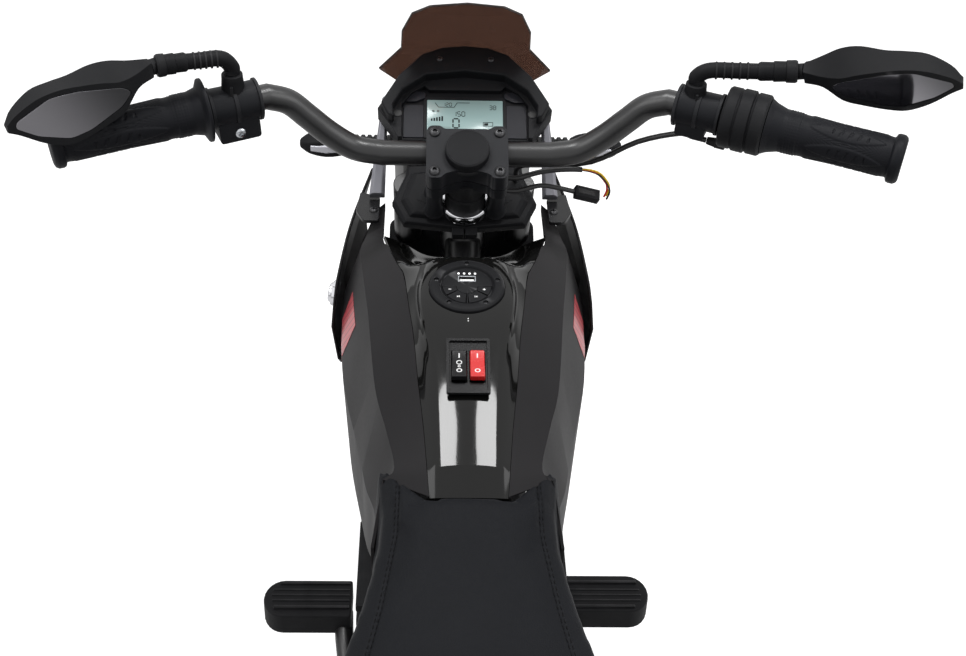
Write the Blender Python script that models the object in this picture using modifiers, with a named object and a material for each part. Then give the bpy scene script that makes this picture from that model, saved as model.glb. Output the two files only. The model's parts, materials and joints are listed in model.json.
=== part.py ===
"""Kids' ride-on motorcycle, twelve-inch wheels, twist throttle, stabiliser wheels at the rear.

Metres, +Z up, +Y is the way it rides, +X is the rider's right. The origin is on the floor under the
middle of the bounding box.
"""
import math

import bmesh
import bpy
from mathutils import Matrix, Vector

# Driving dimensions
MIDPLANE_X = -0.010
WHEEL_RADIUS = 0.155
WHEEL_STEPS = 36
RIM_STEPS = 24
TYRE_HALF_WIDTH = 0.028
AXLE_HEIGHT = WHEEL_RADIUS * math.cos(math.pi / WHEEL_STEPS)
REAR_AXLE_Y = -0.445
STEER_ORIGIN = Vector((0.0, 0.171, 0.679))
RAKE = math.radians(27)
FORK_OFFSET = 0.018
LEG_X = 0.0475
LEG_UPPER_RADIUS = 0.012
LEG_LOWER_RADIUS = 0.0145
BAR_RADIUS = 0.010
BORE_RADIUS = 0.0106
BAR_KNEE = Vector((0.152, 0.164, 0.7315))
BAR_TIP = Vector((0.314, 0.0995, 0.7215))
BAR_STRAIGHT = 0.164
LEFT_GRIP = (0.0495, 0.118)
RIGHT_GRIP = (0.0790, 0.103)
SEAT_BASE_Z = 0.4725
CONSOLE_CENTRE = Vector((0.0, 0.069, 0.6225))
CONSOLE_TILT = math.radians(7.5)
CONSOLE_RADIUS = 0.0290
SWITCH_CENTRE = Vector((0.0, -0.0105, 0.6065))
SWITCH_TILT = math.radians(17.0)
GAP = 0.0003

STEER_LOCAL_AXLE_Z = (AXLE_HEIGHT - STEER_ORIGIN.z - FORK_OFFSET * math.sin(RAKE)) / math.cos(RAKE)
FRONT_AXLE_Y = STEER_ORIGIN.y + FORK_OFFSET * math.cos(RAKE) - STEER_LOCAL_AXLE_Z * math.sin(RAKE)

# Colours, roughness and metallic value of each finish
FINISHES = {
    "black_steel": ((0.012, 0.012, 0.013), 0.42, 0.4),
    "satin_plastic": ((0.020, 0.020, 0.022), 0.48, 0.0),
    "gloss_plastic": ((0.014, 0.014, 0.014), 0.12, 0.0),
    "charcoal_plastic": ((0.030, 0.030, 0.032), 0.45, 0.0),
    "rubber": ((0.012, 0.012, 0.012), 0.75, 0.0),
    "leatherette": ((0.016, 0.017, 0.020), 0.55, 0.0),
    "silver_plastic": ((0.50, 0.50, 0.53), 0.35, 0.6),
    "smoked_screen": ((0.055, 0.022, 0.010), 0.08, 0.0),
    "mirror_glass": ((0.62, 0.63, 0.65), 0.05, 1.0),
    "clear_lens": ((0.75, 0.77, 0.80), 0.10, 0.0),
    "red_lens": ((0.45, 0.01, 0.01), 0.15, 0.0),
    "lcd": ((0.38, 0.53, 0.49), 0.30, 0.0),
    "red_plastic": ((0.60, 0.02, 0.02), 0.30, 0.0),
    "steel_bright": ((0.55, 0.55, 0.56), 0.30, 1.0),
    "cable_sheath": ((0.015, 0.015, 0.016), 0.55, 0.0),
}


def clear_scene():
    for obj in list(bpy.data.objects):
        bpy.data.objects.remove(obj, do_unlink=True)


def make_collections():
    """The parts' collection and the hidden one for cutters and joined shapes."""
    made = []
    for name in ("ride_on_motorcycle", "cutters"):
        group = bpy.data.collections.new(name)
        bpy.context.scene.collection.children.link(group)
        made.append(group)
    return made


def finish(name):
    mat = bpy.data.materials.get(name)
    if mat is None:
        colour, roughness, metallic = FINISHES[name]
        mat = bpy.data.materials.new(name)
        mat.use_nodes = True
        shader = mat.node_tree.nodes["Principled BSDF"]
        shader.inputs["Base Color"].default_value = (*colour, 1.0)
        shader.inputs["Roughness"].default_value = roughness
        shader.inputs["Metallic"].default_value = metallic
    return mat


def place(obj, look, matrix, parent):
    """Link the object to the parts, or to the cutters when it has no finish, and place it."""
    if look:
        PARTS.objects.link(obj)
        obj.data.materials.append(finish(look))
    else:
        CUTTERS.objects.link(obj)
        obj.hide_render = True
        obj.display_type = "WIRE"
    obj.parent = parent
    obj.matrix_basis = matrix
    return obj


def mesh_object(name, bm, look=None, matrix=Matrix(), parent=None, smooth=None):
    mesh = bpy.data.meshes.new(name)
    bm.to_mesh(mesh)
    bm.free()
    if smooth is not None:
        mesh.shade_smooth()
        mesh.set_sharp_from_angle(angle=math.radians(smooth))
    return place(bpy.data.objects.new(name, mesh), look, matrix, parent)


def bevelled(obj, width, segments=1, angle=35):
    mod = obj.modifiers.new("soft_edges", "BEVEL")
    mod.width = width
    mod.segments = segments
    mod.limit_method = "ANGLE"
    mod.angle_limit = math.radians(angle)
    return obj


def cut(obj, *cutters):
    for cutter in cutters:
        mod = obj.modifiers.new("cut_" + cutter.name, "BOOLEAN")
        mod.operation = "DIFFERENCE"
        mod.object = cutter
    return obj


def join(obj, *pieces):
    for piece in pieces:
        mod = obj.modifiers.new("join_" + piece.name, "BOOLEAN")
        mod.operation = "UNION"
        mod.object = piece
    return obj


def box(name, low, high, look=None, bevel=0.0, matrix=Matrix(), parent=None, segments=1):
    """A block between two opposite corners, given in its own frame."""
    bm = bmesh.new()
    bmesh.ops.create_cube(bm, size=1.0)
    low, high = Vector(low), Vector(high)
    size = high - low
    bm.transform(Matrix.Translation((low + high) / 2) @ Matrix.Diagonal((*size, 1.0)))
    obj = mesh_object(name, bm, look, matrix, parent)
    return bevelled(obj, bevel, segments) if bevel else obj


def rod(name, start, end, radius, look=None, sides=16, parent=None, end_radius=None, bevel=0.0):
    """A round bar or cone from start to end."""
    start, end = Vector(start), Vector(end)
    run = end - start
    bm = bmesh.new()
    bmesh.ops.create_cone(bm, cap_ends=True, segments=sides, radius1=radius,
                          radius2=radius if end_radius is None else end_radius, depth=run.length)
    turn = run.to_track_quat("Z", "Y").to_matrix().to_4x4()
    obj = mesh_object(name, bm, look, Matrix.Translation((start + end) / 2) @ turn, parent, smooth=40)
    return bevelled(obj, bevel) if bevel else obj


def lathe(name, profile, look=None, matrix=Matrix(), parent=None, steps=24):
    """A turned piece. The profile's (radius, z) points run down its outer side, top to bottom."""
    bm = bmesh.new()
    verts = [bm.verts.new((radius, 0.0, z)) for radius, z in profile]
    closed = min(radius for radius, _ in profile) > 0.0
    pairs = list(zip(verts, verts[1:]))
    if closed:
        pairs.append((verts[-1], verts[0]))
    for pair in pairs:
        bm.edges.new(pair)
    obj = mesh_object(name, bm, look, matrix, parent)
    screw = obj.modifiers.new("turned", "SCREW")
    screw.axis = "Z"
    screw.angle = 2 * math.pi
    screw.steps = steps
    screw.render_steps = steps
    screw.use_merge_vertices = True
    screw.merge_threshold = 0.00005
    return obj


def welded_mesh(obj, merge=0.00002, flat=False):
    """Turn a curve object into a mesh object with its caps welded on, each a single face if flat."""
    bpy.context.view_layer.update()
    depsgraph = bpy.context.evaluated_depsgraph_get()
    mesh = bpy.data.meshes.new_from_object(obj.evaluated_get(depsgraph))
    bm = bmesh.new()
    bm.from_mesh(mesh)
    bmesh.ops.remove_doubles(bm, verts=bm.verts, dist=merge)
    if flat:
        bmesh.ops.dissolve_limit(bm, angle_limit=0.005, verts=bm.verts, edges=bm.edges)
    bmesh.ops.recalc_face_normals(bm, faces=bm.faces)
    bm.to_mesh(mesh)
    bm.free()
    new = bpy.data.objects.new(obj.name, mesh)
    for group in obj.users_collection:
        group.objects.link(new)
    new.hide_render = obj.hide_render
    new.display_type = obj.display_type
    new.parent = obj.parent
    new.matrix_basis = obj.matrix_basis
    name = obj.name
    bpy.data.objects.remove(obj, do_unlink=True)
    new.name = name
    return new


def plate(name, outline, thickness, look=None, matrix=Matrix(), parent=None, bevel=0.0, segments=1):
    """A flat outline in the XY plane of its frame, extruded half its thickness each way."""
    curve = bpy.data.curves.new(name, "CURVE")
    curve.dimensions = "2D"
    curve.fill_mode = "BOTH"
    curve.extrude = thickness / 2
    spline = curve.splines.new("POLY")
    spline.points.add(len(outline) - 1)
    for point, (x, y) in zip(spline.points, outline):
        point.co = (x, y, 0.0, 1.0)
    spline.use_cyclic_u = True
    obj = welded_mesh(place(bpy.data.objects.new(name, curve), look, matrix, parent), flat=True)
    return bevelled(obj, bevel, segments) if bevel else obj


def tube(name, points, radius, look=None, matrix=Matrix(), parent=None, resolution=2, radii=None):
    """A round tube along points, kept as a curve; radii scales the tube at each point."""
    curve = bpy.data.curves.new(name, "CURVE")
    curve.dimensions = "3D"
    curve.bevel_depth = radius
    curve.bevel_resolution = resolution
    curve.use_fill_caps = True
    spline = curve.splines.new("POLY")
    spline.points.add(len(points) - 1)
    for index, (point, place_at) in enumerate(zip(spline.points, points)):
        point.co = (*place_at, 1.0)
        point.radius = radii[index] if radii else 1.0
    return place(bpy.data.objects.new(name, curve), look, matrix, parent)


def solid_tube(name, points, radius, look=None, matrix=Matrix(), parent=None, resolution=2):
    """A tube that is cut or joined, so it is a mesh."""
    return welded_mesh(tube(name, points, radius, look, matrix, parent, resolution))


def smooth_route(points, per_span):
    """Points read from a smooth curve through the route's own points."""
    points = [Vector(point) for point in points]
    ends = [2 * points[0] - points[1], *points, 2 * points[-1] - points[-2]]
    route = []
    for a, b, c, d in zip(ends, ends[1:], ends[2:], ends[3:]):
        for step in range(per_span):
            t = step / per_span
            route.append(0.5 * (2 * b + (c - a) * t + (2 * a - 5 * b + 4 * c - d) * t * t
                                + (3 * b - a - 3 * c + d) * t ** 3))
    route.append(points[-1])
    return route


def loft(name, rings, look=None, matrix=Matrix(), parent=None, smooth=30):
    """A closed solid through rings of equal count, with both ends capped."""
    bm = bmesh.new()
    layers = [[bm.verts.new(point) for point in ring] for ring in rings]
    count = len(rings[0])
    for lower, upper in zip(layers, layers[1:]):
        for index in range(count):
            after = (index + 1) % count
            bm.faces.new((lower[index], lower[after], upper[after], upper[index]))
    bm.faces.new(list(reversed(layers[0])))
    bm.faces.new(layers[-1])
    bmesh.ops.recalc_face_normals(bm, faces=bm.faces)
    return mesh_object(name, bm, look, matrix, parent, smooth)


def shell(name, rows, thickness, look=None, mirror=False, parent=None, smooth=30, offset=-1.0):
    """An open surface through rows of equal count, given a wall inward; rows run away from the rider.

    The surface's outer side is the one from which each row runs to the right."""
    bm = bmesh.new()
    layers = [[bm.verts.new(point) for point in row] for row in rows]
    for near, far in zip(layers, layers[1:]):
        for index in range(len(near) - 1):
            bm.faces.new((near[index], near[index + 1], far[index + 1], far[index]))
    obj = mesh_object(name, bm, look, parent=parent, smooth=smooth)
    if mirror:
        mod = obj.modifiers.new("other_half", "MIRROR")
        mod.use_axis = (True, False, False)
        mod.use_clip = True
        mod.merge_threshold = 0.00005
    wall = obj.modifiers.new("wall", "SOLIDIFY")
    wall.thickness = thickness
    wall.offset = offset
    wall.use_even_offset = True
    return obj


def frame_at(origin, x_axis, z_axis):
    """A frame with its z along z_axis and its x near x_axis."""
    z = Vector(z_axis).normalized()
    y = z.cross(Vector(x_axis)).normalized()
    x = y.cross(z)
    turn = Matrix((x, y, z)).transposed().to_4x4()
    return Matrix.Translation(origin) @ turn


def empty_at(name, matrix):
    """A joint axis as an empty: its z, or the axis that the record names, is the pivot line."""
    empty = bpy.data.objects.new(name, None)
    empty.empty_display_size = 0.03
    PARTS.objects.link(empty)
    empty.matrix_basis = matrix
    return empty


def both_ways(points):
    """A half outline from the middle line outwards, closed by its mirror image.

    A point on the middle line that lies on a level edge is left out, so no three points are in line."""
    levels = [y for _, y in points]
    half = [(x, y) for x, y in points if x > 1e-6 or levels.count(y) == 1]
    return half + [(-x, y) for x, y in reversed(half) if x > 1e-6]


# Wheels

def wheel_frame(centre):
    """A turned piece's z along the axle, with a flat facet at the bottom of the tyre."""
    turn = Matrix.Rotation(math.pi / 2, 4, "Y") @ Matrix.Rotation(math.pi / WHEEL_STEPS, 4, "Z")
    return Matrix.Translation(centre) @ turn


def make_tyre(name, centre, half_width=TYRE_HALF_WIDTH):
    """Carcass with a rounded crown, a flat tread band and a bead that sits over the rim's ledge."""
    half = [
        (WHEEL_RADIUS, 0.008),
        (WHEEL_RADIUS - 0.006, half_width - 0.006),
        (WHEEL_RADIUS - 0.018, half_width),
        (WHEEL_RADIUS - 0.035, half_width - 0.002),
        (WHEEL_RADIUS - 0.046, half_width - 0.008),
    ]
    profile = list(reversed(half)) + [(r, -z) for r, z in half]
    return lathe(name, profile, "rubber", wheel_frame(centre), steps=WHEEL_STEPS)


def make_rim(name, centre, hub_half, axle_radius):
    """Cast five-spoke wheel: rim well, dished web with five windows, and a hub on a bore."""
    rim_outer = WHEEL_RADIUS - 0.0468
    profile = [
        (rim_outer, 0.0195),
        (rim_outer, -0.0195),
        (rim_outer - 0.009, -0.0215),
        (rim_outer - 0.012, -0.006),
        (0.027, -0.008),
        (0.021, -hub_half),
        (axle_radius + 0.0008, -hub_half),
        (axle_radius + 0.0008, hub_half),
        (0.021, hub_half),
        (0.027, 0.008),
        (rim_outer - 0.012, 0.006),
        (rim_outer - 0.009, 0.0215),
    ]
    rim = lathe(name, profile, "silver_plastic", wheel_frame(centre), steps=RIM_STEPS)
    spokes = 5
    window = [(0.036, -0.009), (0.086, -0.031), (0.0905, 0.0), (0.086, 0.031), (0.036, 0.009)]
    for index in range(spokes):
        turn = Matrix.Rotation(2 * math.pi * index / spokes, 4, "Z")
        hole = plate(f"{name}_window_{index}", window, 0.05, matrix=wheel_frame(centre) @ turn)
        cut(rim, hole)
    return rim


def make_stabiliser_wheel(name, centre):
    """Hard plastic side wheel with a rounded tread and a dished face."""
    radius = STABILISER_RADIUS
    profile = [
        (radius - 0.004, 0.0135), (radius, 0.008), (radius, -0.008), (radius - 0.004, -0.0135),
        (0.039, -0.0135), (0.036, -0.008), (0.014, -0.0145), (0.0085, -0.0145),
        (0.0085, 0.0145), (0.014, 0.0145), (0.036, 0.008), (0.039, 0.0135),
    ]
    steps = STABILISER_STEPS
    turn = Matrix.Rotation(math.pi / 2, 4, "Y") @ Matrix.Rotation(math.pi / steps, 4, "Z")
    height = radius * math.cos(math.pi / steps)
    return lathe(name, profile, "rubber", Matrix.Translation((*centre, height)) @ turn, steps=steps)


STABILISER_X = 0.178
STABILISER_Y = -0.400
STABILISER_RADIUS = 0.052
STABILISER_STEPS = 18
STABILISER_HEIGHT = STABILISER_RADIUS * math.cos(math.pi / STABILISER_STEPS)


def make_wheels():
    front = Vector((0.0, FRONT_AXLE_Y, AXLE_HEIGHT))
    rear = Vector((0.0, REAR_AXLE_Y, AXLE_HEIGHT))
    make_tyre("front_tyre", front)
    make_rim("front_rim", front, 0.030, 0.006)
    make_tyre("rear_tyre", rear)
    make_rim("rear_rim", rear, 0.030, 0.006)
    for side, name in ((-1, "left_stabiliser_wheel"), (1, "right_stabiliser_wheel")):
        make_stabiliser_wheel(name, (side * STABILISER_X, STABILISER_Y))


# Chassis

def make_main_frame():
    """Welded steel frame: head tube, backbone, down tube, cradle, seat rails, rear stays and axle."""
    axis = Vector((0.0, -math.sin(RAKE), math.cos(RAKE)))
    head_top = STEER_ORIGIN - 0.0785 * axis
    head_foot = STEER_ORIGIN - 0.1500 * axis
    frame = rod("main_frame", head_foot, head_top, 0.0195, "black_steel", sides=20)
    members = [
        solid_tube("backbone", smooth_route([(0, 0.222, 0.572), (0, 0.12, 0.518), (0, 0.0, 0.472),
                                             (0, -0.12, 0.448), (0, -0.328, 0.444)], 2), 0.015),
        solid_tube("down_tube", smooth_route([(0, 0.2160, 0.5780), (0, 0.1940, 0.5300), (0, 0.1930, 0.4900),
                                              (0, 0.1960, 0.4000), (0, 0.1880, 0.3000), (0, 0.164, 0.207)], 1),
                   0.014),
        solid_tube("front_cross", [(-0.045, 0.164, 0.205), (0.045, 0.164, 0.205)], 0.0105),
        solid_tube("middle_cross", [(-0.044, -0.190, 0.205), (0.044, -0.190, 0.205)], 0.0080),
        solid_tube("seat_cross", [(-0.049, -0.325, 0.4560), (0.049, -0.325, 0.4560)], 0.0080),
        solid_tube("front_seat_cross", [(-0.049, -0.114, 0.4590), (0.049, -0.114, 0.4590)], 0.0080),
    ]
    for side in (-1, 1):
        members += [
            solid_tube(f"cradle_{side}", smooth_route([
                (side * 0.045, 0.165, 0.205), (side * 0.045, -0.200, 0.205), (side * 0.048, -0.250, 0.240),
                (side * 0.050, -0.270, 0.330), (side * 0.050, -0.275, 0.462)], 2), 0.0095),
            solid_tube(f"seat_rail_{side}", [(side * 0.050, -0.101, 0.4630), (side * 0.050, -0.545, 0.4630)],
                       0.009),
            solid_tube(f"rear_stay_{side}", smooth_route([
                (side * 0.047, -0.205, 0.208), (side * 0.0535, -0.300, 0.188),
                (side * 0.0535, REAR_AXLE_Y - 0.012, AXLE_HEIGHT)], 1), 0.009),
        ]
    members.append(rod("rear_axle", (-0.0685, REAR_AXLE_Y, AXLE_HEIGHT), (0.0685, REAR_AXLE_Y, AXLE_HEIGHT),
                       0.006, sides=12))
    join(frame, *members)
    bore = rod("head_bore", STEER_ORIGIN - 0.17 * axis, STEER_ORIGIN - 0.06 * axis, 0.0125, sides=20)
    return cut(frame, bore)


def make_battery_pack():
    """Battery and controller box, resting on the cradle between the engine mouldings."""
    pack = box("battery_pack", (-0.0565, -0.130, 0.205 + 0.0095 + GAP), (0.0565, 0.120, 0.395),
               "satin_plastic", bevel=0.006)
    ribs = []
    for index in range(5):
        y = -0.100 + index * 0.050
        ribs.append(box(f"battery_rib_{index}", (-0.050, y - 0.004, 0.390), (0.050, y + 0.004, 0.399)))
    return join(pack, *ribs)


def make_drive_unit():
    """Motor and reduction gearbox between the left stay and the rear wheel's hub."""
    casing = [(-0.030, -0.032), (0.030, -0.032), (0.045, -0.010), (0.085, 0.030), (0.085, 0.062),
              (0.060, 0.072), (0.020, 0.052), (-0.030, 0.030), (-0.040, 0.0)]
    outline = frame_at((-0.0380, REAR_AXLE_Y, AXLE_HEIGHT), (0, 1, 0), (1, 0, 0))
    unit = plate("drive_unit", casing, 0.0115, "satin_plastic", matrix=outline, bevel=0.002)
    motor = rod("motor_can", (-0.0435, REAR_AXLE_Y + 0.066, AXLE_HEIGHT + 0.048),
                (-0.082, REAR_AXLE_Y + 0.066, AXLE_HEIGHT + 0.048), 0.0185, sides=20, bevel=0.002)
    bore = rod("gearbox_bore", (-0.05, REAR_AXLE_Y, AXLE_HEIGHT), (-0.02, REAR_AXLE_Y, AXLE_HEIGHT), 0.0068,
               sides=12)
    return cut(join(unit, motor), bore)


# Right-hand side of the tank and its panels: (y, then x and z of each point of the section)
COVER_SECTIONS = [
    (-0.1025, (0.0, 0.5665), (0.0140, 0.5660), (0.0200, 0.5645), (0.0255, 0.5615)),
    (-0.0850, (0.0, 0.5800), (0.0150, 0.5795), (0.0215, 0.5775), (0.0275, 0.5735)),
    (-0.0500, (0.0, 0.5925), (0.0165, 0.5915), (0.0240, 0.5890), (0.0300, 0.5850)),
    (-0.0100, (0.0, 0.6055), (0.0190, 0.6045), (0.0305, 0.6010), (0.0385, 0.5960)),
    (0.0330, (0.0, 0.6170), (0.0300, 0.6160), (0.0365, 0.6100), (0.0425, 0.6030)),
    (0.0690, (0.0, 0.6220), (0.0320, 0.6210), (0.0385, 0.6130), (0.0440, 0.6050)),
    (0.1050, (0.0, 0.6245), (0.0240, 0.6235), (0.0390, 0.6140), (0.0480, 0.6070)),
    (0.1200, (0.0, 0.6060), (0.0260, 0.6060), (0.0420, 0.6080), (0.0525, 0.6060)),
    (0.1400, (0.0, 0.5920), (0.0280, 0.5935), (0.0460, 0.6010), (0.0585, 0.6040)),
    (0.1720, (0.0, 0.5790), (0.0300, 0.5810), (0.0500, 0.5930), (0.0655, 0.6000)),
]
SEAM_GAP = 0.0012
PANEL_SECTIONS = [
    (-0.0745, (0.0284, 0.5755), (0.0520, 0.5680), (0.0665, 0.5220), (0.0680, 0.4700), (0.0570, 0.4590)),
    (-0.0400, (0.0322, 0.5860), (0.0590, 0.5740), (0.0745, 0.5170), (0.0740, 0.4530), (0.0620, 0.4410)),
    (0.0000, (0.0395, 0.5960), (0.0680, 0.5800), (0.0810, 0.5160), (0.0800, 0.4400), (0.0680, 0.4230)),
    (0.0800, (0.0455, 0.6020), (0.0760, 0.5890), (0.0970, 0.5230), (0.0930, 0.4420), (0.0770, 0.4240)),
    (0.1660, (0.0655, 0.5970), (0.0850, 0.5860), (0.1010, 0.5350), (0.0980, 0.4620), (0.0800, 0.4430)),
    (0.2300, (0.0620, 0.5960), (0.0740, 0.5890), (0.0860, 0.5580), (0.0850, 0.5050), (0.0710, 0.4900)),
]


def section_rows(sections, side, inset=0.0):
    rows = []
    for y, *points in sections:
        row = [(side * (x + (inset if index == 0 else 0.0)), y, z) for index, (x, z) in enumerate(points)]
        rows.append(row if side > 0 else row[::-1])
    return rows


def make_tank_cover():
    """Glossy centre moulding with two horns at the front, open for the console and the switches."""
    cover = shell("tank_cover", section_rows(COVER_SECTIONS, 1), 0.0025, "gloss_plastic", mirror=True)
    console_hole = rod("console_hole", CONSOLE_CENTRE - console_up() * 0.02,
                       CONSOLE_CENTRE + console_up() * 0.02, CONSOLE_RADIUS + 0.0004, sides=48)
    switch_hole = box("switch_hole", (-0.0147, -0.0227, -0.02), (0.0147, 0.0227, 0.02),
                      matrix=switch_frame())
    return cut(cover, console_hole, switch_hole)


def make_side_panels():
    for side, name in ((-1, "left_side_panel"), (1, "right_side_panel")):
        shell(name, section_rows(PANEL_SECTIONS, side, SEAM_GAP), 0.0025, "charcoal_plastic")


def console_up():
    return Vector((0.0, -math.sin(CONSOLE_TILT), math.cos(CONSOLE_TILT)))


def console_frame():
    return Matrix.Translation(CONSOLE_CENTRE) @ Matrix.Rotation(CONSOLE_TILT, 4, "X")


def switch_frame():
    return Matrix.Translation(SWITCH_CENTRE) @ Matrix.Rotation(SWITCH_TILT, 4, "X")


BUTTON_INNER = 0.0085
BUTTON_OUTER = 0.0185
BUTTON_SPANS = ((182, 212), (216, 266), (274, 324), (328, 358))
BUTTON_DEPTH = 0.0030
BUTTON_POCKET = 0.0045
CONSOLE_FACE = 0.0006


def sector(inner, outer, start, end, steps=4):
    """Outline of a ring's sector, in degrees."""
    angles = [math.radians(start + (end - start) * index / steps) for index in range(steps + 1)]
    outside = [(outer * math.cos(a), outer * math.sin(a)) for a in angles]
    inside = [(inner * math.cos(a), inner * math.sin(a)) for a in reversed(angles)]
    return outside + inside


def make_console():
    """Round sound module: screwed ring, face with a USB slot, and four sector buttons."""
    radius = CONSOLE_RADIUS
    profile = [
        (0.0, CONSOLE_FACE), (0.0195, CONSOLE_FACE), (0.0200, 0.0), (0.0208, 0.0018), (0.0262, 0.0026),
        (0.0285, 0.0014), (radius, -0.0010), (radius, -0.0120), (0.0250, -0.0180), (0.0, -0.0180),
    ]
    module = lathe("console_module", profile, "satin_plastic", console_frame(), steps=28)
    slot = box("usb_slot", (-0.0064, 0.0052, -0.009), (0.0064, 0.0108, 0.01), matrix=console_frame())
    cutters = [slot]
    clear = 0.0004
    for index, (start, end) in enumerate(BUTTON_SPANS):
        swing = math.degrees(clear / BUTTON_INNER)
        outline = sector(BUTTON_INNER - clear, BUTTON_OUTER + clear, start - swing, end + swing)
        middle = Matrix.Translation((0, 0, CONSOLE_FACE - BUTTON_POCKET / 2 + 0.0005))
        cutters.append(plate(f"button_pocket_{index}", outline, BUTTON_POCKET + 0.001,
                             matrix=console_frame() @ middle))
        rise = Matrix.Translation((0, 0, CONSOLE_FACE + 0.0003 - BUTTON_DEPTH / 2))
        plate(f"console_button_{index + 1}", sector(BUTTON_INNER, BUTTON_OUTER, start, end), BUTTON_DEPTH,
              "satin_plastic", matrix=console_frame() @ rise)
    return cut(module, *cutters)


ROCKER_X = (-0.0064, 0.0064)
ROCKER_WIDTH = 0.0098
ROCKER_LENGTH = 0.0250
ROCKER_TILT = math.radians(9)
ROCKER_PIVOT_DEPTH = 0.0020


def make_switches():
    """Bezel with two windows, and a rocker in each, resting with its lower end raised."""
    bezel = box("switch_bezel", (-0.0158, -0.0240, 0.0018), (0.0158, 0.0240, 0.0042), "satin_plastic",
                matrix=switch_frame(), bevel=0.0008)
    body = box("switch_body", (-0.0142, -0.0222, -0.014), (0.0142, 0.0222, 0.003), matrix=switch_frame())
    join(bezel, body)
    half = ROCKER_LENGTH / 2
    for x, name, look in zip(ROCKER_X, ("lamp_rocker", "power_rocker"), ("satin_plastic", "red_plastic")):
        window = box(name + "_window", (x - ROCKER_WIDTH / 2 - 0.0004, -half - 0.0008, -0.0090),
                     (x + ROCKER_WIDTH / 2 + 0.0004, half + 0.0008, 0.010), matrix=switch_frame())
        cut(bezel, window)
        profile = [(-half, 0.0042), (0.0, 0.0026), (half, 0.0042), (half, -0.0010), (0.005, -0.0048),
                   (-0.005, -0.0048), (-half, -0.0010)]
        turn = frame_at((x, 0.0, ROCKER_PIVOT_DEPTH), (0, 1, 0), (1, 0, 0))
        tilt = Matrix.Rotation(-ROCKER_TILT, 4, "Z")
        plate(name, profile, ROCKER_WIDTH, look, matrix=switch_frame() @ turn @ tilt, bevel=0.0005)


# Moulded spacers of the shroud: station and height, then the half width at the shroud and at the side panel.
SHROUD_SPACERS = ((0.168, 0.503, 0.1062, 0.1003), (0.200, 0.530, 0.1028, 0.0944))


def make_shrouds():
    """Outer panels beside the steering head, each a folded sheet outside the side panel."""
    rows = [
        ((0.150, 0.488), (0.150, 0.522), (0.158, 0.545)),
        ((0.176, 0.468), (0.178, 0.528), (0.178, 0.560)),
        ((0.215, 0.478), (0.220, 0.545), (0.215, 0.588)),
        ((0.262, 0.520), (0.272, 0.575), (0.262, 0.612)),
    ]
    widths = ((0.1060, 0.1105, 0.1085), (0.1040, 0.1090, 0.1055), (0.0960, 0.1015, 0.0955),
              (0.0840, 0.0880, 0.0790))
    for side, name in ((-1, "left_shroud"), (1, "right_shroud")):
        sheet = []
        for row, xs in zip(rows, widths):
            points = [(side * x, y, z) for (y, z), x in zip(row, xs)]
            sheet.append(points[::-1] if side > 0 else points)
        shroud = shell(name, sheet, 0.0025, "satin_plastic", smooth=20)
        for index, (y, z, outer, inner) in enumerate(SHROUD_SPACERS):
            spacer = rod(f"{name}_spacer_{index}", (side * outer, y, z), (side * inner, y, z), 0.0050,
                         sides=12)
            join(shroud, spacer)
        if side < 0:
            boss = rod("charge_port_boss", (-0.1065, 0.180, 0.536), (-0.1130, 0.181, 0.537), 0.0110, sides=24,
                       bevel=0.0015)
            join(shroud, boss)


def seat_ring(y, half, top, sag, reach=0.0, base=SEAT_BASE_Z):
    """Half section of the cushion, from the middle of its base to its crown; the outer half leads by reach."""
    edge = top - sag
    lead = y + reach
    return [
        (0.0, y, base), (half * 0.50, y, base), (half * 0.60, lead, base), (half * 0.93, lead, base + 0.006),
        (half * 0.97, lead, base + (edge - base) * 0.45), (half, lead, edge - 0.004),
        (half * 0.93, lead, edge + 0.004), (half * 0.84, lead, edge + 0.0045), (half * 0.80, lead, edge + 0.007),
        (half * 0.60, lead, top - sag * 0.4), (half * 0.50, y, top - sag * 0.3), (0.0, y, top),
    ]


# Corners of the flat pieces that close an end of the cushion: its middle, then a step and a horn on each side.
SEAT_END_STRIPS = ((0, 1, 10, 11, 12, 21), (1, 2, 9, 10), (21, 20, 13, 12), (2, 3, 4, 5, 6, 7, 8, 9),
                   (20, 19, 18, 17, 16, 15, 14, 13))


def make_seat():
    """Crowned cushion with drawn-in sides, a sewn line along each shoulder and two horns beside the cover."""
    sections = [
        (-0.1062, 0.0530, 0.5640, 0.010, 0.027), (-0.1090, 0.0560, 0.5660, 0.010, 0.026),
        (-0.1400, 0.0600, 0.5580, 0.011, 0.012), (-0.1800, 0.0700, 0.5460, 0.013, 0.0),
        (-0.2300, 0.0800, 0.5390, 0.015, 0.0), (-0.2900, 0.0840, 0.5400, 0.016, 0.0),
        (-0.3400, 0.0800, 0.5500, 0.016, 0.0), (-0.3800, 0.0720, 0.5630, 0.014, 0.0),
        (-0.3950, 0.0640, 0.5660, 0.014, 0.0), (-0.3985, 0.0560, 0.5600, 0.014, 0.0),
    ]
    bm = bmesh.new()
    layers = []
    for y, half, top, sag, reach in sections:
        right = seat_ring(y, half, top, sag, reach)
        left = [(-x, ry, z) for x, ry, z in right[-2:0:-1]]
        layers.append([bm.verts.new(point) for point in right + left])
    count = len(layers[0])
    for near, far in zip(layers, layers[1:]):
        for index in range(count):
            after = (index + 1) % count
            bm.faces.new((near[index], near[after], far[after], far[index]))
    for layer in (layers[0], layers[-1]):
        for strip in SEAT_END_STRIPS:
            bm.faces.new([layer[index] for index in strip])
    bmesh.ops.recalc_face_normals(bm, faces=bm.faces)
    return mesh_object("seat_cushion", bm, "leatherette", smooth=50)


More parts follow.
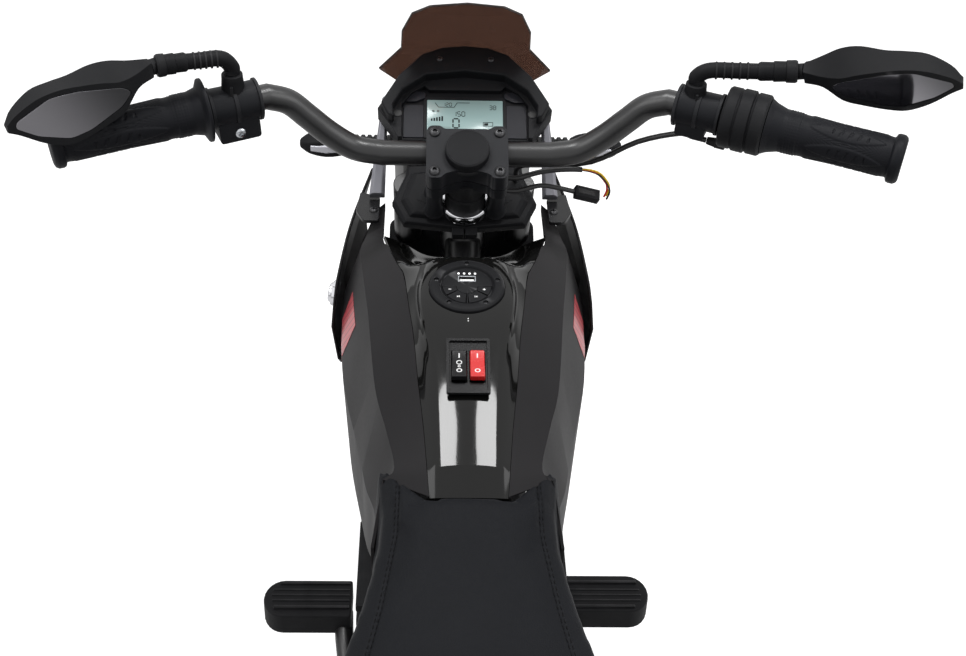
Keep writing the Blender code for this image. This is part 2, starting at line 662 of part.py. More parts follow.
def tail_ring(y, half, low, high, shoulder):
    """Section of the tail: flat base, upright sides, chamfered shoulders."""
    return [(-half * 0.8, y, low), (half * 0.8, y, low), (half, y, low + 0.010), (half, y, shoulder),
            (half * 0.62, y, high - 0.002), (0.0, y, high), (-half * 0.62, y, high - 0.002),
            (-half, y, shoulder), (-half, y, low + 0.010)]


def make_tail():
    """Tail cowl with its rear mudguard, and the lamp in its rear face."""
    low = SEAT_BASE_Z
    rings = [tail_ring(-0.4000, 0.068, low, 0.5600, 0.525), tail_ring(-0.4600, 0.066, low, 0.5760, 0.540),
             tail_ring(-0.5300, 0.056, 0.4800, 0.5860, 0.555), tail_ring(-0.5850, 0.042, 0.5120, 0.5860, 0.562),
             tail_ring(-0.6060, 0.030, 0.5350, 0.5780, 0.562)]
    cowl = loft("tail_cowl", rings, "gloss_plastic")
    path = [(-0.470, 0.4780), (-0.520, 0.4680), (-0.560, 0.4350), (-0.586, 0.3850), (-0.598, 0.3300)]
    rows = []
    for y, z in path:
        rows.append([(-0.038, y - 0.004, z - 0.008), (-0.031, y, z), (0.0, y, z + 0.003), (0.031, y, z),
                     (0.038, y - 0.004, z - 0.008)])
    guard = shell("rear_mudguard", rows[::-1], 0.004, offset=-1.0)
    join(cowl, guard)
    pocket = box("lamp_pocket", (-0.0240, -0.65, 0.5420), (0.0240, -0.5960, 0.5640))
    cut(cowl, pocket)
    box("tail_light", (-0.0235, -0.6090, 0.5425), (0.0235, -0.5963, 0.5635), "red_lens", bevel=0.002)


def make_engine_covers():
    """Dummy engine mouldings: a crankcase outline with clutch and generator covers and cooling fins."""
    case = [(-0.115, 0.255), (-0.085, 0.228), (0.060, 0.222), (0.105, 0.250), (0.118, 0.300), (0.100, 0.345),
            (0.060, 0.365), (0.052, 0.405), (-0.020, 0.418), (-0.062, 0.385), (-0.105, 0.340), (-0.122, 0.300)]
    for side, name in ((-1, "left_engine_cover"), (1, "right_engine_cover")):
        inner = 0.0565 + GAP
        outline = frame_at((side * (inner + 0.0075), 0.0, 0.0), (0, 1, 0), (1, 0, 0))
        cover = plate(name, case, 0.015, "satin_plastic", matrix=outline, bevel=0.003)
        pieces = []
        for index, (y, z, radius, reach) in enumerate(((-0.058, 0.300, 0.042, 0.0885),
                                                        (0.050, 0.290, 0.036, 0.0850))):
            pieces.append(rod(f"{name}_disc_{index}", (side * 0.065, y, z), (side * reach, y, z), radius,
                              sides=24, end_radius=radius - 0.006))
        for index in range(3):
            z = 0.362 + index * 0.017
            pieces.append(box(f"{name}_fin_{index}", (min(side * 0.065, side * 0.084), -0.048, z),
                              (max(side * 0.065, side * 0.084), 0.047, z + 0.007)))
        join(cover, *pieces)


def make_footrests():
    """Moulded pegs with rounded outer ends and two ridges, on arms bolted to the cradle."""
    for side, name in ((-1, "left_footrest"), (1, "right_footrest")):
        outline = [(0.0, -0.0225), (0.062, -0.0225), (0.071, -0.019), (0.0755, -0.010), (0.0755, 0.010),
                   (0.071, 0.019), (0.062, 0.0225), (0.0, 0.0225)]
        at = frame_at((side * 0.1015, 0.1010, 0.2430), (side, 0, 0), (0, 0, 1))
        peg = plate(name, outline, 0.017, "satin_plastic", matrix=at, bevel=0.003)
        ridges = []
        for index, y in enumerate((-0.0095, 0.0095)):
            ridges.append(box(f"{name}_ridge_{index}", (0.006, y - 0.0030, 0.004), (0.066, y + 0.0030, 0.0120),
                              matrix=at))
        arm = solid_tube(f"{name}_arm", smooth_route([
            (side * 0.1080, 0.0950, 0.2400), (side * 0.1000, 0.0600, 0.2260), (side * 0.0900, 0.0350, 0.2120),
            (side * 0.0720, 0.0250, 0.2050), (side * (0.0545 + 2 * GAP), 0.0250, 0.2050)], 1), 0.0080)
        join(peg, *ridges, arm)


def make_stabiliser_bar():
    """One bent bar under the cradle that carries both side wheels, with its two saddle plates."""
    x, y, z = STABILISER_X, STABILISER_Y, STABILISER_HEIGHT
    half = [(0.0, -0.182, 0.178), (0.060, -0.182, 0.178), (0.105, -0.205, 0.164), (0.130, -0.270, 0.126),
            (0.142, -0.345, 0.078), (0.148, y, z)]
    route = [(-px, py, pz) for px, py, pz in half[:0:-1]] + half
    bar = solid_tube("stabiliser_bar", route, 0.0080, "black_steel")
    pieces = []
    for side in (-1, 1):
        pieces.append(rod(f"stabiliser_axle_{side}", (side * 0.143, y, z), (side * (x + 0.018), y, z), 0.0070,
                          sides=12))
        pieces.append(rod(f"stabiliser_stop_{side}", (side * 0.140, y, z), (side * (x - 0.0150), y, z), 0.012,
                          sides=16))
        low, high = sorted((side * 0.034, side * 0.056))
        pieces.append(box(f"stabiliser_saddle_{side}", (low, -0.197, 0.170),
                          (high, -0.150, 0.205 - 0.0095 - 3 * GAP)))
    return join(bar, *pieces)


# Front of the body: pieces placed in the steering head's plane, but fixed to the frame

def make_front_end():
    """Instrument hood, screen, nacelle with headlamp, stays and turn signals."""
    head = steering_matrix()
    top, base = -0.0400, -0.0565
    outline = both_ways([(0.0, 0.0420), (0.0560, 0.0420), (0.0600, 0.0500), (0.0730, 0.0700), (0.0570, 0.0990),
                         (0.0370, 0.1210), (0.0200, 0.1280), (0.0, 0.1300)])
    middle = head @ Matrix.Translation((0, 0, (top + base) / 2))
    hood = plate("instrument_hood", outline, top - base, "satin_plastic", matrix=middle)
    brow_outline = both_ways([(0.0, 0.1020), (0.0330, 0.0980), (0.0520, 0.0830), (0.0600, 0.0680),
                              (0.0590, 0.0560), (0.0640, 0.0575), (0.0700, 0.0700), (0.0555, 0.0972),
                              (0.0360, 0.1190), (0.0195, 0.1260), (0.0, 0.1280)])
    brow = plate("hood_brow", brow_outline, 0.014, matrix=head @ Matrix.Translation((0, 0, -0.037)), bevel=0.001)
    join(hood, brow)
    dash_pocket = plate("dash_pocket", both_ways([(0.0, 0.0380), (0.0525, 0.0380), (0.0530, 0.0740),
                                                  (0.0450, 0.0860), (0.0340, 0.0930), (0.0300, 0.0890),
                                                  (0.0, 0.0890)]), 0.03,
                        matrix=head @ Matrix.Translation((0, 0, -0.0450 + 0.015)))
    lcd_pocket = box("lcd_pocket", (-0.0325, 0.0455, -0.0475), (0.0325, 0.0825, 0.01), matrix=head)
    cut(hood, dash_pocket, lcd_pocket)
    box("lcd_screen", (-0.0321, 0.0459, -0.0475 + GAP), (0.0321, 0.0821, -0.0442), "lcd", matrix=head,
        bevel=0.0006)
    make_windscreen()
    nacelle_rings = []
    for x, shrink in ((-0.0600, 0.012), (-0.0520, 0.0), (0.0520, 0.0), (0.0600, 0.012)):
        ring = [(0.060, base - GAP), (0.100, base - GAP), (0.152, -0.108), (0.150, -0.178), (0.108, -0.193),
                (0.062, -0.165)]
        mid_y = sum(point[0] for point in ring) / len(ring)
        mid_z = sum(point[1] for point in ring) / len(ring)
        scale = 1.0 - shrink / 0.05
        nacelle_rings.append([(x, mid_y + (y - mid_y) * scale, mid_z + (z - mid_z) * scale) for y, z in ring])
    nacelle = loft("headlamp_nacelle", nacelle_rings, "gloss_plastic", matrix=head)
    lens_frame = head @ frame_at((0.0, 0.1553, -0.1365), (1, 0, 0), (0.0, 0.9928, -0.1197))
    lens_outline = both_ways([(0.0, -0.0340), (0.0220, -0.0340), (0.0400, -0.0100), (0.0420, 0.0180),
                              (0.0260, 0.0300), (0.0, 0.0320)])
    pocket = plate("lamp_well", [(x * 1.015, y * 1.015) for x, y in lens_outline], 0.020,
                   matrix=lens_frame @ Matrix.Translation((0, 0, 0.0030)))
    cut(nacelle, pocket)
    plate("headlight_lens", lens_outline, 0.010, "clear_lens",
          matrix=lens_frame @ Matrix.Translation((0, 0, -0.0016)), bevel=0.002)
    for side, name in ((-1, "left_fairing_stay"), (1, "right_fairing_stay")):
        run = [(0.015, -0.0900), (0.040, -0.0760), (0.075, base - 0.0048), (0.092, base - 0.0048)]
        rings = []
        for y, z in run:
            xs = (0.0680, 0.0705, 0.0810, 0.0835)
            rings.append([(side * xs[0], y, z - 0.0035), (side * xs[0], y, z + 0.0015),
                          (side * xs[1], y, z + 0.0040), (side * xs[2], y, z + 0.0040),
                          (side * xs[3], y, z + 0.0015), (side * xs[3], y, z - 0.0035)])
        loft(name, rings, "silver_plastic", matrix=head, smooth=20)
    make_turn_signals()


def make_windscreen():
    """Folded smoked screen, half of it drawn and mirrored."""
    rows = [
        [(0.0, 0.3175, 0.6920), (0.0360, 0.3240, 0.6760), (0.0600, 0.3230, 0.6660)],
        [(0.0, 0.3030, 0.7120), (0.0375, 0.3040, 0.7000), (0.0735, 0.2960, 0.6900)],
        [(0.0, 0.2870, 0.7320), (0.0385, 0.2890, 0.7220), (0.0545, 0.2840, 0.7150)],
        [(0.0, 0.2720, 0.7500), (0.0410, 0.2740, 0.7430), (0.0535, 0.2700, 0.7370)],
        [(0.0, 0.2560, 0.7690), (0.0300, 0.2590, 0.7650), (0.0450, 0.2620, 0.7570)],
    ]
    return shell("windscreen", rows, 0.0022, "smoked_screen", mirror=True, smooth=15, offset=1.0)


def make_turn_signals():
    """Wedge lamp pods on ribbed rubber stalks, seated on the nacelle's sides."""
    for side, name in ((-1, "left_turn_signal"), (1, "right_turn_signal")):
        y, z = 0.3600, 0.5790
        rings = []
        for x, half_y, half_z in ((0.1010, 0.009, 0.008), (0.1100, 0.013, 0.013), (0.1250, 0.015, 0.015),
                                  (0.1400, 0.012, 0.011), (0.1495, 0.005, 0.004)):
            ring = [(side * x, y + half_y * math.cos(a), z + half_z * math.sin(a))
                    for a in (math.radians(30 + 60 * index) for index in range(6))]
            rings.append(ring)
        pod = loft(name, rings, "satin_plastic")
        collars = []
        for index in range(4):
            x = 0.0680 + index * 0.0080
            collars.append(rod(f"{name}_rib_{index}", (side * x, y, z), (side * (x + 0.0042), y, z), 0.0085,
                               sides=8))
        stalk = rod(f"{name}_stalk", (side * (0.0600 + GAP), y, z), (side * 0.105, y, z), 0.0065, sides=8)
        join(pod, stalk, *collars)


# Steering assembly, placed in the steering head's frame

def steering_matrix():
    return Matrix.Translation(STEER_ORIGIN) @ Matrix.Rotation(RAKE, 4, "X")


def make_fork(axis):
    """Fork: stem, crown, two stepped legs with axle lugs, and the front axle."""
    fork = rod("front_fork", (0, 0, -0.1560), (0, 0, -0.0747), 0.0110, "black_steel", sides=16, parent=axis)
    crown = [(-0.0300, -0.0200), (0.0300, -0.0200), (0.0640, 0.0060), (0.0640, 0.0300), (0.0400, 0.0380),
             (-0.0400, 0.0380), (-0.0640, 0.0300), (-0.0640, 0.0060)]
    pieces = [plate("fork_crown", crown, 0.018, matrix=Matrix.Translation((0, 0, -0.1640)), parent=axis,
                    bevel=0.003)]
    z = STEER_LOCAL_AXLE_Z
    for side in (-1, 1):
        x = side * LEG_X
        pieces.append(rod(f"fork_tube_{side}", (x, FORK_OFFSET, -0.0747), (x, FORK_OFFSET, -0.345),
                          LEG_UPPER_RADIUS, sides=12, parent=axis))
        pieces.append(rod(f"fork_slider_{side}", (x, FORK_OFFSET, -0.335), (x, FORK_OFFSET, z - 0.014),
                          LEG_LOWER_RADIUS, sides=12, parent=axis))
        pieces.append(rod(f"axle_lug_{side}", (side * 0.0340, FORK_OFFSET, z), (side * 0.0660, FORK_OFFSET, z),
                          0.0130, sides=12, parent=axis))
    pieces.append(rod("front_axle", (-0.0500, FORK_OFFSET, z), (0.0500, FORK_OFFSET, z), 0.0060, sides=12,
                      parent=axis))
    return join(fork, *pieces)


def make_front_mudguard(axis):
    """Arched guard over the tyre, between the fork sliders."""
    rows = []
    for index in range(11):
        angle = math.radians(6 + index * 13.0)
        spread = 0.8 if index in (0, 10) else 1.0
        row = []
        for x, radius in ((-0.0322, 0.1640), (-0.0270, 0.1700), (0.0, 0.1740), (0.0270, 0.1700), (0.0322, 0.1640)):
            row.append((x * spread, FORK_OFFSET + radius * math.cos(angle),
                        STEER_LOCAL_AXLE_Z + radius * math.sin(angle)))
        rows.append(row)
    return shell("front_mudguard", rows[::-1], 0.0022, "satin_plastic", parent=axis)


def make_top_yoke(axis):
    """Faceted yoke cover with a raised step and a small tab at the rear of its seam."""
    outline = both_ways([(0.0, -0.0310), (0.0500, -0.0255), (0.0600, -0.0055), (0.0490, 0.0215),
                         (0.0480, 0.0300), (0.0, 0.0330)])
    step = both_ways([(0.0, -0.0240), (0.0430, -0.0190), (0.0500, -0.0050), (0.0420, 0.0200), (0.0, 0.0260)])
    yoke = plate("top_yoke", outline, 0.0100, "satin_plastic", matrix=Matrix.Translation((0, 0, -0.0690)),
                 parent=axis, bevel=0.0015)
    raised = plate("yoke_step", step, 0.0100, matrix=Matrix.Translation((0, 0, -0.0650)), parent=axis,
                   bevel=0.0012)
    tab = box("yoke_tab", (-0.0110, -0.0365, -0.0735), (0.0110, -0.0280, -0.0650), parent=axis, bevel=0.001)
    return join(yoke, raised, tab)


def make_handlebar_clamp(axis):
    """Clamp block over the bar: round stem cap on top, two risers down to the yoke, four bolt heads."""
    block = box("handlebar_clamp", (-0.0320, -0.0330, -0.0140), (0.0320, 0.0150, 0.0170), "satin_plastic",
                parent=axis, bevel=0.004)
    pieces = [
        rod("stem_cap", (0, -0.0100, 0.0120), (0, -0.0100, 0.0245), 0.0175, sides=20, parent=axis, bevel=0.002),
        rod("stem_column", (0, -0.0100, -0.0590), (0, -0.0100, -0.0100), 0.0165, sides=16, parent=axis),
        rod("stem_nut", (0, -0.0100, -0.0597), (0, -0.0100, -0.0520), 0.0205, sides=16, parent=axis),
    ]
    for side in (-1, 1):
        low, high = sorted((side * 0.0185, side * 0.0320))
        pieces.append(box(f"riser_{side}", (low, -0.0240, -0.0597), (high, 0.0080, -0.0100), parent=axis,
                          bevel=0.002))
        for end, y in (("front", 0.0085), ("rear", -0.0270)):
            pieces.append(rod(f"clamp_bolt_{end}_{side}", (side * 0.0253, y, 0.0150), (side * 0.0253, y, 0.0195),
                              0.0048, sides=8, parent=axis))
    join(block, *pieces)
    bore = rod("bar_bore", (-0.05, 0, 0), (0.05, 0, 0), BORE_RADIUS, sides=20, parent=axis)
    return cut(block, bore)


def bar_direction(side):
    run = (BAR_TIP - BAR_KNEE).normalized()
    return Vector((side * run.x, run.y, run.z))


def bar_frame(side, distance):
    """A frame on the straight end of the bar: z outwards along it, x upwards."""
    knee = Vector((side * BAR_KNEE.x, BAR_KNEE.y, BAR_KNEE.z))
    direction = bar_direction(side)
    return frame_at(knee + direction * distance, (0, 0, 1), direction)


def make_handlebar(axis):
    """Bent tube: level through the clamp, up to a knee each side, then swept back to the grips."""
    half = [(0.0, 0.171, 0.679), (0.066, 0.171, 0.679), (0.088, 0.1712, 0.6830), (0.107, 0.1708, 0.6955),
            (0.124, 0.1695, 0.7115), (0.138, 0.1680, 0.7245)]
    bends = smooth_route([Vector(point) for point in half[1:]] + [BAR_KNEE + bar_direction(1) * 0.002], 2)
    right = [Vector(half[0]), *bends, BAR_KNEE + bar_direction(1) * BAR_STRAIGHT]
    left = [Vector((-p.x, p.y, p.z)) for p in reversed(right[1:])]
    route = left + right[1:]
    back = steering_matrix().inverted()
    return tube("handlebar", [back @ p for p in route], BAR_RADIUS, "black_steel", parent=axis, resolution=3)


LEFT_FOOT = ((0.0165, 0.0120), (0.0185, 0.0050), (0.0243, 0.0022), (0.0243, 0.0))
RIGHT_FOOT = ((0.0165, 0.0120), (0.0190, 0.0040), (0.0212, 0.0))


def grip_profile(length, foot):
    """Rubber grip on a bore: hand guard or cone, ribbed band, barrel, end flange and closed end."""
    return [
        (0.0, length), (0.0125, length), (0.0180, length - 0.0020), (0.0188, length - 0.0065),
        (0.0158, length - 0.0090), (0.0156, length * 0.5), (0.0165, 0.0240), *foot,
        (BORE_RADIUS, 0.0), (BORE_RADIUS, length - 0.0030), (0.0, length - 0.0030),
    ]


GLAND_DROP = 0.0225
GLAND_REACH = 0.0085


def clamp_profile(length):
    return [(0.0162, length), (0.0162, length - 0.0025), (0.0148, length - 0.0025), (0.0148, 0.0025),
            (0.0162, 0.0025), (0.0162, 0.0), (BORE_RADIUS, 0.0), (BORE_RADIUS, length)]


def make_bar_fittings(axis):
    """Grips, throttle housing and mirror clamps on the straight ends of the bar."""
    back = steering_matrix().inverted()
    left = back @ bar_frame(-1, LEFT_GRIP[0])
    lathe("left_grip", grip_profile(LEFT_GRIP[1], LEFT_FOOT), "rubber", left, axis, steps=18)
    right = back @ bar_frame(1, RIGHT_GRIP[0])
    lathe("throttle_grip", grip_profile(RIGHT_GRIP[1], RIGHT_FOOT), "rubber", right, axis, steps=18)
    housing = back @ bar_frame(1, 0.0455)
    profile = [
        (0.0222, 0.0330), (0.0235, 0.0310), (0.0235, 0.0225), (0.0224, 0.0215), (0.0240, 0.0200),
        (0.0240, 0.0115), (0.0228, 0.0105), (0.0235, 0.0090), (0.0235, 0.0018), (0.0215, 0.0),
        (BORE_RADIUS, 0.0), (BORE_RADIUS, 0.0330),
    ]
    body = lathe("throttle_housing", profile, "satin_plastic", housing, axis, steps=20)
    gland = rod("cable_gland", housing @ Vector((-GLAND_DROP, 0.0030, -GLAND_REACH)),
                housing @ Vector((-GLAND_DROP, 0.0030, 0.0060)), 0.0042, sides=12, parent=axis)
    join(body, gland)
    for side, name, length, drop, short in ((-1, "left_mirror_clamp", 0.0400, 0.0260, 0.004),
                                            (1, "right_mirror_clamp", 0.0360, 0.0195, 0.009)):
        at = back @ bar_frame(side, 0.0080)
        clamp = lathe(name, clamp_profile(length), "satin_plastic", at, axis, steps=16)
        post = MIRRORS[side]
        foot = back @ post["post_foot"]
        top = back @ post["post_top"]
        ear = box(name + "_ear", (-drop, -0.0115, 0.004), (-0.0080, 0.0115, length - short), matrix=at,
                  parent=axis)
        boss = rod(name + "_boss", foot, top, 0.0105, sides=12, parent=axis, end_radius=0.0080)
        bore = rod(name + "_bore", at @ Vector((0, 0, -0.02)), at @ Vector((0, 0, length + 0.02)),
                   BORE_RADIUS, sides=16, parent=axis)
        cut(join(clamp, ear, boss), bore)


# Mirrors: post on the clamp, arm that swivels on it, and a head that tilts on the end of the arm.
# turn swings the head's outer end to the rider, tilt lifts the glass, roll lifts the outer end (degrees)
MIRRORS = {
    -1: dict(post_foot=Vector((-0.1775, 0.1540, 0.7330)), post_top=Vector((-0.1775, 0.1530, 0.7560)),
             elbow=Vector((-0.1790, 0.1500, 0.7700)), neck=Vector((-0.2307, 0.1262, 0.7750)),
             turn=33, tilt=12, roll=0),
    1: dict(post_foot=Vector((0.1720, 0.1565, 0.7340)), post_top=Vector((0.1720, 0.1560, 0.7520)),
            elbow=Vector((0.1735, 0.1550, 0.7630)), neck=Vector((0.2465, 0.1370, 0.7700)),
            turn=15, tilt=-17, roll=14),
}
# Along the head, then y of the rim's lower and upper edges, then y and z of the crown and of the keel
HEAD_STATIONS = [
    (0.000, -0.0090, 0.0020, 0.0035, -0.0080, -0.0075, -0.0130),
    (0.013, -0.0140, -0.0035, 0.0040, -0.0150, -0.0100, -0.0170),
    (0.026, -0.0280, -0.0060, 0.0060, -0.0200, -0.0160, -0.0200),
    (0.040, -0.0340, -0.0035, 0.0060, -0.0210, -0.0240, -0.0190),
    (0.058, -0.0395, -0.0015, 0.0035, -0.0180, -0.0300, -0.0160),
    (0.072, -0.0410, -0.0010, 0.0025, -0.0170, -0.0320, -0.0140),
    (0.088, -0.0355, -0.0035, 0.0005, -0.0150, -0.0280, -0.0120),
    (0.104, -0.0255, -0.0105, -0.0080, -0.0110, -0.0210, -0.0090),
    (0.112, -0.0215, -0.0165, -0.0150, -0.0050, -0.0195, -0.0050),
]
GLASS_OUTLINE = [(0.0180, -0.0152), (0.0245, -0.0107), (0.0585, -0.0052), (0.0785, -0.0050), (0.1048, -0.0157),
                 (0.1062, -0.0202), (0.0920, -0.0295), (0.0690, -0.0372), (0.0535, -0.0349), (0.0275, -0.0242)]
ARM_SEAT = (-0.0030, -0.0065)
ARM_RADIUS = 0.0062


def mirror_frame(side):
    """Mirror head's frame at its neck: side * x outwards along the shell, z out of the glass."""
    data = MIRRORS[side]
    turn, tilt = math.radians(data["turn"]), math.radians(data["tilt"])
    level = Vector((-side * math.sin(turn), -math.cos(turn), 0.0))
    normal = level * math.cos(tilt) + Vector((0, 0, math.sin(tilt)))
    frame = frame_at(data["neck"], (math.cos(turn), -side * math.sin(turn), 0.0), normal)
    return frame @ Matrix.Rotation(side * math.radians(data["roll"]), 4, "Z")


def offset_outline(outline, distance):
    """The outline moved outwards (or inwards) along the mean normal at each of its points."""
    area = sum(a[0] * b[1] - b[0] * a[1] for a, b in zip(outline, outline[1:] + outline[:1]))
    hand = 1.0 if area > 0 else -1.0
    moved = []
    for before, point, after in zip(outline[-1:] + outline[:-1], outline, outline[1:] + outline[:1]):
        edge_in = (Vector(point) - Vector(before)).normalized()
        edge_out = (Vector(after) - Vector(point)).normalized()
        mean = Vector((edge_in.y + edge_out.y, -edge_in.x - edge_out.x)).normalized() * hand
        reach = distance / max(0.5, mean.dot(Vector((edge_in.y, -edge_in.x)) * hand))
        moved.append((point[0] + mean.x * reach, point[1] + mean.y * reach))
    return moved


def make_mirrors(back, axis):
    for side, word in ((-1, "left"), (1, "right")):
        data = MIRRORS[side]
        up = (data["post_top"] - data["post_foot"]).normalized()
        foot, elbow = data["post_top"] + up * GAP * 1.5, data["elbow"]
        tip = mirror_frame(side) @ Vector((-side * GAP * 1.5, *ARM_SEAT))
        inner = mirror_frame(side) @ Vector((-side * 0.0120, *ARM_SEAT))
        reach = inner - elbow
        bend = smooth_route([foot + up * 0.005, elbow + reach * 0.12, elbow + reach * 0.5, inner], 2)
        arm = solid_tube(f"{word}_mirror_arm", [back @ point for point in (foot, *bend, tip)], ARM_RADIUS,
                         "satin_plastic", parent=axis)
        collar = rod(f"{word}_arm_collar", back @ (elbow + reach * 0.66), back @ (inner + (tip - inner) * 0.6),
                     ARM_RADIUS + 0.0012, sides=12, parent=axis, end_radius=ARM_RADIUS + 0.0026)
        join(arm, collar)
        frame = back @ mirror_frame(side)
        rings = []
        for s, low, high, crown_y, crown_z, keel_y, keel_z in HEAD_STATIONS:
            back_z = min(crown_z, keel_z) - 0.0030
            section = [(low, 0.0), (high, 0.0), (crown_y, crown_z), ((crown_y + keel_y) / 2, back_z),
                       (keel_y, keel_z), (low, -0.0035)]
            rings.append([(side * s, y, z) for y, z in section])
        head = loft(f"{word}_mirror_shell", rings, "satin_plastic", matrix=frame, parent=axis, smooth=20)
        outline = [(side * s, y) for s, y in GLASS_OUTLINE]
        well = plate(f"{word}_glass_well", offset_outline(outline, 0.0004), 0.0050, matrix=frame, parent=axis)
        cut(head, well)
        plate(f"{word}_mirror_glass", outline, 0.0016, "mirror_glass",
              matrix=frame @ Matrix.Translation((0, 0, -0.0025 + GAP + 0.0008)), parent=axis)


def make_leads(axis):
    """The throttle lead along the bar, and the two loose leads that leave the clamp's right side."""
    back = steering_matrix().inverted()
    gland = back @ bar_frame(1, 0.0455)
    start = gland @ Vector((-GLAND_DROP, 0.0030, -GLAND_REACH - 2 * GAP))
    away = (gland @ Vector((-GLAND_DROP, 0.0030, -0.020))) - start
    route = smooth_route([
        start, start + away, back @ Vector((0.1640, 0.1600, 0.7060)), back @ Vector((0.1340, 0.1690, 0.6930)),
        back @ Vector((0.1000, 0.1780, 0.6690)), (0.0660, 0.0130, -0.0350), (0.0450, 0.0160, -0.0420),
        (0.0422, 0.0132, -0.0530), (0.0420, 0.0130, -0.0594)], 3)
    tube("throttle_cable", route, 0.0022, "cable_sheath", parent=axis)
    exit_x = 0.0320 + GAP
    sheath = [(exit_x, -0.0060, -0.0250), (0.0420, -0.0060, -0.0250), (0.0600, -0.0015, -0.0230),
              (0.0760, 0.0000, -0.0215), (0.0935, 0.0002, -0.0215)]
    wires = [(0.1060, -0.0015, -0.0240), (0.1140, -0.0060, -0.0310), (0.1160, -0.0090, -0.0370),
             (0.1140, -0.0120, -0.0430)]
    route = smooth_route(sheath + wires, 2)
    radii = [1.0 if index < 8 else 0.65 for index in range(len(route))]
    tube("sheathed_lead", route, 0.0022, "cable_sheath", parent=axis, radii=radii)
    route = smooth_route([(exit_x, -0.0140, -0.0320), (0.0420, -0.0140, -0.0320), (0.0600, -0.0100, -0.0300),
                          (0.0750, -0.0105, -0.0325), (0.0880, -0.0115, -0.0360)], 3)
    tube("plug_lead", route, 0.0020, "cable_sheath", parent=axis)
    along = (route[-1] - route[-2]).normalized()
    plug = frame_at(route[-1] + along * (GAP + 0.0105), (0, 1, 0), along)
    box("lead_connector", (-0.0050, -0.0035, -0.0105), (0.0050, 0.0035, 0.0105), "satin_plastic", matrix=plug,
        parent=axis, bevel=0.0008)


def make_steering():
    axis = empty_at("steering_axis", steering_matrix())
    make_fork(axis)
    make_front_mudguard(axis)
    make_top_yoke(axis)
    make_handlebar_clamp(axis)
    make_handlebar(axis)
    make_bar_fittings(axis)
    make_mirrors(steering_matrix().inverted(), axis)
    make_leads(axis)


def centre_on_box():
    """The mirrors reach further right than left, so the bike's own midplane goes left of the box's middle."""
    for group in (PARTS, CUTTERS):
        for obj in group.objects:
            if obj.parent is None:
                obj.matrix_basis = Matrix.Translation((MIDPLANE_X, 0, 0)) @ obj.matrix_basis


def main():
    make_wheels()
    make_main_frame()
    make_battery_pack()
    make_drive_unit()
    make_tank_cover()
    make_side_panels()
    make_console()
    make_switches()
    make_shrouds()
    make_seat()
    make_tail()
    make_engine_covers()
    make_footrests()
    make_stabiliser_bar()
    make_front_end()
    make_steering()
    centre_on_box()


clear_scene()
PARTS, CUTTERS = make_collections()
main()
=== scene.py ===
"""The looks of a kids' ride-on motorcycle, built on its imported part.

Metres, +Z up, +Y is the way it rides. The bike's own middle plane lies a little left of the box's middle,
so every piece is drawn in the bike's own coordinates and is then moved by BIKE into the part's frame.
"""

import json
import logging
import math
from dataclasses import dataclass, field
from enum import Enum
from typing import Callable, Iterable, Sequence

import bmesh
import bpy
from mathutils import Matrix, Vector
from mathutils.bvhtree import BVHTree

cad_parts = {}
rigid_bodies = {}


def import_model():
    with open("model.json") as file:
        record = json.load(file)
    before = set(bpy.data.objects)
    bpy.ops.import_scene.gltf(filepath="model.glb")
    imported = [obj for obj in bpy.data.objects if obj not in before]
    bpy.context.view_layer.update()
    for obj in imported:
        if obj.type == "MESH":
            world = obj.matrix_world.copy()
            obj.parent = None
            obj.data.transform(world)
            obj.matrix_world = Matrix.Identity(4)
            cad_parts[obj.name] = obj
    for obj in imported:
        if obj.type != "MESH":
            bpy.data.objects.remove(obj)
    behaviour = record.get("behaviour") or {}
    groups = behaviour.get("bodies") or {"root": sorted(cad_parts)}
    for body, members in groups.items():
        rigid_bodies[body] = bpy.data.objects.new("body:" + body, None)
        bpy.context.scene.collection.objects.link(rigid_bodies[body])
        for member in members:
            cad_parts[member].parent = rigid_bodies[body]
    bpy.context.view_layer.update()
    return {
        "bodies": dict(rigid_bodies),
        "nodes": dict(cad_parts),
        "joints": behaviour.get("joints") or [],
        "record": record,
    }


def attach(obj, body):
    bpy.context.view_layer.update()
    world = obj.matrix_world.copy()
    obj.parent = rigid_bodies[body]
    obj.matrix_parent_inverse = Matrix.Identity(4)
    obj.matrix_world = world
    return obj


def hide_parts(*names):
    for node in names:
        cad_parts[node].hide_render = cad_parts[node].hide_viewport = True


log = logging.getLogger("ride_on")

Colour = tuple[float, float, float]
Point = Sequence[float]
Section = Sequence[Point]
Form = bmesh.types.BMesh
Piece = bpy.types.Object
Tree = bpy.types.NodeTree
Node = bpy.types.Node
Socket = bpy.types.NodeSocket

BIKE = Matrix.Translation((-0.010, 0.0, 0.0))
GAP = 0.0003
MIX_A, MIX_B, MIX_RESULT = 6, 7, 2
FLAT_POINTINESS = 0.52
PRINT_HEIGHT = 0.00012
TREAD_GAP = 0.00012
SIDE_WHEEL_X, SIDE_WHEEL_Y = 0.178, -0.400
SIDE_WHEEL_RADIUS = 0.052 * math.cos(math.pi / 18)
FLAT_ENOUGH = math.radians(0.6)
RUBBED_GREY = (0.16, 0.16, 0.165, 1.0)
STEER_ORIGIN = Vector((0.0, 0.171, 0.679))
RAKE = math.radians(27)
HEAD = Matrix.Translation(STEER_ORIGIN) @ Matrix.Rotation(RAKE, 4, "X")
WHEEL_RADIUS = 0.155 * math.cos(math.pi / 36)
AXLE_HEIGHT = WHEEL_RADIUS
FORK_OFFSET = 0.018
STEER_AXLE_Z = (AXLE_HEIGHT - STEER_ORIGIN.z - FORK_OFFSET * math.sin(RAKE)) / math.cos(RAKE)
FRONT_AXLE = HEAD @ Vector((0.0, FORK_OFFSET, STEER_AXLE_Z))
REAR_AXLE = Vector((0.0, -0.445, AXLE_HEIGHT))
